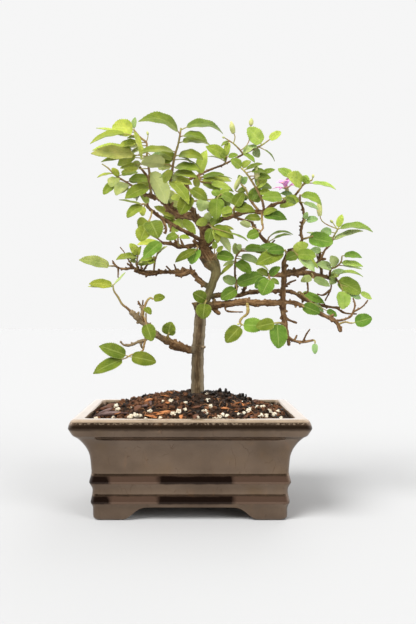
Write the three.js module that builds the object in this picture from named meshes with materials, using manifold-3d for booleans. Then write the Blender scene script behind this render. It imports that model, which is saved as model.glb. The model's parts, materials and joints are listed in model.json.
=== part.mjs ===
// A small flowering tree (Grewia occidentalis) grown as a bonsai in a dark glazed pot.
// Millimetres, +Z up, the front of the pot towards -Y, the pot's feet on Z = 0.
import * as THREE from 'three';
import Module from 'manifold-3d';

const wasm = await Module();
wasm.setup();

// Driving dimensions of the pot.
const POT_HEIGHT = 66;
const POT_HALF_WIDTH = 76.6;
const POT_HALF_DEPTH = 59.1;
const APRON_HEIGHT = 8.5;
const FLOOR_TOP = 14;
const FOOT_LENGTH = 14.5;
const FOOT_REACH = 34;
const OUTER_CORNER = 5;
const INNER_CORNER = 4;
const CORNER_STEPS = 3;
const DRAIN_RADIUS = 6;
const DRAIN_SPREAD = 28;

// Driving dimensions of the soil and of the screens under it.
const GAP = 0.3;
const SOIL_EDGE = 62;
const MOUND = 15;
const MOUND_HALF_WIDTH = 70;
const MOUND_HALF_DEPTH = 52;
const MOUND_ROUNDNESS = 1.7;
const SOIL_SIDE_STEPS = 4;
const SOIL_SHARES = [1, 0.93, 0.83, 0.72, 0.61, 0.5, 0.39, 0.28, 0.17];
const CRUMB = 1.1;
const HEAP = { height: 2.6, start: 8, end: 38, firstRing: 4 };
const RANDOM_START = 7;
const SCREEN_SIZE = 22;
const SCREEN_THICK = 1;
const MESH_HOLE = 4;
const MESH_PITCH = 6;
const TRUNK_FOOT = 50;
const HOLE_RADIUS = 5.4;
const HOLE_SIDES = 12;
const DRAIN_SIDES = 14;

// Driving dimensions of the tree.
const TRUNK_SEGMENTS = 20;
const TRUNK_SIDES = 10;
const BRANCH_SIDES = 6;
const TWIG_SIDES = 4;
const BRANCH_THICKNESS = 2.9;
const BLADE = 0.7;
const ARCH = 0.09;
const FOLD = 0.22;
const NOTCH = 0.84;
const KNOT_SWELL = 0.1;
const KNOT_SPACING = 9;
const ROUNDNESS = 1.6;
const STALK_SHARE = 0.12;
const STALK_HALF = 0.5;
const STEM_SIDES = 4;
const BREADTH_POWER = 0.8;
const LONG_BLADE = 24;
const MIDDLE_BLADE = 12.5;
const LONG_STALK = 0.2;
const TOOTH = { peak: 0.55, notch: 0.85, rest: 0.35 };
const RIB_SHARES = [0.5];
const LONG_RIB_SHARES = [0.35, 0.7];
const BUD_STALK = 0.45;
const BUD_SIDES = 6;
const BUD_FORM = [[0, 0.5], [0.3, 0.95], [0.55, 1], [0.85, 0.6], [1, 0.2]];

// Driving dimensions of the flower. Levels and reaches are measured along and out from
// its axis, from the middle of the cup's mouth.
const FLOWER_SPOT = [287, 190];
const FLOWER_NEARER = 3;
const FLOWER_AXIS = [-0.25, -0.4, 0.85];
const FLOWER_STALK = [[293, 196], [290, 195, -1], [287, 194, -2]];
const STALK_RADII = [0.7, 0.6, 0.6, 0.7];
const CUP = { levels: [-2.4, -1, 0.4], radii: [0.8, 1.5, 1.5] };
const DISC = { levels: [0.9, 1.9], radii: [1.4, 1.4] };
const BOSS = { levels: [3, 4], radii: [0.9, 0.8] };
const SEPAL = { turn: 18, level: 0, rise: -1, reach: 9.5, width: 2.8 };
const PETAL = { turn: 54, level: 1.4, rise: 2.6, reach: 6.6, width: 3 };
const FLOWER_PARTS = 5;
const PETAL_STALK = 0.08;
const FILAMENT = { root: 3.5, rise: 3.4, reach: 1.7, radius: 0.35 };

// How far a leaf keeps from what stands by, and how finely that is tested. The first
// part of a leaf may touch its own stem, and its stalk may pass close to the wood.
const CLEARANCE = 1.75;
const OWN_CLEARANCE = 1;
const SAMPLE = 1.2;
const OWN_FREE = 0.35;
const WOOD_FREE = 0.1;
const ROUND_KEEP = 0.65;
const REACH_SHARE = 0.6;
const SHIFTS = [0, 1.5, -1.5, 3, -3, 4.5, -4.5, 6, -6, 8, -8, 10, -10, 13, -13];

// The photograph's eye point. A column and row of its 416 x 624 frame, with a depth
// behind the trunk, become a place in millimetres.
const EYE_X = 1.2;
const EYE_HEIGHT = 132;
const EYE_DISTANCE = 513.5;
const EYE_COLUMN = 192;
const EYE_ROW = 314;
const MM_PER_PIXEL = 0.7;

// The pot's middle lies this far left of the middle of the whole object.
const POT_OFFSET = -21;

const TONES = {
  dark: 0x3c5c22, olive: 0x66802f, bright: 0x84b13c, pale: 0xa3b072, teal: 0x5d9170,
};
const GLAZE = { colour: 0x4a3a30, roughness: 0.12 };
const EARTH = { colour: 0x2b2019, roughness: 0.95 };
const SCREEN = { colour: 0x1d1f1e, roughness: 0.7 };
const BARK = { colour: 0x5d4636, roughness: 0.85 };
const SEPAL_GREEN = { colour: 0x8a7a4a, roughness: 0.55 };
const LAVENDER = { colour: 0xd79ac0, roughness: 0.5 };
const CREAM = { colour: 0xe6c9a0, roughness: 0.6 };
const LEAF_ROUGHNESS = 0.5;

// The wood: name, what it grows on, thickness at its start and end, and its route.
// The first point of a route is where it leaves its parent, and the third number of the
// others is the depth gained since then, positive away from the front.
const TRUNK_ROUTE = [
  [197.5, 429, 0, 9.4], [197.5, 400, 0, 9.8], [197.5, 392, 0, 9.3], [197.5, 370, 0, 8.8],
  [198, 350, 0, 8.5], [199.5, 330, 0, 8.4], [200.5, 315, 0, 8.2], [203, 305, 0, 7.4],
  [207, 297, 0, 6.4], [210, 290, 0, 5.8], [213, 282, -1, 5.8], [216, 271, -2, 7],
  [211, 262, -2, 11.6], [206, 255, -2, 10.4], [204, 247, -2, 7.4], [204, 240, -2, 5.8],
  [203, 232, -2, 5.2], [202, 225, -2, 4.8],
];

const WOOD = [
  ['pruned_top', 'trunk', 6.4, 5.2, [[200, 314], [197.5, 308, 0], [196.5, 302, 0]]],
  ['low_stub', 'trunk', 2.6, 2.2, [[199, 348], [205, 347, -3]]],
  ['lower_left', 'trunk', 5.2, 3.4, [[198, 350], [190, 350, -2], [180, 346, -4],
    [170, 342, -6], [160, 337, -8], [152, 331, -10], [146, 325, -11], [140, 320, -12],
    [130, 311, -14]]],
  ['lower_left_upright', 'lower_left', 2, 1.3, [[140, 320], [142, 310, 3], [138, 301, 4]]],
  ['lower_left_under', 'lower_left', 2.6, 1.2, [[156, 334], [150, 336, 1], [145, 340, 2],
    [138, 342, 3], [131, 345, 4], [124, 345, 5], [120, 341, 5]]],
  ['mid_left', 'trunk', 4.4, 1.5, [[211, 288], [206, 285, 2], [200, 281, 4], [193, 273, 7],
    [188, 271, 9], [180, 272, 11], [170, 272, 13], [160, 272, 15], [150, 272, 16],
    [140, 271, 17], [133, 268, 18], [125, 269, 19], [117, 267, 20], [112, 260, 20]]],
  ['mid_left_spur_a', 'mid_left', 1.8, 1.1, [[192, 272], [190, 265, -1]]],
  ['mid_left_spur_c', 'mid_left', 1.6, 1.1, [[177, 272], [174, 264, -1]]],
  ['mid_left_spur_e', 'mid_left', 1.5, 1, [[134, 268], [128, 259, -1]]],
  ['left_dark', 'trunk', 3, 2.2, [[204, 240], [199, 239, -2], [190, 234, -5],
    [180, 229, -8], [170, 223, -10], [160, 217, -12], [150, 209, -14], [146, 204, -15]]],
  ['left_dark_spur_b', 'left_dark', 1.6, 1.2, [[162, 218], [166, 228, -2], [163, 231, -2]]],
  ['left_knotted', 'trunk', 3.4, 2.4, [[204, 246], [198, 245, 0], [190, 246, -3],
    [180, 247, -5], [172, 244, -7], [162, 243, -8]]],
  ['left_knotted_spur_a', 'left_knotted', 1.8, 1.2, [[184, 247], [180, 238, 1]]],
  ['left_knotted_spur_b', 'left_knotted', 2.8, 1.6, [[179, 247], [174, 238, -1]]],
  ['upper_left', 'trunk', 4.4, 2.6, [[202, 226], [197, 219, 3], [190, 216, 6],
    [180, 215, 9], [172, 211, 11], [165, 204, 13], [160, 199, 15], [150, 196, 17],
    [142, 193, 18]]],
  ['upper_left_spur', 'upper_left', 2.6, 1.4, [[170, 209], [173, 202, -1]]],
  ['upper_left_cut', 'upper_left', 2.2, 2, [[160, 199], [152, 187, 2], [146, 175, 4],
    [137, 164, 5]]],
  ['centre_up', 'trunk', 3.4, 2.1, [[202, 226], [200, 222, -1], [195, 215, -2],
    [190, 205, -3], [188, 195, -3], [187, 186, -3], [180, 183, -3], [170, 183, -3]]],
  ['centre_up_stub_b', 'centre_up', 1.6, 1.2, [[196, 216], [195, 208, -3]]],
  ['long_twig', 'centre_up', 2.1, 1.2, [[174, 183], [182, 180, 4], [190, 177, 8],
    [200, 171, 11], [207, 169, 13], [216, 167, 15], [225, 164, 17], [240, 156, 19],
    [258, 147, 21]]],
  ['right_upper', 'trunk', 4.3, 2.2, [[204, 230], [213, 223, -5], [222, 219, -9],
    [232, 216, -13], [242, 213, -17], [250, 211, -20], [262, 212, -23], [270, 207, -24],
    [278, 203, -25], [286, 201, -26]]],
  ['right_offshoot', 'right_upper', 1.8, 1.4, [[232, 216], [240, 219, 2], [252, 222, 4]]],
  ['dead_piece', 'right_offshoot', 1.8, 2.8, [[252, 222], [255, 229, 1], [265, 241, 2],
    [271, 247, 2]]],
  ['knuckle_twig', 'trunk', 2.2, 1.2, [[208, 248], [213, 241, -3], [216, 235, -4]]],
  ['lower_right', 'trunk', 5.2, 4.4, [[204, 306], [215, 305, -3], [225, 304, -5],
    [235, 303, -6], [245, 302, -7], [255, 303, -8], [265, 303, -9], [275, 303, -10],
    [284, 302, -10]]],
  ['lower_right_knob', 'lower_right', 3.2, 2, [[247, 302], [246, 298, -1]]],
  ['lower_right_hair', 'lower_right', 1.6, 1, [[225, 305], [227, 311, -1], [243, 312, -2]]],
  ['lower_right_reach', 'lower_right', 3.2, 2.6, [[284, 302], [295, 303, -1],
    [303, 306, -2], [317, 312, -3], [325, 316, -4], [332, 319, -5], [337, 323, -5],
    [341, 332, -6]]],
  ['reach_fork', 'lower_right_reach', 1.6, 1.1, [[335, 321], [342, 320, 2], [350, 317, 4],
    [353, 312, 5], [355, 305, 6], [353, 298, 6]]],
  ['reach_twig', 'reach_fork', 1.3, 0.9, [[353, 312], [362, 307, 1], [368, 300, 2]]],
  ['riser_low', 'lower_right', 4, 2, [[283, 302], [283, 312, 0], [285, 322, -1],
    [286, 330, -2], [288, 338, -2], [289, 346, -2]]],
  ['riser_low_side', 'riser_low', 2, 1.6, [[285, 316], [289, 320, -1], [297, 323, -2]]],
  ['riser_foot', 'riser_low', 2.2, 1.6, [[288, 338], [295, 341, -1], [303, 342, -2],
    [314, 340, -3]]],
  ['riser_foot_twig', 'riser_foot', 1.4, 1, [[303, 342], [306, 335, -1], [310, 329, -2]]],
  ['riser', 'lower_right', 4.2, 2.2, [[283, 302], [283, 290, -1], [284, 280, -2],
    [284, 270, -2], [284, 262, -2], [287, 255, -2], [290, 250, -2], [295, 250, -2]]],
  ['riser_side', 'riser', 1.8, 1.3, [[284, 288], [289, 283, 2], [296, 280, 3]]],
  ['right_middle', 'riser', 4.6, 2.2, [[284, 274], [292, 273, 3], [300, 273, 7],
    [310, 273, 11], [316, 275, 14], [322, 276, 16], [330, 278, 19], [335, 277, 21],
    [340, 272, 22]]],
  ['right_middle_limb', 'right_middle', 3, 2.4, [[294, 273], [302, 269, -3],
    [310, 266, -4]]],
  ['right_middle_stub', 'riser', 3.4, 2, [[284, 275], [274, 275, -2], [262, 274, -4]]],
  ['right_middle_hang', 'right_middle', 1.5, 1.1, [[306, 273], [308, 290, -4],
    [304, 294, -5]]],
  ['right_fork', 'right_middle', 2.2, 1.7, [[322, 276], [321, 268, -3], [319, 262, -5],
    [322, 257, -7]]],
  ['right_fork_dark', 'right_fork', 1.6, 1.2, [[321, 268], [317, 263, -2], [311, 264, -3]]],
  ['right_end_hang', 'right_middle', 1.5, 1, [[330, 278], [331, 288, -3], [325, 301, -5]]],
  ['right_riser', 'riser', 2.2, 1.7, [[294, 250], [299, 246, -1], [302, 240, -1],
    [301, 233, -2], [302, 225, -3], [304, 217, -3], [303, 209, -4], [300, 202, -4],
    [293, 196, -5]]],
  ['middle_right', 'trunk', 3.8, 1.9, [[208, 297], [222, 294, 2], [238, 294, 5],
    [245, 291, 7], [258, 290, 9], [275, 290, 10], [290, 291, 10], [297, 294, 10],
    [303, 298, 9], [312, 303, 9], [320, 305, 9], [330, 307, 9], [340, 308, 9]]],
  ['middle_right_rise', 'middle_right', 3.6, 2, [[234, 294], [236, 289, -1],
    [236, 283, -1]]],
  ['middle_right_cut', 'middle_right', 2.6, 2.4, [[241, 292], [246, 285, -1]]],
  ['middle_right_end', 'middle_right', 1.6, 1.1, [[336, 307], [345, 313, -2],
    [357, 314, -3]]],
  ['up_twig', 'middle_right_rise', 1.9, 1.3, [[236, 284], [235, 275, -1], [235, 268, -2],
    [235, 262, -2]]],
];

// The leafy stems: name, the wood they grow on, thickness at start and end, route, leaves
// and buds. A leaf is [share along the stem, column and row of its tip, depth gained from
// stem to tip, width, turn about its own length, tone, share of it that is bare stalk].
// A turn of 0 shows the face to the front, 90 the edge, and more the underside.
const SPRAYS = [
  ['crown', 'centre_up', 2.1, 1.2, [[170, 183], [172, 172, -2], [173, 165, -3],
    [175, 155, -4], [178, 145, -5], [180, 135, -6], [181, 128, -6]], [
    [0.95, 141, 119, -8, 9.5, 35, 'olive'], [0.97, 223, 133, 6, 9.5, 50, 'dark'],
    [0.84, 201, 133, -6, 7, 40, 'bright'], [0.78, 209, 143, 5, 7.5, 40, 'olive'],
    [0.52, 203, 154, -5, 8, 40, 'bright'], [0.18, 199, 169, -8, 7.5, 45, 'olive'],
    [0.08, 194, 176, -10, 5, 30, 'dark'], [0.55, 140, 148, -10, 8, 60, 'dark'],
    [0.3, 141, 163, -8, 8, 130, 'pale', 0.3], [0.45, 150, 158, 10, 6.5, 20, 'teal', 0.4],
    [0.4, 160, 152, 8, 8, 30, 'olive'], [0.1, 160, 176, 6, 6, 40, 'olive']], []],
  ['upper_left_riser', 'upper_left', 2, 1.1, [[152, 196], [150, 185, -2], [149, 170, -4],
    [147, 158, -5], [147, 147, -6], [146, 142, -6], [140, 137, -7], [134, 130, -8]], [
    [1, 113, 129, -3, 12, 5, 'bright', 0.05], [0.96, 97, 127, 6, 6.5, 60, 'olive'],
    [0.88, 90, 143, -8, 8.5, 60, 'olive', 0.3],
    [0.62, 92, 147, -4, 9, 55, 'olive', 0.28], [0.45, 90, 154, -9, 9, 50, 'dark', 0.4],
    [0.2, 130, 178, -5, 5, 30, 'dark'],
    [0.28, 170, 203, -12, 13, 150, 'pale', 0.06], [0.13, 125, 198, -10, 8.5, 20, 'dark']],
    []],
  ['upper_left_tip', 'upper_left', 1.9, 0.9, [[142, 193], [131, 185, 2], [121, 179, 3],
    [114, 174, 4], [108, 168, 5], [102, 164, 5]], [
    [0.55, 105, 183, -5, 8.5, 20, 'pale'], [0.5, 113, 166, 3, 5, 20, 'olive'],
    [0.4, 103, 194, -5, 6.5, 20, 'olive', 0.3],
    [0.28, 113, 193, -8, 8, 15, 'pale']], []],
  ['left_dark_tip', 'left_dark', 1.5, 1, [[147, 205], [144, 204, -3], [142, 204, -5]], [
    [1, 119, 199, -3, 5, 70, 'pale', 0.05], [0.6, 125, 218, -6, 7.5, 25, 'olive']], []],
  ['left_round', 'left_dark', 1.3, 0.9, [[152, 211], [151, 216, -4], [149, 221, -7],
    [147, 226, -9]], [
    [0.2, 138, 222, -4, 10, 10, 'pale'], [1, 137, 237, -3, 10, 15, 'olive', 0.05],
    [0.6, 163, 231, -6, 10, 15, 'olive']], []],
  ['left_knot_leaves', 'left_knotted', 1.4, 0.9, [[179, 247], [178, 241, -5],
    [178, 235, -7]], [
    [1, 166, 238, -2, 5, 15, 'bright', 0.05]], []],
  ['upper_left_back', 'upper_left', 1.6, 1, [[182, 215], [180, 219, 8], [176, 221, 12]], [
    [1, 162, 206, 4, 10, 20, 'olive'], [0.7, 188, 226, 3, 8, 20, 'pale'],
    [0.35, 196, 234, 1, 6.5, 15, 'dark'], [0.9, 168, 226, 6, 7, 20, 'olive']], []],
  ['mid_left_fan', 'mid_left', 1.3, 0.9, [[137, 270], [137, 262, -4], [138, 255, -6]], [
    [0.7, 116, 259, -5, 8, 60, 'olive'], [1, 127, 246, -3, 5, 20, 'bright', 0.05]], []],
  ['mid_left_tip', 'mid_left', 1.4, 1, [[116, 266], [112, 266, -3], [109, 266, -4]], [
    [1, 79, 260, -6, 8.5, 30, 'olive', 0.05]], []],
  ['mid_left_upright', 'mid_left', 1.6, 0.9, [[154, 272], [155, 261, -5], [158, 252, -8],
    [162, 242, -10]], [
    [1, 143, 258, -4, 9, 20, 'bright', 0.05],
    [0.35, 148, 263, -3, 5, 30, 'olive'], [0.95, 139, 240, 3, 7, 30, 'bright']], []],
  ['left_twin', 'left_knotted', 1.5, 1.1, [[196, 245], [198, 247, -6], [196, 250, -9]], [
    [0.7, 191, 264, -4, 9, 20, 'dark', 0.05], [1, 175, 262, -4, 6, 25, 'olive', 0.05]], []],
  ['lower_left_tip', 'lower_left', 1.8, 1, [[131, 312], [127, 308, -1], [122, 304, -2],
    [118, 297, -3], [114, 291, -4], [113, 285, -5]], [
    [1, 89, 281, -3, 7, 30, 'olive', 0.05]], []],
  ['lower_left_reach', 'lower_left', 1.9, 1.2, [[144, 323], [143, 314, -4], [146, 303, -4],
    [150, 298, -3], [153, 299, -3]], [
    [1, 164, 297, -2, 5, 20, 'dark', 0.05], [0.4, 154, 311, -5, 5, 25, 'olive', 0.2],
    [0.25, 151, 340, -5, 9.5, 5, 'olive', 0.3]], []],
  ['lower_left_bright', 'lower_left', 1.5, 1.1, [[168, 341], [168, 336, -4],
    [169, 333, -6]], [[1, 172, 323, -2, 8.5, 15, 'bright', 0.05]], []],
  ['lower_left_drop', 'lower_left_under', 1.6, 1, [[146, 340], [144, 345, -2],
    [143, 350, -3], [138, 353, -4], [131, 355, -5], [126, 358, -5]], [
    [0.95, 98, 348, -4, 9.5, 20, 'olive', 0.06], [1, 94, 371, -7, 9.5, 20, 'dark'],
    [0.97, 157, 364, -2, 9.5, 15, 'dark']], []],
  ['trunk_front', 'trunk', 1.6, 1.1, [[206, 300], [206, 301, -6], [205, 303, -8]], [
    [0.6, 192, 296, -2, 7.5, 20, 'bright'], [1, 203, 319, -2, 10.5, 10, 'olive', 0.05]], []],
  ['middle_right_fork', 'middle_right_rise', 1.7, 1.1, [[236, 285], [236, 284, -4],
    [237, 289, -8]], [
    [0.5, 222, 276, 3, 7.5, 20, 'pale', 0.05], [1, 221, 298, -2, 8, 15, 'bright', 0.05],
    [0.55, 265, 277, -3, 9, 15, 'dark', 0.06]], []],
  ['right_stub_leaves', 'right_middle_stub', 1.6, 1.1, [[268, 275], [269, 277, -4],
    [270, 279, -7]], [
    [1, 262, 295, -3, 10.5, 15, 'teal', 0.05], [0.6, 253, 287, 2, 8, 20, 'olive'],
    [0.35, 281, 267, -4, 5.5, 25, 'dark']], []],
  ['up_twig_leaves', 'up_twig', 1.5, 0.9, [[235, 263], [236, 257, -2], [238, 254, -3],
    [242, 249, -4]], [
    [1, 266, 247, -3, 6.5, 40, 'olive'], [0.9, 270, 240, -5, 5, 30, 'bright', 0.4],
    [0.45, 259, 260, -2, 5, 20, 'teal', 0.2],
    [0.15, 251, 271, -4, 7.5, 20, 'dark', 0.15],
    [0.4, 235, 243, -3, 5, 10, 'pale']], []],
  ['riser_top_left', 'riser', 1.6, 1.1, [[287, 255], [286, 252, -5], [285, 250, -7]], [
    [0.7, 256, 262, -4, 8.5, 25, 'olive', 0.06], [1, 267, 248, -2, 5.5, 20, 'teal', 0.06]], []],
  ['hanging_twig', 'lower_right', 2.4, 1.2, [[247, 303], [248, 309, -3], [247, 314, -4],
    [242, 318, -5], [240, 322, -6], [242, 325, -7]], [
    [1, 263, 321, -4, 9.5, 15, 'bright', 0.06], [0.98, 223, 339, -5, 10.5, 20, 'pale', 0.06]],
    []],
  ['riser_low_leaves', 'riser_low', 1.8, 1.2, [[285, 325], [280, 323, -4], [275, 323, -7]], [
    [0.8, 281, 349, -5, 12, 10, 'dark', 0.05], [1, 256, 328, 0, 8, 20, 'olive', 0.05]], []],
  ['riser_foot_leaf', 'riser_foot', 1.2, 0.9, [[313, 340], [315, 341, -2],
    [315, 343, -3]], [[1, 315, 354, -1, 4, 15, 'teal', 0.05]], []],
  ['lower_right_leaf', 'lower_right_reach', 1.5, 1, [[302, 305], [303, 306, -4],
    [304, 307, -5]], [[1, 320, 311, -3, 7, 15, 'dark', 0.05]], []],
  ['middle_right_bright', 'middle_right', 1.5, 1, [[297, 294], [300, 292, -4],
    [305, 297, -6], [312, 303, -7]], [
    [0.4, 325, 304, -4, 6, 35, 'bright', 0.06],
    [0.97, 338, 319, -5, 5, 30, 'olive', 0.45]], []],
  ['lower_right_end', 'lower_right_reach', 1.5, 1, [[338, 324], [345, 322, -2],
    [350, 323, -3], [353, 323, -3]], [[1, 372, 317, -3, 8.5, 20, 'dark', 0.06]], []],
  ['right_end_drop', 'right_middle', 1.7, 1, [[335, 277], [337, 280, -5], [340, 284, -7],
    [342, 289, -8]], [
    [0.4, 362, 294, -4, 10.5, 15, 'dark', 0.05], [1, 344, 310, -3, 11, 15, 'olive'],
    [0.9, 362, 301, 1, 5, 20, 'teal', 0.3]], []],
  ['right_middle_teal', 'right_middle', 1.4, 1, [[311, 273], [313, 276, -4],
    [313, 278, -5]], [
    [1, 330, 286, -3, 5.5, 30, 'teal', 0.05], [0.9, 302, 282, -2, 5, 25, 'pale']], []],
  ['right_end_fan', 'right_middle', 1.7, 1, [[329, 278], [331, 269, -5], [336, 267, -7],
    [341, 262, -9], [342, 256, -10]], [
    [0.95, 361, 257, -3, 5.5, 40, 'olive'], [0.55, 334, 254, -5, 7, 10, 'pale'],
    [0.35, 317, 263, -5, 6, 20, 'pale'], [0.72, 362, 266, -5, 5.5, 50, 'olive', 0.05],
    [0.3, 363, 277, -6, 5, 60, 'olive', 0.15]], []],
  ['far_right_top', 'right_fork', 1.7, 1, [[322, 258], [325, 250, -2], [331, 244, -4],
    [334, 236, -5], [338, 229, -6]], [
    [1, 373, 230, -6, 9, 60, 'dark', 0.04], [0.7, 362, 230, -4, 6, 65, 'pale', 0.06],
    [1, 346, 215, 2, 5.5, 15, 'bright'], [0.92, 323, 229, -3, 5.5, 15, 'olive', 0.3]],
    [[1, [[330, 226, -1], [323, 222, -2], [320, 216, -3], [319, 199, -3]], 4, 11.5]]],
  ['riser_top_right', 'riser', 1.8, 1.1, [[292, 250], [294, 252, -4], [297, 255, -6]], [
    [0.3, 308, 243, -4, 7, 20, 'bright', 0.06], [0.9, 315, 255, -3, 8, 15, 'teal', 0.05],
    [1, 286, 259, -3, 7, 20, 'dark', 0.05], [1, 315, 271, -3, 5.5, 30, 'teal']], []],
  ['right_riser_leaf', 'right_riser', 1.6, 1, [[302, 239], [307, 238, -3],
    [313, 236, -5]], [[0.6, 332, 244, -4, 9.5, 20, 'olive', 0.05]], []],
  ['right_riser_top', 'right_riser', 1.6, 1.1, [[300, 202], [300, 198, -4],
    [300, 195, -6]], [
    [1, 321, 201, -4, 6.5, 40, 'olive', 0.05],
    [0.6, 280, 206, -4, 7, 25, 'olive']], []],
  ['right_riser_teal', 'right_riser', 1.3, 0.9, [[302, 226], [304, 223, -4],
    [305, 221, -5]], [
    [1, 308, 211, -2, 4, 20, 'teal'], [1, 320, 218, -2, 4.5, 25, 'teal']], []],
  ['right_upper_tip', 'right_upper', 1.6, 1, [[283, 202], [284, 199, -4],
    [283, 198, -5]], [[1, 262, 197, -3, 7.5, 25, 'olive', 0.05]], []],
  ['flower_shoot', 'right_riser', 1.7, 1, [[294, 197], [297, 193, -2], [300, 189, -3],
    [303, 185, -4], [308, 182, -5], [312, 180, -5]], [
    [0.55, 290, 174, -3, 6.5, 20, 'olive'], [0.75, 310, 170, -5, 6, 20, 'bright'],
    [1, 335, 187, -4, 5, 55, 'bright', 0.05]], []],
  ['centre_front', 'centre_up', 1.5, 1.1, [[189, 203], [190, 199, -8], [191, 194, -11],
    [190, 189, -12]], [
    [0.6, 180, 214, -3, 10, 10, 'olive', 0.05], [1, 207, 200, -3, 8, 25, 'dark', 0.05],
    [0.8, 202, 198, 3, 6, 20, 'bright']], []],
  ['long_twig_near', 'long_twig', 1.6, 1, [[198, 172], [199, 178, -4], [201, 182, -6]], [
    [0.3, 205, 149, -5, 7, 20, 'pale', 0.15], [0.6, 224, 174, -4, 5, 40, 'olive', 0.15],
    [1, 231, 189, -4, 6, 30, 'bright', 0.35]], []],
  ['long_twig_middle', 'long_twig', 1.5, 1, [[225, 164], [226, 160, -4], [227, 157, -6]], [
    [0.9, 206, 146, -3, 8.5, 15, 'olive', 0.06]], []],
  ['long_twig_tip', 'long_twig', 1.4, 0.9, [[257, 148], [262, 145, -1], [269, 140, -2]], [
    [0.3, 243, 129, -3, 10, 15, 'bright', 0.05], [1, 283, 133, -1, 6, 15, 'bright', 0.05]], []],
  ['long_twig_buds', 'long_twig', 1.4, 0.9, [[243, 155], [240, 150, -3], [234, 144, -5],
    [228, 140, -6]], [], [
    [0.7, [[235, 137, -1], [233, 131, -1], [231, 122, -1]], 3.5, 5.6],
    [0.3, [[247, 145, -2], [250, 136, -3], [252, 120, -3]], 3.6, 7]]],
  ['red_twig', 'centre_up', 1.4, 0.9, [[189, 202], [203, 200, -6], [215, 199, -8],
    [221, 194, -9]], [
    [0.4, 207, 211, -3, 7.5, 10, 'pale', 0.05], [0.72, 229, 190, -2, 6, 30, 'olive', 0.05],
    [0.78, 216, 219, -4, 10.5, 10, 'dark', 0.05], [1, 237, 204, -2, 8, 30, 'olive', 0.05]], []],
  ['right_upper_leaves', 'right_upper', 1.6, 1, [[234, 215], [234, 211, -4],
    [234, 208, -6]], [
    [0.6, 222, 216, 1, 5.5, 20, 'bright'], [0.9, 255, 211, -4, 7.5, 30, 'olive', 0.06],
    [1, 243, 193, -2, 8, 20, 'olive']], []],
  ['fork_left', 'right_upper', 1.8, 1.1, [[260, 212], [254, 205, 2], [249, 198, 4],
    [246, 190, 5], [241, 184, 6]], [
    [0.3, 259, 187, -5, 9.5, 15, 'olive'], [0.6, 238, 200, -5, 7, 20, 'dark']], []],
  ['fork_right', 'right_upper', 1.8, 1.1, [[264, 211], [262, 200, -2], [257, 190, -3],
    [251, 180, -4], [246, 173, -5], [241, 168, -5]], [
    [1, 231, 160, -2, 5, 20, 'pale', 0.05],
    [0.7, 271, 177, -3, 5, 25, 'dark', 0.3],
    [0.45, 267, 180, -4, 5, 20, 'olive'], [0.35, 271, 193, -3, 5, 25, 'olive']], []],
  ['leader_leaves', 'trunk', 1.8, 1.1, [[204, 227], [208, 224, -7], [211, 226, -10],
    [214, 229, -12]], [
    [0.3, 209, 212, 2, 6, 20, 'teal'], [0.55, 219, 218, -4, 5.5, 25, 'olive', 0.05],
    [0.85, 208, 243, -2, 7, 15, 'olive', 0.05], [0.8, 234, 238, -3, 8, 20, 'dark', 0.05],
    [1, 231, 252, -6, 6.5, 140, 'pale', 0.06]], []],
  ['knuckle_leaf', 'trunk', 1.8, 1.1, [[212, 259], [215, 256, -7], [216, 254, -9]], [
    [0.7, 234, 258, -3, 7.5, 15, 'teal', 0.05]], []],
  ['down_twig', 'right_upper', 1.6, 1, [[262, 212], [262, 222, -4], [263, 228, -5],
    [260, 232, -6]], [
    [0.3, 287, 221, -3, 7, 25, 'dark', 0.05], [0.4, 245, 218, -5, 6, 25, 'olive'],
    [0.65, 240, 223, -2, 5, 140, 'pale', 0.25], [1, 247, 236, -2, 6.5, 10, 'teal']], []],
  ['dead_tip', 'dead_piece', 1.3, 0.9, [[268, 244], [268, 240, -3], [269, 237, -4]], [
    [1, 293, 235, -4, 5.5, 65, 'bright', 0.05]], []],
];

// Small helpers for places, curves and solids.

function place(column, row, depth) {
  const spread = 1 + depth / EYE_DISTANCE;
  return new THREE.Vector3(
    EYE_X + (column - EYE_COLUMN) * MM_PER_PIXEL * spread,
    depth,
    EYE_HEIGHT + (EYE_ROW - row) * MM_PER_PIXEL * spread,
  );
}

function smoothCurve(points) {
  return new THREE.CatmullRomCurve3(points, false, 'catmullrom', 0.5);
}

function solidFrom(vertices, triangles) {
  const flat = new Float32Array(vertices.length * 3);
  vertices.forEach((vertex, index) => vertex.toArray(flat, index * 3));
  return new wasm.Manifold(new wasm.Mesh({
    numProp: 3, vertProperties: flat, triVerts: new Uint32Array(triangles.flat()),
  }));
}

function join(solids) {
  let level = solids;
  while (level.length > 1) {
    const next = [];
    for (let i = 0; i < level.length; i += 2) {
      next.push(i + 1 < level.length ? level[i].add(level[i + 1]) : level[i]);
    }
    level = next;
  }
  return level[0];
}

function largestBody(solid) {
  return solid.decompose().reduce((best, body) => (body.volume() > best.volume() ? body : best));
}

function meshFrom(name, solid, { colour, roughness }) {
  const data = solid.getMesh();
  const geometry = new THREE.BufferGeometry();
  const positions = new THREE.BufferAttribute(new Float32Array(data.vertProperties), 3);
  geometry.setAttribute('position', positions);
  geometry.setIndex(new THREE.BufferAttribute(new Uint32Array(data.triVerts), 1));
  geometry.computeVertexNormals();
  const material = new THREE.MeshStandardMaterial({ color: colour, roughness });
  const mesh = new THREE.Mesh(geometry, material);
  mesh.name = name;
  return mesh;
}

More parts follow.
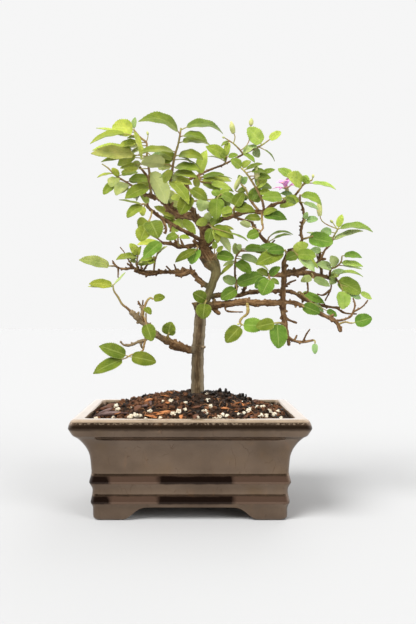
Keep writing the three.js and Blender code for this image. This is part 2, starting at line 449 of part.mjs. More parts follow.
// A closed tube through round sections. Each section is a centre and a radius.
function tube(centres, radii, sides) {
  const vertices = [];
  const triangles = [];
  let side = new THREE.Vector3(0, -1, 0);
  centres.forEach((centre, i) => {
    const before = centres[Math.max(i - 1, 0)];
    const after = centres[Math.min(i + 1, centres.length - 1)];
    const heading = after.clone().sub(before).normalize();
    side = side.clone().addScaledVector(heading, -side.dot(heading));
    if (side.length() < 0.2) side.set(1, 0, 0).addScaledVector(heading, -heading.x);
    side.normalize();
    const up = heading.clone().cross(side);
    for (let k = 0; k < sides; k += 1) {
      const angle = (2 * Math.PI * k) / sides;
      vertices.push(centre.clone()
        .addScaledVector(side, radii[i] * Math.cos(angle))
        .addScaledVector(up, radii[i] * Math.sin(angle)));
    }
  });
  const last = (centres.length - 1) * sides;
  for (let i = 0; i < last; i += sides) {
    for (let k = 0; k < sides; k += 1) {
      const next = (k + 1) % sides;
      triangles.push([i + k, i + next, i + sides + k]);
      triangles.push([i + next, i + sides + next, i + sides + k]);
    }
  }
  for (let k = 1; k < sides - 1; k += 1) {
    triangles.push([0, k + 1, k]);
    triangles.push([last, last + k, last + k + 1]);
  }
  return solidFrom(vertices, triangles);
}

// The pot: rounded rectangles stacked from the feet over the rim to the inner floor.

function rectangleRing(halfWidth, halfDepth, corner, height, sideSteps = 1) {
  const corners = [];
  const quarter = Math.PI / 2;
  for (let turn = 0; turn < 4; turn += 1) {
    const across = turn === 0 || turn === 3 ? halfWidth - corner : corner - halfWidth;
    const back = turn < 2 ? halfDepth - corner : corner - halfDepth;
    for (let k = 0; k <= CORNER_STEPS; k += 1) {
      const angle = quarter * (turn + k / CORNER_STEPS);
      corners.push(new THREE.Vector3(
        across + corner * Math.cos(angle), back + corner * Math.sin(angle), height,
      ));
    }
  }
  return corners.flatMap((spot, index) => {
    const next = corners[(index + 1) % corners.length];
    const steps = index % (CORNER_STEPS + 1) === CORNER_STEPS ? sideSteps : 1;
    return Array.from({ length: steps }, (_, k) => spot.clone().lerp(next, k / steps));
  });
}

function loft(rings) {
  const count = rings[0].length;
  const vertices = rings.flat();
  const triangles = [];
  for (let i = 0; i < rings.length - 1; i += 1) {
    for (let k = 0; k < count; k += 1) {
      const a = i * count + k;
      const b = i * count + ((k + 1) % count);
      triangles.push([a, b, a + count], [b, b + count, a + count]);
    }
  }
  const last = (rings.length - 1) * count;
  for (let k = 1; k < count - 1; k += 1) {
    triangles.push([0, k + 1, k], [last, last + k, last + k + 1]);
  }
  return solidFrom(vertices, triangles);
}

const NARROWER = POT_HALF_WIDTH - POT_HALF_DEPTH;

// Half width at each height, outside: foot, two raised bands, belly, flare and rim.
const OUTER_WALL = [
  [61, 0], [62.4, 1.5], [62.6, 5], [62.3, 9.5], [63.7, 13.8], [63.2, 17.2], [62.9, 20.5],
  [64.3, 25], [63.6, 28.8], [63.8, 35], [64.4, 41], [66.1, 46], [68.9, 50.5],
  [71.8, 53.7], [74.6, 57.3], [76, 60], [POT_HALF_WIDTH, 62.8], [75.6, 64.6],
  [72, POT_HEIGHT],
];

// Half width at each height, inside, from the rim's inner edge down to the floor.
const INNER_WALL = [
  [67.6, POT_HEIGHT], [66.9, 64.8], [65.6, 60], [60.4, 47], [57.8, 31], [57.2, FLOOR_TOP],
];

function innerHalfWidth(height) {
  const upper = INNER_WALL.findLastIndex(([, level]) => level >= height);
  const [wide, top] = INNER_WALL[Math.max(upper, 0)];
  const [narrow, bottom] = INNER_WALL[Math.min(upper + 1, INNER_WALL.length - 1)];
  if (top === bottom) return narrow;
  return narrow + ((wide - narrow) * (height - bottom)) / (top - bottom);
}

// The arch under one pair of sides, from one foot to the next, pushed right through.
function archUnder(halfSpan, throughLength, turned) {
  const narrow = halfSpan - (FOOT_REACH - FOOT_LENGTH);
  const middle = (halfSpan + narrow) / 2;
  const outline = new THREE.Shape();
  outline.moveTo(-halfSpan, -1);
  outline.lineTo(halfSpan, -1);
  outline.lineTo(halfSpan, 0);
  outline.bezierCurveTo(middle, 0, middle, APRON_HEIGHT, narrow, APRON_HEIGHT);
  outline.lineTo(-narrow, APRON_HEIGHT);
  outline.bezierCurveTo(-middle, APRON_HEIGHT, -middle, 0, -halfSpan, 0);
  outline.closePath();
  const points = outline.extractPoints(5).shape.slice(0, -1);
  if (THREE.ShapeUtils.area(points) < 0) points.reverse();
  const near = points.map((p) => (turned
    ? new THREE.Vector3(-throughLength, p.x, p.y) : new THREE.Vector3(p.x, throughLength, p.y)));
  const far = points.map((p) => (turned
    ? new THREE.Vector3(throughLength, p.x, p.y) : new THREE.Vector3(p.x, -throughLength, p.y)));
  const faces = THREE.ShapeUtils.triangulateShape(points, []);
  const count = points.length;
  const triangles = [];
  faces.forEach(([a, b, c]) => {
    triangles.push([a, c, b], [a + count, b + count, c + count]);
  });
  for (let k = 0; k < count; k += 1) {
    const next = (k + 1) % count;
    triangles.push([k, next, k + count], [next, next + count, k + count]);
  }
  return solidFrom([...near, ...far], triangles);
}

// A round post on the line from front to back through the pot's middle.
function upright(x, bottom, top, radius, sides) {
  const ends = [new THREE.Vector3(x, 0, bottom), new THREE.Vector3(x, 0, top)];
  return tube(ends, [radius, radius], sides);
}

function block(x, y, bottom, top, half) {
  const corner = (sx, sy, z) => new THREE.Vector3(x + sx * half, y + sy * half, z);
  const ring = (z) => [corner(-1, -1, z), corner(1, -1, z), corner(1, 1, z), corner(-1, 1, z)];
  return loft([ring(bottom), ring(top)]);
}

function buildPot() {
  const rings = [
    ...OUTER_WALL.map(([half, z]) => rectangleRing(half, half - NARROWER, OUTER_CORNER, z)),
    ...INNER_WALL.map(([half, z]) => rectangleRing(half, half - NARROWER, INNER_CORNER, z)),
  ];
  const foot = OUTER_WALL[0][0];
  let pot = loft(rings)
    .subtract(archUnder(foot - FOOT_LENGTH, POT_HALF_DEPTH + 1, false))
    .subtract(archUnder(foot - NARROWER - FOOT_LENGTH, POT_HALF_WIDTH + 1, true));
  for (const x of [-DRAIN_SPREAD, DRAIN_SPREAD]) {
    pot = pot.subtract(upright(x, APRON_HEIGHT - 1, FLOOR_TOP + 1, DRAIN_RADIUS, DRAIN_SIDES));
  }
  return pot;
}

function buildScreen(x) {
  const bottom = FLOOR_TOP + GAP;
  const top = bottom + SCREEN_THICK;
  let screen = block(x, 0, bottom, top, SCREEN_SIZE / 2);
  for (const across of [-MESH_PITCH, 0, MESH_PITCH]) {
    for (const back of [-MESH_PITCH, 0, MESH_PITCH]) {
      screen = screen.subtract(block(x + across, back, bottom - 1, top + 1, MESH_HOLE / 2));
    }
  }
  return screen;
}

// The soil: a crumbly mound that fills the pot, with a plain hole for the trunk.

// A plain chain of whole numbers that gives the crumbs their uneven heights.
const CHAIN_FACTOR = 16807;
const CHAIN_LIMIT = 2147483647;
let link = RANDOM_START;
function draw() {
  link = (link * CHAIN_FACTOR) % CHAIN_LIMIT;
  return link / CHAIN_LIMIT;
}

function soilHeight(x, y) {
  const spread = Math.hypot(x / MOUND_HALF_WIDTH, y / MOUND_HALF_DEPTH);
  return SOIL_EDGE + MOUND * Math.max(0, 1 - spread ** MOUND_ROUNDNESS);
}

// The rings of the mound go from the pot's rectangle to this oval.
function ovalSpot(index, count) {
  const angle = Math.PI / 4 + (2 * Math.PI * (index - CORNER_STEPS / 2)) / count;
  const half = innerHalfWidth(SOIL_EDGE) - GAP;
  const across = half * Math.cos(angle);
  return new THREE.Vector3(across, (half - NARROWER) * Math.sin(angle), SOIL_EDGE);
}

function buildSoil(trunkX) {
  const ringAt = (z) => {
    const half = innerHalfWidth(z) - GAP;
    return rectangleRing(half, half - NARROWER, INNER_CORNER, z, SOIL_SIDE_STEPS);
  };
  const inside = INNER_WALL.map(([, z]) => z).filter((z) => z > FLOOR_TOP && z < SOIL_EDGE);
  const rings = [FLOOR_TOP + GAP, ...inside.reverse()].map(ringAt);
  const edge = ringAt(SOIL_EDGE);
  SOIL_SHARES.forEach((share, index) => {
    rings.push(edge.map((corner, k) => {
      if (index === 0) return corner;
      const spot = ovalSpot(k, edge.length).lerp(corner, Math.max(0, 2 * share - 1));
      const x = trunkX + (spot.x - trunkX) * share;
      const y = spot.y * share;
      const crumb = CRUMB * (2 * draw() - 1);
      const heaped = x > trunkX + HEAP.start && x < trunkX + HEAP.end && index > HEAP.firstRing;
      const heap = heaped ? HEAP.height * draw() : 0;
      return new THREE.Vector3(x, y, soilHeight(x, y) + crumb + heap);
    }));
  });
  const holeTop = SOIL_EDGE + 2 * MOUND;
  const hole = upright(trunkX, TRUNK_FOOT - GAP, holeTop, HOLE_RADIUS, HOLE_SIDES);
  let soil = loft(rings).subtract(hole);
  const screenTop = FLOOR_TOP + 2 * GAP + SCREEN_THICK;
  for (const x of [-DRAIN_SPREAD, DRAIN_SPREAD]) {
    soil = soil.subtract(block(x, 0, FLOOR_TOP - 1, screenTop, SCREEN_SIZE / 2 + GAP));
  }
  return soil;
}

// The wood: one body of round tubes that swell at their knots.

const traced = new Map();
const TRACE_STEPS = 16;
const WOOD_STEPS = 8;
const STEM_STEPS = 6;

function trace(name, parent, route) {
  const points = [];
  let rootDepth = 0;
  route.forEach(([column, row, lean = 0], index) => {
    if (index === 0 && parent) {
      const nearest = traced.get(parent).reduce((best, spot) => {
        const away = Math.hypot(spot.column - column, spot.row - row);
        return away < best.away ? { away, spot } : best;
      }, { away: Infinity });
      rootDepth = nearest.spot.depth;
      points.push(new THREE.Vector3(nearest.spot.column, nearest.spot.row, rootDepth));
    } else {
      points.push(new THREE.Vector3(column, row, rootDepth + lean * ROUNDNESS));
    }
  });
  const pixelCurve = smoothCurve(points);
  const steps = TRACE_STEPS * (points.length - 1);
  const spots = [];
  for (let i = 0; i <= steps; i += 1) {
    const spot = pixelCurve.getPoint(i / steps);
    spots.push({ column: spot.x, row: spot.y, depth: spot.z });
  }
  traced.set(name, spots);
  return pixelCurve;
}

function alongCurve(pixelCurve, share) {
  const spot = pixelCurve.getPoint(share);
  return place(spot.x, spot.y, spot.z);
}

const obstacles = [];

function addObstacle(owner, centre, radius) {
  obstacles.push({ owner, centre, radius, share: 1 });
}

function woodSections(pixelCurve, segments, thickAt, phase) {
  const centres = [];
  const radii = [];
  let travelled = 0;
  for (let i = 0; i <= segments; i += 1) {
    const centre = alongCurve(pixelCurve, i / segments);
    if (i > 0) travelled += centre.distanceTo(centres[i - 1]);
    const swell = 1 + KNOT_SWELL * Math.sin((2 * Math.PI * travelled) / KNOT_SPACING + phase);
    centres.push(centre);
    radii.push((thickAt(i / segments) / 2) * (i === 0 ? 1 : swell));
  }
  return { centres, radii };
}

function trunkThickness(share) {
  const position = share * (TRUNK_ROUTE.length - 1);
  const index = Math.min(Math.floor(position), TRUNK_ROUTE.length - 2);
  const from = TRUNK_ROUTE[index][3];
  return from + (TRUNK_ROUTE[index + 1][3] - from) * (position - index);
}

function buildWood() {
  const solids = [];
  const swollen = [];
  const grow = (name, parent, route, segments, thickAt, sides) => {
    const pixelCurve = trace(name, parent, route);
    const phase = solids.length;
    const { centres, radii } = woodSections(pixelCurve, segments, thickAt, phase);
    solids.push(tube(centres, radii, sides));
    swollen.push(tube(centres, radii.map((radius) => radius + GAP), sides));
    const fine = segments * WOOD_STEPS;
    for (let i = 0; i <= fine; i += 1) {
      const share = i / fine;
      addObstacle('wood', alongCurve(pixelCurve, share), (thickAt(share) / 2) * (1 + KNOT_SWELL));
    }
  };
  grow('trunk', null, TRUNK_ROUTE, TRUNK_SEGMENTS, trunkThickness, TRUNK_SIDES);
  WOOD.forEach(([name, parent, start, end, route]) => {
    const heavy = start > BRANCH_THICKNESS;
    const segments = heavy ? route.length : route.length - 1;
    const thickAt = (share) => start + (end - start) * share;
    grow(name, parent, route, segments, thickAt, heavy ? BRANCH_SIDES : TWIG_SIDES);
  });
  return { wood: join(solids), skin: join(swollen) };
}

// One leaf: a thin arched blade, folded along its rib, with cut edges and a stalk.

function turnedFace(base, tip, turn) {
  const along = tip.clone().sub(base).normalize();
  const facing = new THREE.Vector3(0, -1, 0).addScaledVector(along, along.y).normalize();
  const upward = along.clone().cross(facing);
  if (upward.z < 0) upward.negate();
  const angle = THREE.MathUtils.degToRad(turn);
  return facing.multiplyScalar(Math.cos(angle)).addScaledVector(upward, Math.sin(angle));
}

function bladePlan(base, tip, face, width, stalk, notch) {
  const along = tip.clone().sub(base);
  const length = along.length();
  along.normalize();
  const normal = face.clone().addScaledVector(along, -face.dot(along)).normalize();
  const across = along.clone().cross(normal);
  return { base, along, normal, across, length, width, stalk, notch };
}

function halfBreadth(plan, share) {
  const blade = (share - plan.stalk) / (1 - plan.stalk);
  if (blade <= 0) return STALK_HALF;
  const fullness = Math.sin(Math.PI * blade ** BREADTH_POWER) ** BREADTH_POWER;
  return Math.max(STALK_HALF, (plan.width / 2) * fullness);
}

function bladePoint(plan, share, sideways, lift) {
  const reach = sideways * (share < 1 ? halfBreadth(plan, share) : 0);
  const arch = ARCH * plan.length * 4 * share * (1 - share);
  return plan.base.clone()
    .addScaledVector(plan.along, plan.length * share)
    .addScaledVector(plan.across, reach)
    .addScaledVector(plan.normal, arch + FOLD * Math.abs(reach) + lift);
}

function toothCount(plan) {
  const blade = plan.length * (1 - plan.stalk);
  if (blade > LONG_BLADE) return 3;
  return blade > MIDDLE_BLADE ? 2 : 1;
}

function edgeSteps(plan) {
  const teeth = toothCount(plan);
  const start = plan.stalk;
  const pitch = (1 - start) / (teeth + TOOTH.rest);
  const steps = start > LONG_STALK ? [[start, 1]] : [];
  for (let k = 0; k < teeth; k += 1) {
    steps.push([start + pitch * (k + TOOTH.peak), 1]);
    steps.push([start + pitch * (k + TOOTH.notch), plan.notch]);
  }
  return steps;
}

// Triangles between one edge of the blade and its rib, from the stalk to the tip.
function stitch(shares, edgeIndex, ribStart, ribCount, tip, flip) {
  const triangles = [];
  let edge = 0;
  let rib = 0;
  while (edge < tip || rib < ribCount - 1) {
    const nextEdge = edge < tip ? shares[edgeIndex(edge + 1)] : Infinity;
    const nextRib = rib < ribCount - 1 ? shares[ribStart + rib + 1] : Infinity;
    const alongEdge = nextEdge <= nextRib;
    const far = alongEdge ? edgeIndex(edge + 1) : ribStart + rib + 1;
    const corner = [edgeIndex(edge), far, ribStart + rib];
    triangles.push(flip ? corner.reverse() : corner);
    if (alongEdge) edge += 1; else rib += 1;
  }
  return triangles;
}

function buildBlade(plan) {
  const steps = edgeSteps(plan);
  const ribs = (toothCount(plan) > 2 ? LONG_RIB_SHARES : RIB_SHARES)
    .map((share) => [plan.stalk + (1 - plan.stalk) * share, 0]);
  const mirrored = steps.map(([share, reach]) => [share, -reach]).reverse();
  const spots = [[0, 0], ...steps, [1, 0], ...mirrored, ...ribs];
  const shares = spots.map(([share]) => share);
  const tip = steps.length + 1;
  const rim = 2 * tip;
  const top = [
    ...stitch(shares, (i) => i, rim, ribs.length, tip, false),
    ...stitch(shares, (i) => (rim - i) % rim, rim, ribs.length, tip, true),
  ];
  const count = spots.length;
  const triangles = [...top, ...top.map(([a, b, c]) => [a + count, c + count, b + count])];
  for (let k = 0; k < rim; k += 1) {
    const next = (k + 1) % rim;
    triangles.push([k, k + count, next], [next, k + count, next + count]);
  }
  const vertices = [BLADE / 2, -BLADE / 2].flatMap((lift) => (
    spots.map(([share, sideways]) => bladePoint(plan, share, sideways, lift))));
  return solidFrom(vertices, triangles);
}

// Points all over a blade, close enough together that nothing passes between them.
function bladeSamples(plan) {
  const samples = [];
  const rows = Math.ceil(plan.length / SAMPLE);
  for (let i = 0; i <= rows; i += 1) {
    const share = i / rows;
    const half = share < 1 ? halfBreadth(plan, share) : 0;
    const columns = Math.max(1, Math.ceil((2 * half) / SAMPLE));
    for (let k = 0; k <= columns; k += 1) {
      samples.push({ share, spot: bladePoint(plan, share, (2 * k) / columns - 1, 0) });
    }
  }
  return samples;
}

function isClear(plan, samples, owner) {
  const middle = plan.base.clone().addScaledVector(plan.along, plan.length / 2);
  const reach = plan.length * REACH_SHARE + plan.width;
  const near = obstacles.filter((thing) => (
    thing.centre.distanceTo(middle) < reach + thing.radius + CLEARANCE));
  return samples.every(({ spot, share }) => near.every((thing) => {
    const own = thing.owner === owner;
    if (own && (share < OWN_FREE || thing.share < OWN_FREE)) return true;
    if (thing.owner === 'wood' && share < WOOD_FREE) return true;
    const apart = (own ? OWN_CLEARANCE : CLEARANCE) * (thing.radius > 0 ? ROUND_KEEP : 1);
    return spot.distanceTo(thing.centre) > thing.radius + apart;
  }));
}

function rememberBlade(plan, owner) {
  bladeSamples(plan).forEach(({ spot, share }) => {
    obstacles.push({ owner, centre: spot, radius: 0, share });
  });
}

// The leafy stems: each is a stem, its leaves bent clear of all that stands by, and buds.

function growLeaf(spray, [along, column, row, lean, width, turn, , stalk = STALK_SHARE]) {
  const root = spray.curve.getPoint(along);
  const base = place(root.x, root.y, root.z);
  for (const shift of SHIFTS) {
    const tip = place(column, row, root.z + lean + shift);
    const plan = bladePlan(base, tip, turnedFace(base, tip, turn), width, stalk, NOTCH);
    if (isClear(plan, bladeSamples(plan), spray.name)) {
      rememberBlade(plan, spray.name);
      return [buildBlade(plan)];
    }
  }
  return [];
}

function growBud(spray, [along, route, width, length]) {
  const root = spray.curve.getPoint(along);
  const spots = [root, ...route.map(([column, row, lean]) => (
    new THREE.Vector3(column, row, root.z + lean)))];
  const curve = smoothCurve(spots.map((spot) => place(spot.x, spot.y, spot.z)));
  const whole = curve.getLength();
  const neck = Math.max(0, 1 - length / whole);
  const centres = [];
  const radii = [];
  const stalkSteps = route.length * 2;
  for (let i = 0; i < stalkSteps; i += 1) {
    centres.push(curve.getPointAt((neck * i) / stalkSteps));
    radii.push(BUD_STALK);
  }
  BUD_FORM.forEach(([share, fullness]) => {
    centres.push(curve.getPointAt(neck + (1 - neck) * share));
    radii.push(Math.max(BUD_STALK, (width / 2) * fullness));
  });
  centres.forEach((centre, i) => addObstacle(spray.name, centre, radii[i]));
  return tube(centres, radii, BUD_SIDES);
}

function startSpray([name, parent, start, end, route, leaves, buds]) {
  const curve = trace(name, parent, route);
  const segments = route.length - 1;
  const centres = [];
  const radii = [];
  for (let i = 0; i <= segments; i += 1) {
    centres.push(alongCurve(curve, i / segments));
    radii.push((start + ((end - start) * i) / segments) / 2);
  }
  const fine = segments * STEM_STEPS;
  for (let i = 0; i <= fine; i += 1) addObstacle(name, alongCurve(curve, i / fine), start / 2);
  const spray = { name, curve, leaves, solids: [tube(centres, radii, STEM_SIDES)] };
  buds.forEach((bud) => spray.solids.push(growBud(spray, bud)));
  return spray;
}

function finishSpray(spray, skin) {
  spray.leaves.forEach((leaf) => spray.solids.push(...growLeaf(spray, leaf)));
  const body = largestBody(join(spray.solids).subtract(skin));
  const tones = spray.leaves.map(([, , , , , , tone]) => new THREE.Color(TONES[tone]));
  if (tones.length === 0) tones.push(new THREE.Color(TONES.bright));
  const colour = new THREE.Color(0, 0, 0);
  tones.forEach((tone) => colour.add(tone));
  colour.multiplyScalar(1 / tones.length);
  return meshFrom(spray.name, body, { colour, roughness: LEAF_ROUGHNESS });
}

// The flower: a green cup with five sepals, five petals above it, and the stamens.

function flowerFrame() {
  const depth = traced.get('right_riser').at(-1).depth - FLOWER_NEARER;
  const axis = new THREE.Vector3(...FLOWER_AXIS).normalize();
  const first = new THREE.Vector3(1, 0, 0).addScaledVector(axis, -axis.x).normalize();
  return { centre: place(...FLOWER_SPOT, depth), axis, first, second: axis.clone().cross(first) };
}

function outward({ first, second }, degrees) {
  const angle = THREE.MathUtils.degToRad(degrees);
  return first.clone().multiplyScalar(Math.cos(angle)).addScaledVector(second, Math.sin(angle));
}

function onAxis(frame, level) {
  return frame.centre.clone().addScaledVector(frame.axis, level);
}

function whorl(frame, { turn, level, rise, reach, width }) {
  const blades = [];
  for (let k = 0; k < FLOWER_PARTS; k += 1) {
    const out = outward(frame, turn + (360 * k) / FLOWER_PARTS);
    const base = onAxis(frame, level);
    const tip = base.clone().addScaledVector(out, reach).addScaledVector(frame.axis, rise);
    const plan = bladePlan(base, tip, frame.axis, width, PETAL_STALK, 1);
    rememberBlade(plan, 'flower');
    blades.push(buildBlade(plan));
  }
  return blades;
}

function turning(frame, { levels, radii }) {
  return tube(levels.map((level) => onAxis(frame, level)), radii, BUD_SIDES);
}

function filament(frame, degrees) {
  const root = onAxis(frame, FILAMENT.root);
  const tip = onAxis(frame, FILAMENT.root + FILAMENT.rise)
    .addScaledVector(outward(frame, degrees), FILAMENT.reach);
  return tube([root, tip], [FILAMENT.radius, FILAMENT.radius], STEM_SIDES);
}

function buildFlower(skin) {
  const frame = flowerFrame();
  const stalkCurve = trace('flower_stalk', 'right_riser', FLOWER_STALK);
  const stalkCentres = [0, 0.5, 1].map((share) => alongCurve(stalkCurve, share));
  const stalk = tube([...stalkCentres, onAxis(frame, CUP.levels[0])], STALK_RADII, STEM_SIDES);
  const green = [stalk, turning(frame, CUP), ...whorl(frame, SEPAL)];
  const coloured = [turning(frame, DISC), ...whorl(frame, PETAL)];
  const middle = [turning(frame, BOSS)];
  for (let k = 0; k < FLOWER_PARTS; k += 1) {
    middle.push(filament(frame, (360 * k) / FLOWER_PARTS));
  }
  return [
    meshFrom('flower_sepals', largestBody(join(green).subtract(skin)), SEPAL_GREEN),
    meshFrom('flower_petals', join(coloured), LAVENDER),
    meshFrom('flower_stamens', join(middle), CREAM),
  ];
}

// The whole object, with the middle of its outline over the origin.

const { wood, skin } = buildWood();
const trunkX = place(TRUNK_ROUTE[2][0], TRUNK_ROUTE[2][1], 0).x;
const flower = buildFlower(skin);
const sprays = SPRAYS.map(startSpray);

const bonsai = new THREE.Group();
bonsai.position.x = POT_OFFSET;
bonsai.add(
  meshFrom('pot', buildPot(), GLAZE),
  meshFrom('soil', buildSoil(trunkX), EARTH),
  meshFrom('drain_screen_left', buildScreen(-DRAIN_SPREAD), SCREEN),
  meshFrom('drain_screen_right', buildScreen(DRAIN_SPREAD), SCREEN),
  meshFrom('trunk_and_branches', wood, BARK),
  ...flower,
  ...sprays.map((spray) => finishSpray(spray, skin)),
);

export default bonsai;
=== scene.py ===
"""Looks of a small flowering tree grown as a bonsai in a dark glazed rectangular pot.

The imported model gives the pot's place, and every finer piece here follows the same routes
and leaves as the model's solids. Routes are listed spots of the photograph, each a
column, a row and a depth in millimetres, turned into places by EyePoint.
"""

from __future__ import annotations

import json
import logging
import math
import random
from dataclasses import dataclass, field, replace
from enum import Enum
from typing import Any, Callable

import bpy
import numpy as np
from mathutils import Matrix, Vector, kdtree, noise

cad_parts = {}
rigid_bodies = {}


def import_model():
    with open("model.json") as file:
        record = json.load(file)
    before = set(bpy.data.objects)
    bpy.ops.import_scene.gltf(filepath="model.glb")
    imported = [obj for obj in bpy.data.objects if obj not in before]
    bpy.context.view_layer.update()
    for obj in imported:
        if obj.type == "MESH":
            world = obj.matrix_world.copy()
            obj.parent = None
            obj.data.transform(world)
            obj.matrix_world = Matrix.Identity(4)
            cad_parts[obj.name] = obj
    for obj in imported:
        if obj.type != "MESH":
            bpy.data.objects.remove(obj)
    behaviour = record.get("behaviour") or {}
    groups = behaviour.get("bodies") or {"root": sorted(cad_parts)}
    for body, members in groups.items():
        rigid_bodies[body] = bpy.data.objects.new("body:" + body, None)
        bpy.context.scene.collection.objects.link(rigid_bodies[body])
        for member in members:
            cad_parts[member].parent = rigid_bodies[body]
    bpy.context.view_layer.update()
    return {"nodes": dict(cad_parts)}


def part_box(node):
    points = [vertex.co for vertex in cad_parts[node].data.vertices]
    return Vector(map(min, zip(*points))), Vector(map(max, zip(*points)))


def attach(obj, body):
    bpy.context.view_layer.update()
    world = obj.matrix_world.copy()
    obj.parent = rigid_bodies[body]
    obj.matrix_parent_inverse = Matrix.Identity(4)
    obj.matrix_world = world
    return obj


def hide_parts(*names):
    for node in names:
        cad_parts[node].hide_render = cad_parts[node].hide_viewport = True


LOG = logging.getLogger("bonsai")
MM = 0.001
ROOT = "root"

Route = list[list[float]]
LimbRow = list[Any]
SprayRow = list[Any]
Colour = tuple[float, float, float]
Stops = tuple[tuple[float, Colour], ...]
Pair = tuple[float, float]

# The way that the pot's front looks.
FRONT = np.array([0.0, -1.0, 0.0])

# Places of a colour mix node's sockets, which share their names with its other kinds.
MIX_SHARE, MIX_FIRST, MIX_SECOND, MIX_RESULT = 0, 6, 7, 2


class Tone(Enum):
    """Colours of leaves, linear red, green and blue. Each leaf's tone is chosen to match how light
    or dark it looks, so besides the leaf's own colour it holds painted light and shade; teal stands
    for a painted sheen of the bright surroundings.
    """

    dark = (0.120, 0.162, 0.017)
    olive = (0.192, 0.254, 0.031)
    bright = (0.372, 0.455, 0.076)
    pale = (0.392, 0.462, 0.165)
    teal = (0.235, 0.340, 0.124)
    green = (0.100, 0.178, 0.020)
    leafy = (0.155, 0.270, 0.034)
    dusty = (0.290, 0.330, 0.095)


@dataclass(frozen=True)
class EyePoint:
    """The photograph's eye point, and how a spot of its frame becomes a place.

    Places are millimetres from the middle of the pot's footprint.
    """

    across: float = 1.2
    height: float = 132.0
    distance: float = 513.5
    column: float = 192.0
    row: float = 314.0
    mm_per_pixel: float = 0.7
    frame_width: float = 416.0
    frame_height: float = 624.0
    sensor: float = 36.0

    def place(self, spots: np.ndarray) -> np.ndarray:
        """Turn spots into places.

        Args:
            spots: Columns, rows and depths, one spot in each line.

        Returns:
            The places in millimetres, one in each line.
        """
        spread = 1 + spots[..., 2] / self.distance
        x = self.across + (spots[..., 0] - self.column) * self.mm_per_pixel * spread
        z = self.height + (self.row - spots[..., 1]) * self.mm_per_pixel * spread
        return np.stack([x, spots[..., 2], z], axis=-1)

    def make_camera(self, bench: Bench) -> None:
        """Add the camera at the eye point, looking straight back along +Y.

        Args:
            bench: Turns places into the frame's metres.
        """
        focal_pixels = self.distance / self.mm_per_pixel
        where = bench.to_frame(np.array([[self.across, -self.distance, self.height]]))[0]
        bpy.ops.object.camera_add(location=where, rotation=(math.pi / 2, 0, 0))
        camera = bpy.context.object
        camera.name = "photo_camera"
        camera.data.sensor_width = self.sensor
        camera.data.lens = self.sensor * focal_pixels / self.frame_height
        camera.data.shift_x = (self.frame_width / 2 - self.column) / self.frame_height
        camera.data.shift_y = (self.row - self.frame_height / 2) / self.frame_height
        camera.data.clip_start = 0.01
        bpy.context.scene.camera = camera


EYE = EyePoint()

# The trunk from its foot up: column, row, depth in mm and thickness in mm.
TRUNK_ROUTE: Route = [
    [197.5, 429, 0, 9.4], [197.5, 400, 0, 9.8], [197.5, 392, 0, 9.3], [197.5, 370, 0, 8.8],
    [198, 350, 0, 8.5], [199.5, 330, 0, 8.4], [200.5, 315, 0, 8.2], [203, 305, 0, 7.4],
    [207, 297, 0, 6.4], [210, 290, 0, 5.8], [213, 282, -1, 5.8], [216, 271, -2, 7],
    [211, 262, -2, 11.6], [206, 255, -2, 10.4], [204, 247, -2, 7.4], [204, 240, -2, 5.8],
    [203, 232, -2, 5.2], [202, 225, -2, 4.8],
]

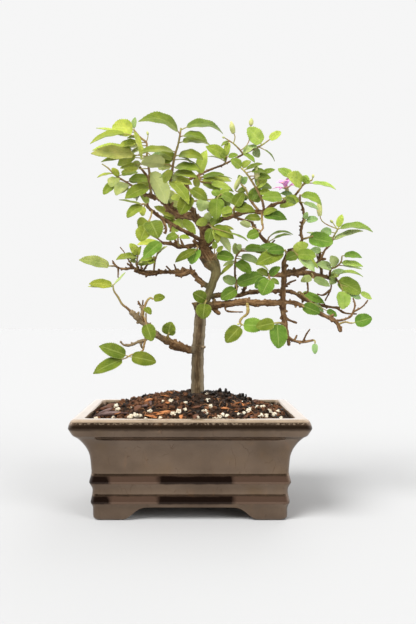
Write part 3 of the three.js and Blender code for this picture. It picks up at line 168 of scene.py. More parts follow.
# The limbs: name, what it grows on, thickness at its start and end in mm, and its route.
# A route's first spot is where it leaves its parent. The third number of the others is the
# depth gained since then in mm, positive away from the front.
LIMB_ROWS: list[LimbRow] = [
    ["pruned_top", "trunk", 6.4, 5.2, [[200, 314], [197.5, 308, 0], [196.5, 302, 0]]],
    ["low_stub", "trunk", 2.6, 2.2, [[199, 348], [205, 347, -3]]],
    ["lower_left", "trunk", 5.6, 4, [[198, 350], [190, 350, -2], [180, 346, -4],
      [170, 342, -6], [160, 337, -8], [152, 331, -10], [146, 325, -11], [140, 320, -12],
      [130, 311, -14]]],
    ["lower_left_upright", "lower_left", 2, 1.3, [[140, 320], [142, 310, 3], [138, 301, 4]]],
    ["lower_left_under", "lower_left", 3, 1.7, [[156, 334], [150, 336, 1], [145, 340, 2],
      [138, 342, 3], [131, 345, 4], [124, 345, 5], [120, 341, 5]]],
    ["mid_left", "trunk", 4.4, 1.5, [[211, 288], [206, 285, 2], [200, 281, 4], [193, 273, 7],
      [188, 271, 9], [180, 272, 11], [170, 272, 13], [160, 272, 15], [150, 272, 16],
      [140, 271, 17], [133, 268, 18], [125, 269, 19], [117, 267, 20], [112, 260, 20]]],
    ["mid_left_spur_a", "mid_left", 1.8, 1.1, [[192, 272], [190, 265, -1]]],
    ["mid_left_spur_c", "mid_left", 1.6, 1.1, [[177, 272], [174, 264, -1]]],
    ["mid_left_spur_e", "mid_left", 1.5, 1, [[134, 268], [128, 259, -1]]],
    ["left_dark", "trunk", 3, 2.2, [[204, 240], [199, 239, -2], [190, 234, -5],
      [180, 229, -8], [170, 223, -10], [160, 217, -12], [150, 209, -14], [146, 204, -15]]],
    ["left_dark_spur_b", "left_dark", 2, 1.8, [[162, 218], [166, 228, -2], [165, 234, -2]]],
    ["left_knotted", "trunk", 3.4, 2.4, [[204, 246], [198, 245, 0], [190, 246, -3],
      [180, 247, -5], [172, 244, -7], [162, 243, -8]]],
    ["left_knotted_spur_a", "left_knotted", 1.8, 1.2, [[184, 247], [180, 238, 1]]],
    ["left_knotted_spur_b", "left_knotted", 2.8, 1.6, [[179, 247], [174, 238, -1]]],
    ["upper_left", "trunk", 6.6, 2.6, [[202, 226], [197, 219, 3], [190, 216, 6],
      [180, 215, 9], [172, 211, 11], [165, 204, 13], [160, 199, 15], [150, 196, 17],
      [142, 193, 18]]],
    ["upper_left_spur", "upper_left", 2.6, 1.4, [[170, 209], [173, 202, -1]]],
    ["upper_left_cut", "upper_left", 2.2, 2, [[160, 199], [152, 187, 2], [146, 175, 4],
      [137, 164, 5]]],
    ["centre_up", "trunk", 3.4, 2.1, [[202, 226], [200, 222, -1], [195, 215, -2],
      [190, 205, -3], [188, 195, -3], [187, 186, -3], [180, 183, -3], [170, 183, -3]]],
    ["centre_up_stub_b", "centre_up", 1.6, 1.2, [[196, 216], [195, 208, -3]]],
    ["long_twig", "centre_up", 2.1, 1.2, [[174, 183], [182, 181.5, 4], [190, 179, 8],
      [200, 174.5, 11], [207, 171, 13], [216, 167.5, 15], [225, 164, 17], [240, 156, 19],
      [258, 147, 21]]],
    ["right_upper", "trunk", 4.3, 2.2, [[204, 230], [213, 223, -5], [222, 219, -9],
      [232, 216, -13], [242, 213, -17], [250, 211, -20], [262, 212, -23], [270, 207, -24],
      [278, 203, -25], [286, 201, -26]]],
    ["right_offshoot", "right_upper", 1.8, 1.4, [[232, 216], [240, 219, 2], [252, 222, 4]]],
    ["dead_piece", "right_offshoot", 1.8, 2.8, [[252, 222], [255, 229, 1], [265, 241, 2],
      [271, 247, 2]]],
    ["knuckle_twig", "trunk", 2.2, 1.2, [[208, 248], [213, 241, -3], [216, 235, -4]]],
    ["lower_right", "trunk", 5.2, 4.4, [[204, 306], [215, 305, -3], [225, 304, -5],
      [235, 303, -6], [245, 302, -7], [255, 303, -8], [265, 303, -9], [275, 303, -10],
      [284, 302, -10]]],
    ["lower_right_knob", "lower_right", 3.2, 2, [[247, 302], [246, 298, -1]]],
    ["lower_right_hair", "lower_right", 1.6, 1, [[225, 305], [227, 311, -1], [243, 312, -2]]],
    ["lower_right_reach", "lower_right", 3.2, 2.6, [[284, 302], [295, 303, -1],
      [303, 306, -2], [317, 312, -3], [325, 316, -4], [332, 319, -5], [337, 323, -5],
      [341, 332, -6]]],
    ["reach_fork", "lower_right_reach", 1.6, 1.1, [[335, 321], [342, 320, 2], [350, 317, 4],
      [353, 312, 5], [355, 305, 6], [353, 298, 6]]],
    ["reach_twig", "reach_fork", 1.3, 0.9, [[353, 312], [362, 307, 1], [368, 300, 2]]],
    ["riser_low", "lower_right", 4.6, 2.2, [[283, 302], [283, 312, 0], [285, 322, -1],
      [286, 330, -2], [288, 338, -2], [289, 346, -2]]],
    ["riser_low_side", "riser_low", 2, 1.6, [[285, 316], [289, 320, -1], [297, 323, -2]]],
    ["riser_foot", "riser_low", 2.2, 1.6, [[288, 338], [295, 341, -1], [303, 342, -2],
      [314, 340, -3]]],
    ["riser_foot_twig", "riser_foot", 1.4, 1, [[303, 342], [306, 335, -1], [310, 329, -2]]],
    ["riser", "lower_right", 4.2, 2.2, [[283, 302], [283, 290, -1], [284, 280, -2],
      [284, 270, -2], [284, 262, -2], [287, 255, -2], [290, 250, -2], [295, 250, -2]]],
    ["riser_side", "riser", 1.8, 1.3, [[284, 288], [289, 283, 2], [296, 280, 3]]],
    ["right_middle", "riser", 4.6, 2.2, [[284, 274], [292, 273, 3], [300, 273, 7],
      [310, 273, 11], [316, 275, 14], [322, 276, 16], [330, 278, 19], [335, 277, 21],
      [340, 272, 22]]],
    ["right_middle_limb", "right_middle", 3, 2.4, [[294, 273], [302, 269, -3],
      [310, 266, -4]]],
    ["right_middle_stub", "riser", 3.8, 2.4, [[284, 275], [274, 275, -2], [262, 274, -4]]],
    ["right_middle_hang", "right_middle", 1.5, 1.1, [[306, 273], [308, 290, -4],
      [304, 294, -5]]],
    ["right_fork", "right_middle", 2.2, 1.7, [[322, 276], [321, 268, -3], [319, 262, -5],
      [322, 257, -7]]],
    ["right_fork_dark", "right_fork", 1.6, 1.2, [[321, 268], [317, 263, -2], [311, 264, -3]]],
    ["right_end_hang", "right_middle", 1.5, 1, [[330, 278], [331, 288, -3], [325, 301, -5]]],
    ["right_riser", "riser", 2.2, 1.7, [[294, 250], [299, 246, -1], [302, 240, -1],
      [301, 233, -2], [302, 225, -3], [304, 217, -3], [303, 209, -4], [300, 202, -4],
      [293, 196, -5]]],
    ["middle_right", "trunk", 3.8, 1.9, [[208, 297], [222, 295, 2], [238, 295.5, 5],
      [245, 293.5, 7], [258, 291.5, 9], [275, 291, 10], [290, 291.5, 10], [297, 294.5, 10],
      [303, 298.5, 9], [312, 303, 9], [320, 305, 9], [330, 307, 9], [340, 308, 9]]],
    ["middle_right_rise", "middle_right", 3.6, 2, [[234, 294], [236, 289, -1],
      [236, 283, -1]]],
    ["middle_right_cut", "middle_right", 2.6, 2.4, [[241, 292], [246, 285, -1]]],
    ["middle_right_end", "middle_right", 1.6, 1.1, [[336, 307], [345, 313, -2],
      [357, 314, -3]]],
    ["up_twig", "middle_right_rise", 1.9, 1.3, [[236, 284], [235, 275, -1], [235, 268, -2],
      [235, 262, -2]]],
]

# The leafy stems: name, parent, thickness at start and end, and route, as for a limb, then
# the leaves, each with the numbers of a LeafRow, and the buds, as plan_bud takes them.
SPRAY_ROWS: list[SprayRow] = [
    ["crown", "centre_up", 2.1, 1.2, [[170, 183], [172, 172, -2], [173, 165, -3],
      [175, 155, -4], [178, 145, -5], [180, 135, -6], [181, 128, -6]], [
        [0.85, 139, 119.5, -8, 12.5, 42, "dark", 0.08, 0.2],
        [0.95, 223.5, 132, 6, 11, 48, "dark", 0.12, 0.17],
        [0.8, 207, 140, -6, 8.5, 45, "dark", 0.15, 0.12],
        [0.7, 210, 144, 5, 9, 48, "olive", 0.12, 0.1],
        [0.48, 203, 158, -5, 10, 44, "olive", 0.15, 0.09],
        [0.28, 199, 170, -8, 9.5, 44, "olive", 0.12, 0.06],
        [0.15, 197, 177, -10, 7, 35, "olive", 0.12, 0.06],
        [0.55, 139, 152, -10, 9, 50, "olive", 0.08, 0.06],
        [0.32, 141, 161, -8, 11, 130, "pale", 0.25, 0.03],
        [0.45, 150, 157, 10, 7, 20, "teal", 0.4],
        [0.42, 160, 152, 8, 9, 30, "olive", 0.05],
        [0.1, 160, 176, 6, 7, 40, "olive"],
    ], []],
    ["upper_left_riser", "upper_left", 2, 1.1, [[152, 196], [150, 185, -2], [149, 170, -4],
      [147, 158, -5], [147, 147, -6], [146, 142, -6], [140, 137, -7], [134, 130, -8]], [
        [1, 112, 127, -3, 12.5, 5, "bright", 0.05, 0.05],
        [0.96, 96, 127, 6, 6.5, 62, "bright", 0.1, -0.04],
        [0.72, 90, 143, -8, 8.5, 50, "olive", 0.4, 0.17],
        [0.5, 92, 148, 3, 9, 40, "bright", 0.28, 0.03],
        [0.45, 91, 153, -9, 13, 35, "dusty", 0.25, 0.02],
        [0.2, 130, 179, -5, 8, 30, "olive", 0.12, 0.03],
        [0.28, 168, 204, -12, 13, 150, "dusty", 0.06],
        [0.13, 125, 198, -10, 10, 20, "olive"],
    ], []],
    ["upper_left_tip", "upper_left", 1.9, 0.9, [[142, 193], [131, 185, 2], [121, 179, 3],
      [114, 174, 4], [108, 168, 5], [102, 164, 5]], [
        [0.5, 111, 187, -5, 9, 20, "pale"],
        [0.45, 112, 168, 3, 5, 20, "bright"],
        [0.4, 103, 194, -5, 7, 20, "olive", 0.3],
        [0.28, 116, 194, -8, 9, 15, "pale"],
    ], []],
    ["left_dark_tip", "left_dark", 1.5, 1, [[147, 205], [144, 204, -3], [142, 204, -5]], [
        [1, 119, 199, -3, 4, 68, "dark", 0.05, -0.02],
        [0.6, 127, 217, -6, 7.5, 28, "olive", 0.12, 0.04],
    ], []],
    ["left_round", "left_dark", 1.3, 0.9, [[152, 211], [151, 216, -4], [149, 221, -7],
      [147, 226, -9]], [
        [0.6, 139, 229, -4, 10, 12, "olive"],
        [1, 140, 241, -3, 10, 15, "olive", 0.05, 0.03],
        [0.6, 158, 237, -6, 12, 15, "dark"],
    ], []],
    ["left_knot_leaves", "left_knotted", 1.4, 0.9, [[179, 247], [178, 241, -5], [178, 235, -7]], [
        [1, 166, 239, -2, 5.5, 15, "olive", 0.05, 0.03],
    ], []],
    ["upper_left_back", "upper_left", 1.6, 1, [[182, 215], [180, 219, 8], [176, 221, 12]], [
        [1, 162, 206, 4, 10, 20, "bright"],
        [0.7, 188, 226, 3, 8, 20, "pale"],
        [0.35, 196, 234, 1, 6.5, 15, "bright"],
        [0.9, 168, 226, 6, 7, 20, "bright"],
    ], []],
    ["mid_left_fan", "mid_left", 1.3, 0.9, [[137, 270], [137, 262, -4], [138, 255, -6]], [
        [0.85, 116, 259, -5, 8.5, 55, "olive", 0.02, 0.06],
        [1, 130, 243.5, -3, 6, 20, "bright", 0.05],
    ], []],
    ["mid_left_tip", "mid_left", 1.4, 1, [[116, 266], [112, 266, -3], [109, 266, -4]], [
        [0.85, 79, 259.5, -6, 9.5, 35, "dusty", 0.02, 0.05],
    ], []],
    ["mid_left_upright", "mid_left", 1.6, 0.9, [[154, 272], [155, 261, -5], [158, 252, -8],
      [162, 242, -10]], [
        [1, 143, 258, -4, 9.5, 20, "leafy", 0.05],
        [0.35, 148, 263, -3, 5, 30, "olive"],
        [0.95, 137, 244, 3, 6, 40, "bright"],
    ], []],
    ["left_twin", "left_knotted", 1.5, 1.1, [[196, 245], [198, 247, -6], [196, 250, -9]], [
        [0.7, 191, 264, -4, 9, 20, "leafy", 0.05],
        [1, 175, 262, -4, 6, 25, "dark", 0.05],
    ], []],
    ["lower_left_tip", "lower_left", 1.8, 1, [[131, 312], [127, 308, -1], [122, 304, -2],
      [118, 297, -3], [114, 291, -4], [113, 285, -5]], [
        [1, 89, 283, -3, 7, 32, "olive", 0.04, 0],
    ], []],
    ["lower_left_reach", "lower_left", 1.9, 1.2, [[144, 323], [143, 314, -4], [146, 303, -4],
      [150, 298, -3], [153, 299, -3]], [
        [1, 165, 297, -2, 5.5, 20, "dark", 0.05, 0.03],
        [0.4, 151, 314, -5, 4.5, 25, "dark", 0.1, 0.02],
        [0.25, 152, 341, -5, 9, 5, "dark", 0.4],
    ], []],
    ["lower_left_bright", "lower_left", 1.5, 1.1, [[168, 341], [168, 336, -4], [169, 333, -6]], [
        [0.6, 171, 322, -3, 9.5, 10, "dark", 0.02],
    ], []],
    ["lower_left_drop", "lower_left_under", 1.6, 1, [[146, 340], [144, 345, -2], [143, 350, -3],
      [138, 353, -4], [131, 355, -5], [126, 358, -5]], [
        [0.9, 99, 346, -4, 9.5, 20, "dark", 0.1],
        [1, 93, 373, -7, 8.5, 20, "dark"],
        [0.9, 156, 362, -2, 9.5, 18, "dark", 0.12],
    ], []],
    ["trunk_front", "trunk", 1.6, 1.1, [[206, 300], [206, 301, -6], [205, 303, -8]], [
        [0.3, 193, 293, -2, 9, 15, "dark", 0.03],
        [1, 203, 319, -2, 10.5, 10, "dark", 0.05],
    ], []],
    ["middle_right_fork", "middle_right_rise", 1.7, 1.1, [[236, 285], [236, 284, -4],
      [237, 289, -8]], [
        [0.5, 223, 277, 3, 7, 20, "teal", 0.05, 0.03],
        [1, 221, 299, -2, 8.8, 15, "green", 0.05],
        [0.5, 264, 274, -3, 9.5, 15, "leafy", 0.04, 0.03],
    ], []],
    ["right_stub_leaves", "right_middle_stub", 1.6, 1.1, [[268, 275], [269, 277, -4],
      [270, 279, -7]], [
        [1, 262, 295, -3, 10.5, 15, "green", 0.05],
        [0.6, 255, 288, 2, 7, 20, "green"],
        [0.35, 280, 267, -4, 5.5, 25, "green"],
    ], []],
    ["up_twig_leaves", "up_twig", 1.5, 0.9, [[235, 263], [236, 257, -2], [238, 254, -3],
      [242, 249, -4]], [
        [1, 266, 250, -3, 7, 38, "leafy"],
        [0.9, 269, 251, -5, 3.5, 45, "bright", 0.55],
        [0.45, 259, 261, -2, 5.5, 20, "pale", 0.2],
        [0.1, 251, 273, -4, 8, 20, "leafy", 0.1],
        [0.4, 235, 243, -3, 5, 10, "pale"],
    ], []],
    ["riser_top_left", "riser", 1.6, 1.1, [[287, 255], [286, 252, -5], [285, 250, -7]], [
        [0.9, 256, 264, -4, 10, 20, "olive", 0.08, 0],
        [1, 267, 251, -2, 6.5, 20, "green", 0.04, 0],
    ], []],
    ["hanging_twig", "lower_right", 2.4, 1.2, [[247, 303], [248, 309, -3], [247, 314, -4],
      [242, 318, -5], [240, 322, -6], [242, 325, -7]], [
        [1, 265, 326, -4, 10, 15, "leafy", 0.06, 0],
        [0.98, 226, 342, -5, 10, 20, "dark", 0.12, -0.02],
    ], []],
    ["riser_low_leaves", "riser_low", 1.8, 1.2, [[285, 325], [280, 323, -4], [275, 323, -7]], [
        [0.8, 279, 348, -5, 12, 10, "green", 0.05, 0],
        [1, 256, 327, 0, 8.5, 20, "dark", 0.03, 0],
    ], []],
    ["riser_foot_leaf", "riser_foot", 1.2, 0.9, [[313, 340], [315, 341, -2], [315, 343, -3]], [
        [1, 315, 354, -1, 4, 15, "teal", 0.05],
    ], []],
    ["lower_right_leaf", "lower_right_reach", 1.5, 1, [[302, 305], [303, 306, -4],
      [304, 307, -5]], [
        [0.3, 320, 313, -3, 8, 15, "green", 0.02, 0],
    ], []],
    ["middle_right_bright", "middle_right", 1.5, 1, [[297, 294], [300, 292, -4], [305, 297, -6],
      [312, 303, -7]], [
        [0.4, 325, 303, -4, 6.5, 25, "leafy", 0.06, 0],
        [0.97, 337, 316, -5, 5, 30, "leafy", 0.6, 0],
    ], []],
    ["lower_right_end", "lower_right_reach", 1.5, 1, [[338, 324], [345, 322, -2],
      [350, 323, -3], [353, 323, -3]], [
        [1, 372, 318, -3, 9, 20, "green", 0.1, 0],
    ], []],
    ["right_end_drop", "right_middle", 1.7, 1, [[335, 277], [337, 280, -5], [340, 284, -7],
      [342, 289, -8]], [
        [0.4, 361, 293, -4, 11.5, 15, "olive", 0.02],
        [1, 343, 309, -3, 10.5, 15, "bright"],
        [0.9, 361, 299, 1, 5, 20, "teal", 0.35, 0],
    ], []],
    ["right_middle_teal", "right_middle", 1.4, 1, [[311, 273], [313, 276, -4], [313, 278, -5]], [
        [1, 330, 286, -3, 6, 25, "pale", 0.05, 0],
        [0.9, 301, 281, -2, 5.5, 25, "pale"],
    ], []],
    ["right_end_fan", "right_middle", 1.7, 1, [[329, 278], [331, 269, -5], [336, 267, -7],
      [341, 262, -9], [342, 256, -10]], [
        [1, 362, 257, -3, 6, 38, "leafy", 0.1, 0.11],
        [0.5, 331, 256, -5, 7, 10, "pale"],
        [0.35, 317, 264, -5, 6.5, 20, "pale", 0.12, 0.03],
        [0.72, 363, 266, -5, 6, 45, "bright", 0.05, 0.02],
        [0.02, 363, 275, -6, 4.5, 58, "bright", 0.1, 0.14],
    ], []],
    ["far_right_top", "right_fork", 1.7, 1, [[322, 258], [325, 250, -2], [331, 244, -4],
      [334, 236, -5], [338, 229, -6]], [
        [1, 373, 231, -6, 9, 56, "olive", 0.06, 0.12],
        [0.62, 363, 230, -4, 6, 55, "pale", 0.05, 0.05],
        [1, 342, 214, 2, 4.8, 25, "bright", 0.12, 0],
        [0.85, 321, 231, -3, 5.5, 15, "teal", 0.3],
    ], [
        [1, [[330, 226, -1], [323, 222, -2], [320, 216, -3], [319, 199, -3]], 4, 11.5],
    ]],
    ["riser_top_right", "riser", 1.8, 1.1, [[292, 250], [294, 252, -4], [297, 255, -6]], [
        [0.3, 308, 244, -4, 7.5, 18, "bright", 0.03, 0.03],
        [0.9, 316, 256, -3, 8, 15, "olive", 0.05],
        [1, 286, 259, -3, 7, 20, "dark", 0.05],
        [1, 315, 271, -3, 6.5, 20, "pale"],
    ], []],
    ["right_riser_leaf", "right_riser", 1.6, 1, [[302, 239], [307, 238, -3], [313, 236, -5]], [
        [0.6, 333, 243, -4, 11, 18, "leafy", 0.03, 0],
    ], []],
    ["right_riser_top", "right_riser", 1.6, 1.1, [[300, 202], [300, 198, -4], [300, 195, -6]], [
        [1, 322, 204, -4, 7.5, 35, "olive", 0.05, 0.14],
        [0.6, 280, 207, -4, 8, 22, "olive", 0.1],
    ], []],
    ["right_riser_teal", "right_riser", 1.3, 0.9, [[302, 226], [304, 223, -4], [305, 221, -5]], [
        [1, 307, 212, -2, 3.5, 25, "teal", 0.2],
        [1, 318, 219, -2, 5, 25, "teal"],
    ], []],
    ["right_upper_tip", "right_upper", 1.6, 1, [[283, 202], [284, 199, -4], [283, 198, -5]], [
        [1, 262, 198, -3, 8, 25, "olive", 0.05],
    ], []],
    ["flower_shoot", "right_riser", 1.7, 1, [[294, 197], [297, 193, -2], [300, 189, -3],
      [303, 185, -4], [308, 182, -5], [312, 180, -5]], [
        [0.6, 288, 175, -3, 10, 12, "bright", 0.16],
        [0.6, 307, 175.5, -5, 7, 15, "bright", 0.28],
        [0.72, 336, 188, -4, 5, 50, "bright", 0.2, 0.06],
    ], []],
    ["centre_front", "centre_up", 1.5, 1.1, [[189, 203], [190, 199, -8], [191, 194, -11],
      [190, 189, -12]], [
        [0.6, 180, 214, -3, 10, 10, "dark", 0.05],
        [1, 207, 200, -3, 8, 25, "dark", 0.05],
        [0.8, 202, 198, 3, 6, 20, "bright"],
    ], []],
    ["long_twig_near", "long_twig", 1.6, 1, [[198, 172], [199, 178, -4], [201, 182, -6]], [
        [0.3, 206, 150, -5, 8, 20, "bright", 0.12],
        [0.6, 224, 174, -4, 5, 40, "olive", 0.15],
        [1, 231, 189, -4, 6, 30, "bright", 0.35],
    ], []],
    ["long_twig_middle", "long_twig", 1.5, 1, [[225, 164], [226, 160, -4], [227, 157, -6]], [
        [0.9, 206, 146, -3, 8.5, 15, "olive", 0.06],
    ], []],
    ["long_twig_tip", "long_twig", 1.4, 0.9, [[257, 148], [262, 145, -1], [269, 140, -2]], [
        [0.5, 248, 127.5, -3, 11.5, 12, "bright", 0.08, 0.02],
        [1, 281, 131.5, -1, 6, 18, "bright", 0.05, 0],
    ], []],
    ["long_twig_buds", "long_twig", 1.4, 0.9, [[243, 155], [240, 150, -3], [234, 144, -5],
      [228, 140, -6]], [
    ], [
        [0.7, [[235, 137, -1], [233, 131, -1], [231, 121, -1]], 4.2, 9],
        [0.3, [[247, 145, 2], [250, 136, 4], [251.5, 118, 5]], 3.6, 5.5],
    ]],
    ["red_twig", "centre_up", 1.4, 0.9, [[189, 202], [203, 200, -6], [215, 199, -8],
      [221, 194, -9]], [
        [0.4, 200, 211, -3, 9, 10, "pale", 0.05],
        [0.72, 229, 190, -2, 6, 30, "olive", 0.05],
        [0.78, 216, 219, -4, 10.5, 10, "olive", 0.05],
        [1, 237, 204, -2, 8, 30, "olive", 0.05],
    ], []],
    ["right_upper_leaves", "right_upper", 1.6, 1, [[234, 215], [234, 211, -4], [234, 208, -6]], [
        [0.6, 222, 216, 1, 5.5, 20, "bright"],
        [0.9, 255, 211, -4, 7.5, 30, "dark", 0.06],
        [1, 243, 193, -2, 8, 20, "dark"],
    ], []],
    ["fork_left", "right_upper", 1.8, 1.1, [[260, 212], [254, 205, 2], [249, 198, 4],
      [246, 190, 5], [241, 184, 6]], [
        [0.3, 259, 187, -5, 9.5, 15, "olive"],
        [0.6, 238, 200, -5, 7, 20, "dark"],
    ], []],
    ["fork_right", "right_upper", 1.8, 1.1, [[264, 211], [262, 200, -2], [257, 190, -3],
      [251, 180, -4], [246, 173, -5], [241, 168, -5]], [
        [1, 231, 159, -2, 6.5, 20, "olive", 0.03],
        [0.7, 271, 178, -3, 5, 25, "dark", 0.35],
        [0.45, 267, 180, -4, 5, 20, "bright"],
        [0.35, 271, 193, -3, 5, 25, "olive"],
    ], []],
    ["leader_leaves", "trunk", 1.8, 1.1, [[204, 227], [208, 224, -7], [211, 226, -10],
      [214, 229, -12]], [
        [0.3, 209, 212, 2, 6, 20, "pale"],
        [0.55, 219, 218, -4, 5.5, 25, "olive", 0.05],
        [0.85, 208, 243, -2, 7, 15, "dark", 0.05],
        [0.8, 234, 238, -3, 8, 20, "olive", 0.05],
        [1, 231, 252, -6, 6.5, 140, "pale", 0.06],
    ], []],
    ["knuckle_leaf", "trunk", 1.8, 1.1, [[212, 259], [215, 256, -7], [216, 254, -9]], [
        [0.7, 234, 258, -3, 7.5, 15, "green", 0.05],
    ], []],
    ["down_twig", "right_upper", 1.6, 1, [[262, 212], [262, 222, -4], [263, 228, -5],
      [260, 232, -6]], [
        [0.1, 287, 219, -3, 7.5, 25, "green", 0.08, 0.1],
        [0.2, 245, 218, -5, 5.5, 28, "dark", 0.1, 0.03],
        [0.9, 240, 222, -2, 4.5, 140, "pale", 0.5, 0],
        [1, 247, 237, -2, 6.5, 10, "green", 0.12, 0],
    ], []],
    ["dead_tip", "dead_piece", 1.3, 0.9, [[268, 244], [268, 240, -3], [269, 237, -4]], [
        [1, 293, 234, -4, 3.5, 62, "dark", 0.03, 0.16],
    ], []],
]

# Fine spurs and small leaves that stand between the model's own.
SPUR_ROWS: list[LimbRow] = [
    ["lower_left_small", "lower_left", 1.6, 1.1, [[146, 325], [146, 313, 3]]],
    ["lower_left_spur_a", "lower_left", 1.7, 1.2, [[177, 345], [174, 339, -1]]],
    ["lower_left_spur_b", "lower_left", 1.8, 1.2, [[184, 348], [179, 341, 1]]],
    ["mid_left_spur_b", "mid_left", 1.7, 1.1, [[188, 271], [182, 267, -1]]],
    ["mid_left_spur_d", "mid_left", 1.6, 1.1, [[172, 272], [166, 266, 0]]],
    ["mid_left_spur_f", "mid_left", 1.5, 1, [[143, 271], [148, 263, -1], [149, 258, -2]]],
    ["mid_left_hang", "mid_left", 1.3, 0.9, [[118, 268], [118, 278, -1]]],
    ["left_dark_spur_a", "left_dark", 1.6, 1.1, [[171, 224], [170, 232, -1]]],
    ["centre_up_stub_a", "centre_up", 2, 1.6, [[193, 211], [188, 209, -1]]],
    ["dead_twig", "dead_piece", 1.4, 1, [[270, 245], [275, 240, -1]]],
    ["riser_foot_spur", "riser_foot", 1.4, 1.1, [[294, 341], [297, 335, 1]]],
    ["right_fork_thin", "right_fork", 1.3, 1, [[319, 262], [317, 255, 2], [319, 250, 3]]],
    ["up_twig_side", "up_twig", 1.3, 0.9, [[235, 264], [241, 261, 1], [244, 258, 2]]],
    ["mid_left_spur_g", "mid_left_spur_e", 1.1, 0.8, [[128, 259], [124, 252, -1], [120, 247, -1]]],
    ["mid_left_spur_h", "mid_left", 2, 1.3, [[133, 268], [127, 263, -2]]],
    ["mid_left_spur_i", "mid_left", 2, 1.3, [[139, 270], [136, 263, -2]]],
    ["mid_left_spur_j", "mid_left", 1.8, 1.2, [[142, 271], [141, 264, 1]]],
    ["mid_left_burl_a", "mid_left", 3, 2.6, [[190, 273], [182, 275, 0], [175, 275, 0]]],
    ["mid_left_burl_b", "mid_left", 2.6, 2, [[160, 273], [150, 274.5, 0], [141, 273, 0],
      [134, 270.5, 0]]],
    ["lower_left_burl", "lower_left", 3.2, 3, [[189, 352], [180, 349.5, 0], [169, 346, 0]]],
    ["lower_left_fork", "lower_left_upright", 1.4, 1.1, [[142, 310], [143, 300, 1]]],
    ["lower_right_stub", "lower_right", 3.8, 2.4, [[211, 306], [216, 311, -1], [220, 314, -2]]],
    ["lower_right_nub", "lower_right", 2.4, 2, [[212, 304], [215, 299, -1]]],
    ["right_fork_knob", "right_fork", 2.6, 1.6, [[319, 262], [320, 255, 0], [319, 249, 1]]],
    ["right_fork_nub", "right_fork", 2, 1.4, [[320, 259], [326, 259, -1]]],
    ["hang_side", "right_end_hang", 1.5, 1.1, [[330, 290], [323, 295, 0], [317, 294, 1]]],
    ["knotted_twig", "left_knotted", 1.2, 0.9, [[163, 243], [158, 239, -1], [151, 235, -2]]],
    ["reach_nub", "lower_right_reach", 2, 1.4, [[329, 318], [334, 314, -1]]],
    ["left_knotted_burl", "left_knotted", 3.4, 2.8, [[198, 246], [193, 240, 0]]],
    ["knuckle_burl", "trunk", 3, 2.2, [[207, 250], [213, 247, 0]]],
    ["lower_left_knob", "lower_left_under", 1.6, 1.2, [[143, 341], [141, 345, 0], [143, 349, 1]]],
]

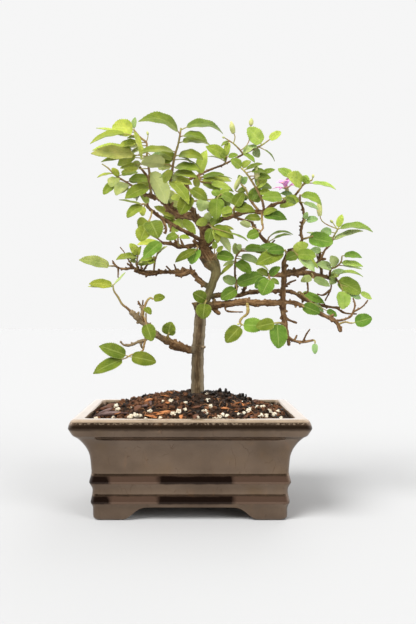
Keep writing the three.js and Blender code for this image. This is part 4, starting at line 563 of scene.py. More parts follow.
FINE_LEAVES: dict[str, list[list[Any]]] = {
    "crown": [
        [0.42, 201, 168, -3, 3.5, 72, "dark", 0.1, 0.12],
        [0.42, 161, 163, 3, 5, 25, "olive", 0.1],
        [0.5, 191, 162, -4, 4, 60, "olive", 0.1],
        [0.03, 189, 203, -12, 8.5, 25, "olive", 0.05],
        [0.25, 164, 183, 4, 6, 20, "bright", 0.1],
        [0.15, 182, 189, 5, 6, 25, "pale", 0.1],
        [0.05, 192, 184, 6, 7, 30, "bright", 0.1],
        [0.3, 158, 168, 4, 6, 25, "pale", 0.1],
    ],
    "upper_left_riser": [
        [1, 135, 117, 2, 4, 20, "teal"],
        [0.55, 130, 153, 2, 5, 40, "pale", 0.15],
        [0.85, 127, 138, 2, 4, 45, "bright", 0.1],
        [1, 142, 158, -4, 5.5, 50, "bright", 0.05, 0.03],
        [0.7, 119, 146, 2, 7.5, 35, "bright", 0.35],
        [0.6, 120, 151, 0, 6, 50, "pale", 0.2],
        [0.5, 117, 165, 7, 8.5, 20, "bright", 0.35],
        [0.4, 128, 171, 9, 7, 20, "pale", 0.3],
        [0.3, 121, 172, -2, 5, 30, "bright", 0.4],
        [0.42, 101, 161, -6, 5, 40, "bright", 0.4],
        [0.5, 163, 170, -3, 5, 20, "bright", 0.25],
        [0.35, 120, 168, 2, 5, 30, "bright", 0.45],
    ],
    "upper_left_tip": [
        [0.62, 97, 177, -3, 3.5, 50, "bright", 0.12, 0.05],
        [0.2, 120, 193, -5, 6, 30, "pale", 0.3],
        [0.1, 133, 198, 6, 6, 20, "olive", 0.1],
        [0.04, 149, 204, 5, 5.5, 15, "bright", 0.05],
        [0.02, 136, 201, 4, 4, 30, "dark", 0.1],
        [0.5, 138, 172, 6, 5, 30, "olive", 0.2],
        [0.02, 152, 201, 3, 6, 25, "bright", 0.2],
        [0.3, 141, 181, 6, 6, 30, "dark", 0.2],
        [0.02, 158, 180, 12, 9, 20, "bright", 0.2],
        [0.1, 150, 177, 10, 8, 25, "bright", 0.2],
    ],
    "left_dark_tip": [
        [0.3, 142, 216, 3, 5, 25, "bright", 0.2],
    ],
    "left_knot_leaves": [
        [0.8, 190, 238, -2, 4, 40, "olive"],
    ],
    "upper_left_back": [
        [0.2, 176, 232, 4, 6, 20, "bright", 0.1],
        [0.5, 165, 196, 5, 7, 25, "dark", 0.2],
        [0.3, 168, 189, 8, 8, 25, "pale", 0.3],
        [0.4, 177, 203, 6, 8, 25, "olive", 0.2],
        [0.7, 172, 234, 6, 6, 25, "bright", 0.1],
        [0.8, 154, 206, 6, 6, 25, "bright", 0.2],
        [0.9, 161, 219, 6, 6.5, 25, "dark", 0.2],
        [0.95, 183, 229, 8, 6, 25, "bright", 0.1],
    ],
    "mid_left_fan": [
        [0.9, 141, 246, -4, 3.5, 30, "olive"],
        [0.4, 147, 260, -6, 4, 40, "pale"],
        [0.95, 131, 248, 1, 4.5, 20, "dark", 0.05],
        [0.5, 130, 261, -2, 4, 40, "pale"],
        [0.7, 127, 256, 4, 5, 30, "olive", 0.1],
        [0.3, 150, 262, 4, 4.5, 25, "olive", 0.1],
    ],
    "mid_left_upright": [
        [0.5, 167, 246, -6, 3.5, 60, "pale"],
        [0.3, 147, 263, 3, 4.5, 30, "olive", 0.1],
        [0.7, 150, 249, 4, 6, 25, "olive", 0.1],
        [0.45, 140, 260, 3, 5, 30, "olive", 0.2],
        [0.4, 152, 259, 3, 4, 20, "bright", 0.1],
    ],
    "lower_left_tip": [
        [0.95, 88, 286, -6, 3.5, 60, "bright", 0.05, -0.03],
        [1, 125, 272, 2, 3, 60, "pale", 0.1, -0.05],
    ],
    "right_stub_leaves": [
        [0.9, 279, 284, -2, 3.5, 20, "dark"],
        [0.2, 257, 270, -2, 6, 40, "dark", 0.05],
    ],
    "up_twig_leaves": [
        [0.85, 273, 256, -2, 3.5, 50, "bright", 0.45],
        [0.25, 270, 270, 3, 4, 60, "bright", 0.3],
        [0.05, 220, 275, -3, 3, 30, "bright"],
        [0.12, 223, 266, -5, 2.8, 30, "pale"],
        [1, 236, 246, -2, 4.5, 20, "pale"],
    ],
    "riser_top_left": [
        [0.8, 259, 246, 4, 6, 30, "leafy", 0.1],
    ],
    "middle_right_bright": [
        [1, 324, 312, -2, 3.5, 20, "teal", 0.1],
    ],
    "right_end_drop": [
        [0.7, 372, 299, 3, 4.5, 25, "bright", 0.62, 0.05],
        [0.2, 330, 284, 2, 5, 20, "pale", 0.1],
    ],
    "right_end_fan": [
        [0.6, 362, 269, -2, 3.5, 55, "pale", 0.2, 0.03],
        [0.05, 344, 270, -3, 5, 30, "pale", 0.1],
        [0.02, 338, 276, -4, 4, 30, "bright", 0.1],
    ],
    "far_right_top": [
        [0.7, 307, 232, -5, 3, 55, "pale", 0.4, -0.02],
        [0.15, 310, 250, 5, 6, 30, "teal", 0.2],
    ],
    "riser_top_right": [
        [0.95, 319, 268, 0, 4.5, 35, "bright"],
        [0.95, 316, 261, 2, 5, 30, "olive"],
        [0.5, 305, 262, 5, 6, 30, "teal", 0.1],
    ],
    "right_riser_top": [
        [0.05, 319, 209, -3, 5, 45, "pale", 0.2, 0.02],
    ],
    "right_upper_tip": [
        [0.5, 296, 203, 4, 5, 30, "dark", 0.1],
    ],
    "flower_shoot": [
        [0.15, 270, 171, -15, 5, 38, "dark", 0.12, 0.04],
        [0.5, 278, 168, 13, 7, 25, "olive", 0.4],
        [0.02, 281, 193, -3, 4, 20, "teal", 0.15],
    ],
    "centre_front": [
        [0.15, 171, 197, 6, 6, 25, "bright", 0.35],
        [0.5, 177, 190, 8, 7, 25, "olive", 0.2],
    ],
    "long_twig_near": [
        [0.9, 216, 181, -2, 3.5, 40, "bright"],
        [1, 213, 189, 3, 4.5, 30, "pale"],
        [0.1, 196, 188, 6, 6, 25, "bright"],
        [0.5, 232, 178, -3, 3, 75, "olive", 0.3],
        [0.7, 232, 180, 2, 6.5, 25, "bright", 0.12],
        [0.9, 234, 191, 3, 5, 30, "dark", 0.3],
        [0.4, 223, 176, 3, 5, 30, "bright", 0.3],
        [1, 222, 192, 5, 6, 30, "bright", 0.2],
    ],
    "long_twig_middle": [
        [0.5, 221, 153, -6, 5, 25, "olive", 0.1],
        [1, 238, 155, -2, 4, 20, "olive"],
        [0.3, 208, 156, -3, 2.5, 70, "olive", 0.2],
    ],
    "long_twig_tip": [
        [0.15, 275, 161, 2, 3, 60, "dark", 0.3, 0.1],
        [0.1, 256, 158, 2, 6, 20, "pale", 0.05],
        [0.2, 243, 149, 3, 4, 30, "pale", 0.1],
    ],
    "long_twig_buds": [
        [0.1, 255, 162, -5, 5, 40, "olive", 0.1],
        [0.1, 253, 148, 2, 4, 20, "pale", 0.05],
        [0.9, 221, 146, 2, 3.5, 45, "olive"],
        [0.95, 227, 156, 2, 5, 30, "bright", 0.1],
    ],
    "red_twig": [
        [0.8, 213, 190, 2, 6, 25, "olive"],
        [0.55, 231, 204, 6, 8, 20, "dark"],
        [0.3, 212, 212, 5, 6, 30, "olive", 0.2],
        [0.9, 233, 196, 5, 6, 30, "bright", 0.2],
    ],
    "right_upper_leaves": [
        [0.8, 221, 213, 4, 6, 30, "olive", 0.1],
        [0.9, 247, 203, 4, 6, 25, "dark", 0.1],
    ],
    "fork_left": [
        [1, 239, 175, -2, 4.5, 20, "dark"],
        [0.97, 247, 177, -3, 4.5, 20, "teal"],
        [0.5, 232, 198, 4, 6, 30, "dark", 0.1],
        [0.7, 238, 190, 5, 6, 30, "dark", 0.1],
    ],
    "fork_right": [
        [0.9, 262, 163, -4, 4, 45, "dark", 0.15, 0.02],
        [0.38, 256, 163, 3, 5, 20, "pale", 0.15],
        [0.8, 266, 172, -4, 4.5, 40, "dark", 0.3, 0.1],
        [0.6, 275, 169, -4, 4, 30, "dark", 0.45],
        [0.3, 252, 196, 6, 7, 20, "dark"],
        [0.95, 250, 160, 3, 5, 30, "olive", 0.1],
        [0.45, 272, 187, 4, 6, 30, "dark", 0.15],
    ],
    "leader_leaves": [
        [0.95, 248, 240, -4, 3, 62, "olive", 0.5, 0.03],
        [0.7, 234, 229, 1, 3.5, 40, "bright", 0.4, 0.03],
        [0.4, 196, 222, 7, 7, 25, "bright", 0.1],
        [0.9, 226, 241, 4, 6, 25, "bright", 0.1],
        [0.5, 222, 218, 6, 6, 25, "olive", 0.2],
        [0.95, 218, 243, -2, 6, 35, "bright", 0.1],
    ],
    "knuckle_leaf": [
        [1, 223, 246, -1, 3.5, 25, "bright", 0.2],
        [0.4, 214, 241, -2, 4, 25, "bright", 0.5],
    ],
    "down_twig": [
        [0.1, 277, 209, 3, 5, 35, "olive", 0.1],
    ],
    "dead_tip": [
        [0.2, 291, 234, -2, 3.5, 60, "dark", 0.3, 0.08],
    ],
}

FINE_BUDS: dict[str, list[tuple]] = {
    "upper_left_riser": [
        (0.45, [[142, 158, -4], [141, 160, -5]], 2.4, 3),
        (0.7, [[148, 136, -1], [147, 131, -1]], 1.8, 3),
    ],
    "hanging_twig": [
        (0.95, [[240, 324, -1], [237, 324, -2]], 1.6, 1.5),
    ],
    "far_right_top": [
        (0.97, [[333, 223, 1], [330, 220, 1]], 2, 2.6),
    ],
    "flower_shoot": [
        (1, [[313, 177, -1], [313, 174, -1]], 1.8, 2.4),
    ],
    "long_twig_buds": [
        (1, [[225, 138, -1], [222, 137, -1]], 1.6, 2),
    ],
    "fork_left": [
        (0.55, [[236, 191, -2], [236, 187, -3], [241, 175.5, -4]], 3.4, 9.5),
    ],
    "fork_right": [
        (0.42, [[258, 184, -3], [257.5, 178, -4], [256, 164.5, -5]], 3.8, 9),
    ],
}


def unit(vector: np.ndarray) -> np.ndarray:
    """Return a vector's direction, 1 long."""
    return vector / np.linalg.norm(vector)


class SmoothRoute:
    """A smooth curve through spots, even in its steps from spot to spot."""

    def __init__(self, spots: np.ndarray) -> None:
        """Keep the spots, with one more beyond each end for the end slopes.

        Args:
            spots: What the curve runs through, one spot in each line.
        """
        first = 2 * spots[0] - spots[1]
        last = 2 * spots[-1] - spots[-2]
        self.spots = np.vstack([first, spots, last])
        self.stretches = len(spots) - 1

    def at(self, shares: np.ndarray) -> np.ndarray:
        """Return the curve's spots at shares of its way, 0 to 1.

        Args:
            shares: Shares of the way, 0 at the first spot and 1 at the last.

        Returns:
            The spots, one in each line.
        """
        position = np.clip(np.asarray(shares, float), 0, 1) * self.stretches
        index = np.minimum(np.floor(position).astype(int), self.stretches - 1)
        t = (position - index)[:, None]
        before, start, end, after = (self.spots[index + k] for k in range(4))
        slope_in = 0.5 * (end - before)
        slope_out = 0.5 * (after - start)
        square = 3 * (end - start) - 2 * slope_in - slope_out
        cube = 2 * (start - end) + slope_in + slope_out
        return start + slope_in * t + square * t**2 + cube * t**3


@dataclass
class Skeleton:
    """The traced routes of all wood and stems, in spots of the photograph."""

    roundness: float = 1.6
    steps: int = 16
    traced: dict[str, np.ndarray] = field(default_factory=dict)

    def trace(self, name: str, parent: str | None, route: Route) -> SmoothRoute:
        """Lay a route on its parent and remember it.

        Args:
            name: The route's name.
            parent: The route that it leaves, or None for the trunk.
            route: Columns, rows and depths gained since the first spot.

        Returns:
            The smooth curve in spots.
        """
        spots = []
        root_depth = 0.0
        for index, spot in enumerate(route):
            column, row = spot[0], spot[1]
            lean = spot[2] if len(spot) > 2 else 0
            if index == 0 and parent:
                known = self.traced[parent]
                away = np.hypot(known[:, 0] - column, known[:, 1] - row)
                nearest = known[int(np.argmin(away))]
                root_depth = float(nearest[2])
                spots.append(nearest)
            else:
                spots.append(np.array([column, row, root_depth + lean * self.roundness]))
        curve = SmoothRoute(np.array(spots, float))
        count = self.steps * (len(spots) - 1)
        self.traced[name] = curve.at(np.arange(count + 1) / count)
        return curve


class Obstacles:
    """What the leaves are bent clear of: wood, stems, buds and other leaves."""

    def __init__(self) -> None:
        """Start with nothing in the way."""
        self.owners: list[str] = []
        self.centres = np.zeros((0, 3))
        self.radii = np.zeros(0)
        self.shares = np.zeros(0)

    def add(self, owner: str, centres: np.ndarray, radii: Any, shares: Any = 1.0) -> None:
        """Add round obstacles that all belong to one owner.

        Args:
            owner: Whose they are: the wood, the flower or a leafy stem.
            centres: Their middles in mm, one in each line.
            radii: Their radii in mm, one for all or one for each.
            shares: How far along its leaf each lies, 0 at the foot.
        """
        count = len(centres)
        self.owners += [owner] * count
        self.centres = np.vstack([self.centres, centres])
        self.radii = np.concatenate([self.radii, np.broadcast_to(radii, count)])
        self.shares = np.concatenate([self.shares, np.broadcast_to(shares, count)])


@dataclass
class BladePlan:
    """Where a leaf or petal lies: its foot, its three directions and its size, in mm."""

    base: np.ndarray
    tip: np.ndarray
    face: np.ndarray
    width: float
    stalk: float
    arch: float = 0.09
    fold: float = 0.22
    stalk_half: float = 0.5
    breadth_power: float = 0.8

    def __post_init__(self) -> None:
        """Work out the directions."""
        reach = self.tip - self.base
        self.length = float(np.linalg.norm(reach))
        self.along = reach / self.length
        self.normal = unit(self.face - self.along * (self.face @ self.along))
        self.across = np.cross(self.along, self.normal)

    def half_breadth(self, shares: np.ndarray) -> np.ndarray:
        """Return half the breadth at shares of the length.

        Args:
            shares: Shares of the length, stalk and all.

        Returns:
            Half the breadth at each share, in mm.
        """
        blade = np.clip((shares - self.stalk) / (1 - self.stalk), 0, 1)
        fullness = np.maximum(0, np.sin(np.pi * blade**self.breadth_power))
        half = np.maximum(self.stalk_half, self.width / 2 * fullness**self.breadth_power)
        return np.where(shares < 1, np.where(blade <= 0, self.stalk_half, half), 0.0)

    def spot(self, shares: np.ndarray, reach: np.ndarray, lift: np.ndarray) -> np.ndarray:
        """Return places on the arched, folded blade.

        Args:
            shares: Shares of the length.
            reach: Distances from the rib, in mm, with a sign for the side.
            lift: Heights above the blade's middle surface, in mm.

        Returns:
            The places, one in each line.
        """
        arch = self.arch * self.length * 4 * shares * (1 - shares)
        rise = arch + self.fold * np.abs(reach) + lift
        return (self.base + np.outer(self.length * shares, self.along)
                + np.outer(reach, self.across) + np.outer(rise, self.normal))

    def samples(self, pitch: float = 1.2) -> tuple[np.ndarray, np.ndarray]:
        """Return places all over the blade, and their shares of its length.

        Args:
            pitch: How far apart the places lie, in mm.

        Returns:
            The places, one in each line, and their shares.
        """
        rows = math.ceil(self.length / pitch)
        shares = []
        reaches = []
        row_shares = np.arange(rows + 1) / rows
        for share, half in zip(row_shares, self.half_breadth(row_shares)):
            columns = max(1, math.ceil(2 * half / pitch))
            side = 2 * np.arange(columns + 1) / columns - 1
            shares.append(np.full(columns + 1, share))
            reaches.append(side * half)
        share_row = np.concatenate(shares)
        places = self.spot(share_row, np.concatenate(reaches), np.zeros(len(share_row)))
        return places, share_row


def turned_face(base: np.ndarray, tip: np.ndarray, turn: float) -> np.ndarray:
    """Return the way that a leaf's upper side looks.

    Args:
        base: The leaf's foot.
        tip: Its tip.
        turn: 0 shows the face to the front, 90 the edge, and more the underside.

    Returns:
        A unit vector across the leaf.
    """
    along = unit(tip - base)
    facing = unit(FRONT + along * along[1])
    upward = np.cross(along, facing)
    if upward[2] < 0:
        upward = -upward
    angle = math.radians(turn)
    return facing * math.cos(angle) + upward * math.sin(angle)


@dataclass
class LeafBender:
    """Bends each leaf's tip forward or back until it is clear of what stands by."""

    obstacles: Obstacles
    clearance: float = 1.75
    own_clearance: float = 1.0
    own_free: float = 0.35
    wood_free: float = 0.1
    round_keep: float = 0.65
    reach_share: float = 0.6
    shifts: tuple[float, ...] = (
        0, 1.5, -1.5, 3, -3, 4.5, -4.5, 6, -6, 8, -8, 10, -10, 13, -13)

    def is_clear(self, plan: BladePlan, owner: str) -> bool:
        """Say whether a blade keeps its distance from every obstacle.

        Args:
            plan: Where the blade would lie.
            owner: The leafy stem that it grows on.

        Returns:
            True where nothing stands too near.
        """
        things = self.obstacles
        middle = plan.base + plan.along * plan.length / 2
        reach = plan.length * self.reach_share + plan.width
        away = np.linalg.norm(things.centres - middle, axis=1)
        near = np.nonzero(away < reach + things.radii + self.clearance)[0]
        if len(near) == 0:
            return True
        places, shares = plan.samples()
        owners = np.array([things.owners[i] for i in near])
        own = owners == owner
        apart = np.where(own, self.own_clearance, self.clearance)
        apart = apart * np.where(things.radii[near] > 0, self.round_keep, 1.0)
        gaps = np.linalg.norm(places[:, None, :] - things.centres[near][None], axis=2)
        early = shares[:, None] < self.own_free
        free = own[None] & (early | (things.shares[near][None] < self.own_free))
        free |= (owners == "wood")[None] & (shares[:, None] < self.wood_free)
        return bool(np.all(free | (gaps > things.radii[near] + apart)))

    def settle(self, owner: str, root: np.ndarray, leaf: LeafRow) -> BladePlan | None:
        """Find a clear lie for a leaf and remember it.

        Args:
            owner: The leafy stem's name.
            root: The spot on the stem that the leaf leaves.
            leaf: The leaf's row of the table.

        Returns:
            The leaf's plan, or None where no lie is clear.
        """
        base = EYE.place(root)
        for shift in self.shifts:
            tip = EYE.place(np.array([leaf.column, leaf.row, root[2] + leaf.lean + shift]))
            face = turned_face(base, tip, leaf.turn)
            plan = BladePlan(base, tip, face, leaf.width, leaf.stalk, arch=leaf.bow)
            if self.is_clear(plan, owner):
                places, shares = plan.samples()
                self.obstacles.add(owner, places, 0.0, shares)
                return plan
        return None


@dataclass(frozen=True)
class LeafRow:
    """One leaf of the table, as it is written there.

    It leaves its stem at a share of the stem's way, and its tip shows at a column and a row.
    Lean is the depth from foot to tip and width the blade's breadth, both in mm. Turn is how
    many degrees its face turns from the front, stalk the stalk's share of its length, and bow
    how far it arches, as a share of its length too.
    """

    share: float
    column: float
    row: float
    lean: float
    width: float
    turn: float
    tone: str
    stalk: float = 0.12
    bow: float = 0.06


@dataclass
class Bench:
    """Small jobs that every sub-assembly needs, done with Blender's own tools."""

    centre_x: float

    def to_frame(self, places: np.ndarray) -> np.ndarray:
        """Turn millimetres from the pot's middle into the frame's metres."""
        return places * MM + np.array([self.centre_x, 0.0, 0.0])

    def only(self, *objects: bpy.types.Object) -> None:
        """Select these objects alone, with the first one active.

        Args:
            *objects: What to select.
        """
        bpy.ops.object.select_all(action="DESELECT")
        for thing in objects:
            thing.select_set(True)
        bpy.context.view_layer.objects.active = objects[0]

    def modify(self, thing: bpy.types.Object, kind: str, **settings: Any) -> None:
        """Add a modifier with its settings and apply it.

        Args:
            thing: The object to change.
            kind: The modifier's type.
            **settings: The modifier's own settings, by name.
        """
        self.only(thing)
        modifier = thing.modifiers.new(kind.lower(), kind)
        for key, value in settings.items():
            setattr(modifier, key, value)
        bpy.ops.object.modifier_apply(modifier=modifier.name)

    def tidy_shell(self, thing: bpy.types.Object, merge: float = 1e-7) -> None:
        """Merge doubled corners and turn all faces outwards.

        Args:
            thing: A mesh of closed shells.
            merge: Corners nearer than this become one, in metres.
        """
        self.only(thing)
        self.open_mesh()
        bpy.ops.mesh.remove_doubles(threshold=merge)
        self.close_mesh()

    def open_mesh(self) -> None:
        """Enter edit mode with the whole of the active mesh selected."""
        bpy.ops.object.mode_set(mode="EDIT")
        bpy.ops.mesh.select_all(action="SELECT")

    def close_mesh(self) -> None:
        """Turn all faces of the active mesh outwards and leave edit mode."""
        bpy.ops.mesh.select_all(action="SELECT")
        bpy.ops.mesh.normals_make_consistent(inside=False)
        bpy.ops.object.mode_set(mode="OBJECT")

    def join(self, name: str, parts: list[bpy.types.Object]) -> bpy.types.Object:
        """Join parts into one object with this name.

        Args:
            name: What the joined object is called.
            parts: The objects to join.

        Returns:
            The joined object.
        """
        self.only(*parts)
        if len(parts) > 1:
            bpy.ops.object.join()
        joined = bpy.context.view_layer.objects.active
        joined.name = name
        joined.data.name = name
        return joined

    def spots_of(self, thing: bpy.types.Object) -> np.ndarray:
        """Return the mesh's corners as they are stored.

        Args:
            thing: An object with a mesh.

        Returns:
            The corners, one in each line.
        """
        spots = np.zeros(len(thing.data.vertices) * 3)
        thing.data.vertices.foreach_get("co", spots)
        return spots.reshape(-1, 3)

    def places_of(self, thing: bpy.types.Object) -> np.ndarray:
        """Return the mesh's corners in millimetres from the pot's middle."""
        return (self.spots_of(thing) - [self.centre_x, 0, 0]) / MM

    def move_spots(self, thing: bpy.types.Object, spots: np.ndarray) -> None:
        """Store new places for the mesh's corners."""
        thing.data.vertices.foreach_set("co", np.ascontiguousarray(spots).ravel())
        thing.data.update()

    def mark(self, thing: bpy.types.Object, name: str, values: np.ndarray) -> None:
        """Keep three numbers for each corner of the mesh, for its finish to read."""
        marks = thing.data.attributes.new(name, "FLOAT_VECTOR", "POINT")
        marks.data.foreach_set("vector", np.ascontiguousarray(values, dtype=float).ravel())

    def copy_of(self, master: bpy.types.Object) -> bpy.types.Object:
        """Copy an object with a mesh of its own.

        Args:
            master: The object to copy.

        Returns:
            The copy, in the scene.
        """
        twin = bpy.data.objects.new(master.name + "_copy", master.data.copy())
        bpy.context.scene.collection.objects.link(twin)
        return twin

    def sweep(self, name: str, runs: list[Run], resolution: int) -> bpy.types.Object:
        """Make closed round tubes along runs.

        Args:
            name: The object's name.
            runs: The tubes' middle lines and radii.
            resolution: The curve's bevel resolution: 0 for 4 sides, 2 for 8.

        Returns:
            The tubes as one mesh in the frame's metres.
        """
        curve = bpy.data.curves.new(name, "CURVE")
        curve.dimensions = "3D"
        curve.bevel_depth = MM
        curve.bevel_resolution = resolution
        curve.use_fill_caps = True
        for run in runs:
            spline = curve.splines.new("POLY")
            spline.points.add(len(run.centres) - 1)
            spots = np.ones((len(run.centres), 4))
            spots[:, :3] = self.to_frame(run.centres)
            spline.points.foreach_set("co", spots.ravel())
            spline.points.foreach_set("radius", run.radii)
        thing = bpy.data.objects.new(name, curve)
        bpy.context.scene.collection.objects.link(thing)
        self.only(thing)
        bpy.ops.object.convert(target="MESH")
        thing = bpy.context.object
        self.tidy_shell(thing)
        return thing

    def deliver(
        self, piece: bpy.types.Object, slot: str, nodes: tuple[str, ...] = (),
        materials: tuple[bpy.types.Material, ...] = (), sharp: float = 40.0,
    ) -> None:
        """Finish a piece: its material, its shading, its parent body, and the hiding of the model's
        nodes that it stands for.

        Args:
            piece: The finished mesh.
            slot: The record's material slot. Not used.
            nodes: The model's nodes that it stands for.
            materials: Its materials, or none where they are already there.
            sharp: Edges sharper than this many degrees stay crisp.
        """
        self.only(piece)
        bpy.ops.object.transform_apply(location=True, rotation=True, scale=True)
        if materials:
            piece.data.materials.clear()
            for material in materials:
                piece.data.materials.append(material)
        bpy.ops.object.shade_smooth_by_angle(angle=math.radians(sharp))
        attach(piece, ROOT)
        if nodes:
            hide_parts(*nodes)
        triangles = sum(len(face.vertices) - 2 for face in piece.data.polygons)
        LOG.info("%s: %d triangles", piece.name, triangles)


@dataclass
class Run:
    """A tube's middle line in mm, with its radius at each place."""

    centres: np.ndarray
    radii: np.ndarray


class NodeTable:
    """A material's node tree while it is being built."""

    def __init__(self, name: str) -> None:
        """Start a material with one shader.

        Args:
            name: The material's name.
        """
        self.material = bpy.data.materials.new(name)
        self.material.use_nodes = True
        self.tree = self.material.node_tree
        self.shader = self.tree.nodes["Principled BSDF"]

    def node(self, kind: str, inputs: dict[Any, Any] | None = None, **settings: Any) -> Any:
        """Add a node, set what it holds, and link or fill its inputs.

        Args:
            kind: The node's type.
            inputs: What its inputs hold or are linked to, by name or number.
            **settings: The node's own settings, by name.

        Returns:
            The node.
        """
        made = self.tree.nodes.new(kind)
        for key, value in settings.items():
            setattr(made, key, value)
        for key, value in (inputs or {}).items():
            self.feed(made.inputs[key], value)
        return made

    def feed(self, socket: Any, value: Any) -> None:
        """Link a socket to another, or set its number or colour.

        Args:
            socket: The input to feed.
            value: Another node's output, a number or a colour.
        """
        if isinstance(value, bpy.types.NodeSocket):
            self.tree.links.new(value, socket)
        elif isinstance(value, tuple) and len(value) == 3 and socket.type == "RGBA":
            socket.default_value = (*value, 1.0)
        else:
            socket.default_value = value

    def surface(self, **values: Any) -> None:
        """Set or link the shader's own sockets, by name with _ for a space."""
        for key, value in values.items():
            self.feed(self.shader.inputs[key.replace("_", " ")], value)

    def place(self) -> Any:
        """Return the place on the object, in metres."""
        return self.node("ShaderNodeTexCoord").outputs["Object"]

    def mark(self, name: str) -> Any:
        """Return three numbers kept at the mesh's corners."""
        return self.node("ShaderNodeAttribute", attribute_name=name).outputs["Vector"]

    def split(self, vector: Any) -> tuple[Any, Any, Any]:
        """Return a vector's three numbers."""
        parts = self.node("ShaderNodeSeparateXYZ", {0: vector}).outputs
        return parts[0], parts[1], parts[2]

    def stretch(self, vector: Any, scale: tuple[float, float, float]) -> Any:
        """Return a vector scaled along its three axes."""
        return self.node("ShaderNodeMapping", {"Vector": vector, "Scale": scale}).outputs[0]

    def sum(self, kind: str, first: Any, second: Any = 0.0, clamp: bool = False) -> Any:
        """Return a piece of arithmetic on two numbers."""
        inputs = {0: first, 1: second}
        return self.node("ShaderNodeMath", inputs, operation=kind, use_clamp=clamp).outputs[0]

    def noise(self, vector: Any, scale: float, detail: float = 3.0, rough: float = 0.55) -> Any:
        """Return cloudy noise, 0 to 1."""
        inputs = {"Vector": vector, "Scale": scale, "Detail": detail, "Roughness": rough}
        return self.node("ShaderNodeTexNoise", inputs).outputs[0]

    def ramp(self, value: Any, stops: list[tuple[float, Any]]) -> Any:
        """Return the colour of a ramp through these stops.

        Args:
            value: The place on the ramp, 0 to 1.
            stops: The ramp's places and their colours.

        Returns:
            The colour.
        """
        made = self.node("ShaderNodeValToRGB", {0: value})
        band = made.color_ramp
        while len(band.elements) < len(stops):
            band.elements.new(0.5)
        for element, (position, colour) in zip(band.elements, stops):
            element.position = position
            element.color = (*colour, 1.0)
        return made.outputs[0]

    def fade(self, value: Any, low: float, high: float) -> Any:
        """Return 0 below low, 1 above high, and an even slope between."""
        inputs = {0: value, 1: low, 2: high, 3: 0.0, 4: 1.0}
        return self.node("ShaderNodeMapRange", inputs).outputs[0]

    def mix(self, share: Any, first: Any, second: Any, kind: str = "MIX") -> Any:
        """Return two colours mixed.

        Args:
            share: 0 gives the first colour and 1 the second.
            first: The first colour.
            second: The second colour.
            kind: How the second is laid on the first.

        Returns:
            The colour.
        """
        inputs = {MIX_SHARE: share, MIX_FIRST: first, MIX_SECOND: second}
        made = self.node("ShaderNodeMix", inputs, data_type="RGBA", blend_type=kind)
        return made.outputs[MIX_RESULT]

    def bump(self, height: Any, strength: float, depth: float) -> None:
        """Give the surface a fine relief of this depth in metres."""
        inputs = {"Height": height, "Strength": strength, "Distance": depth}
        self.surface(Normal=self.node("ShaderNodeBump", inputs).outputs[0])


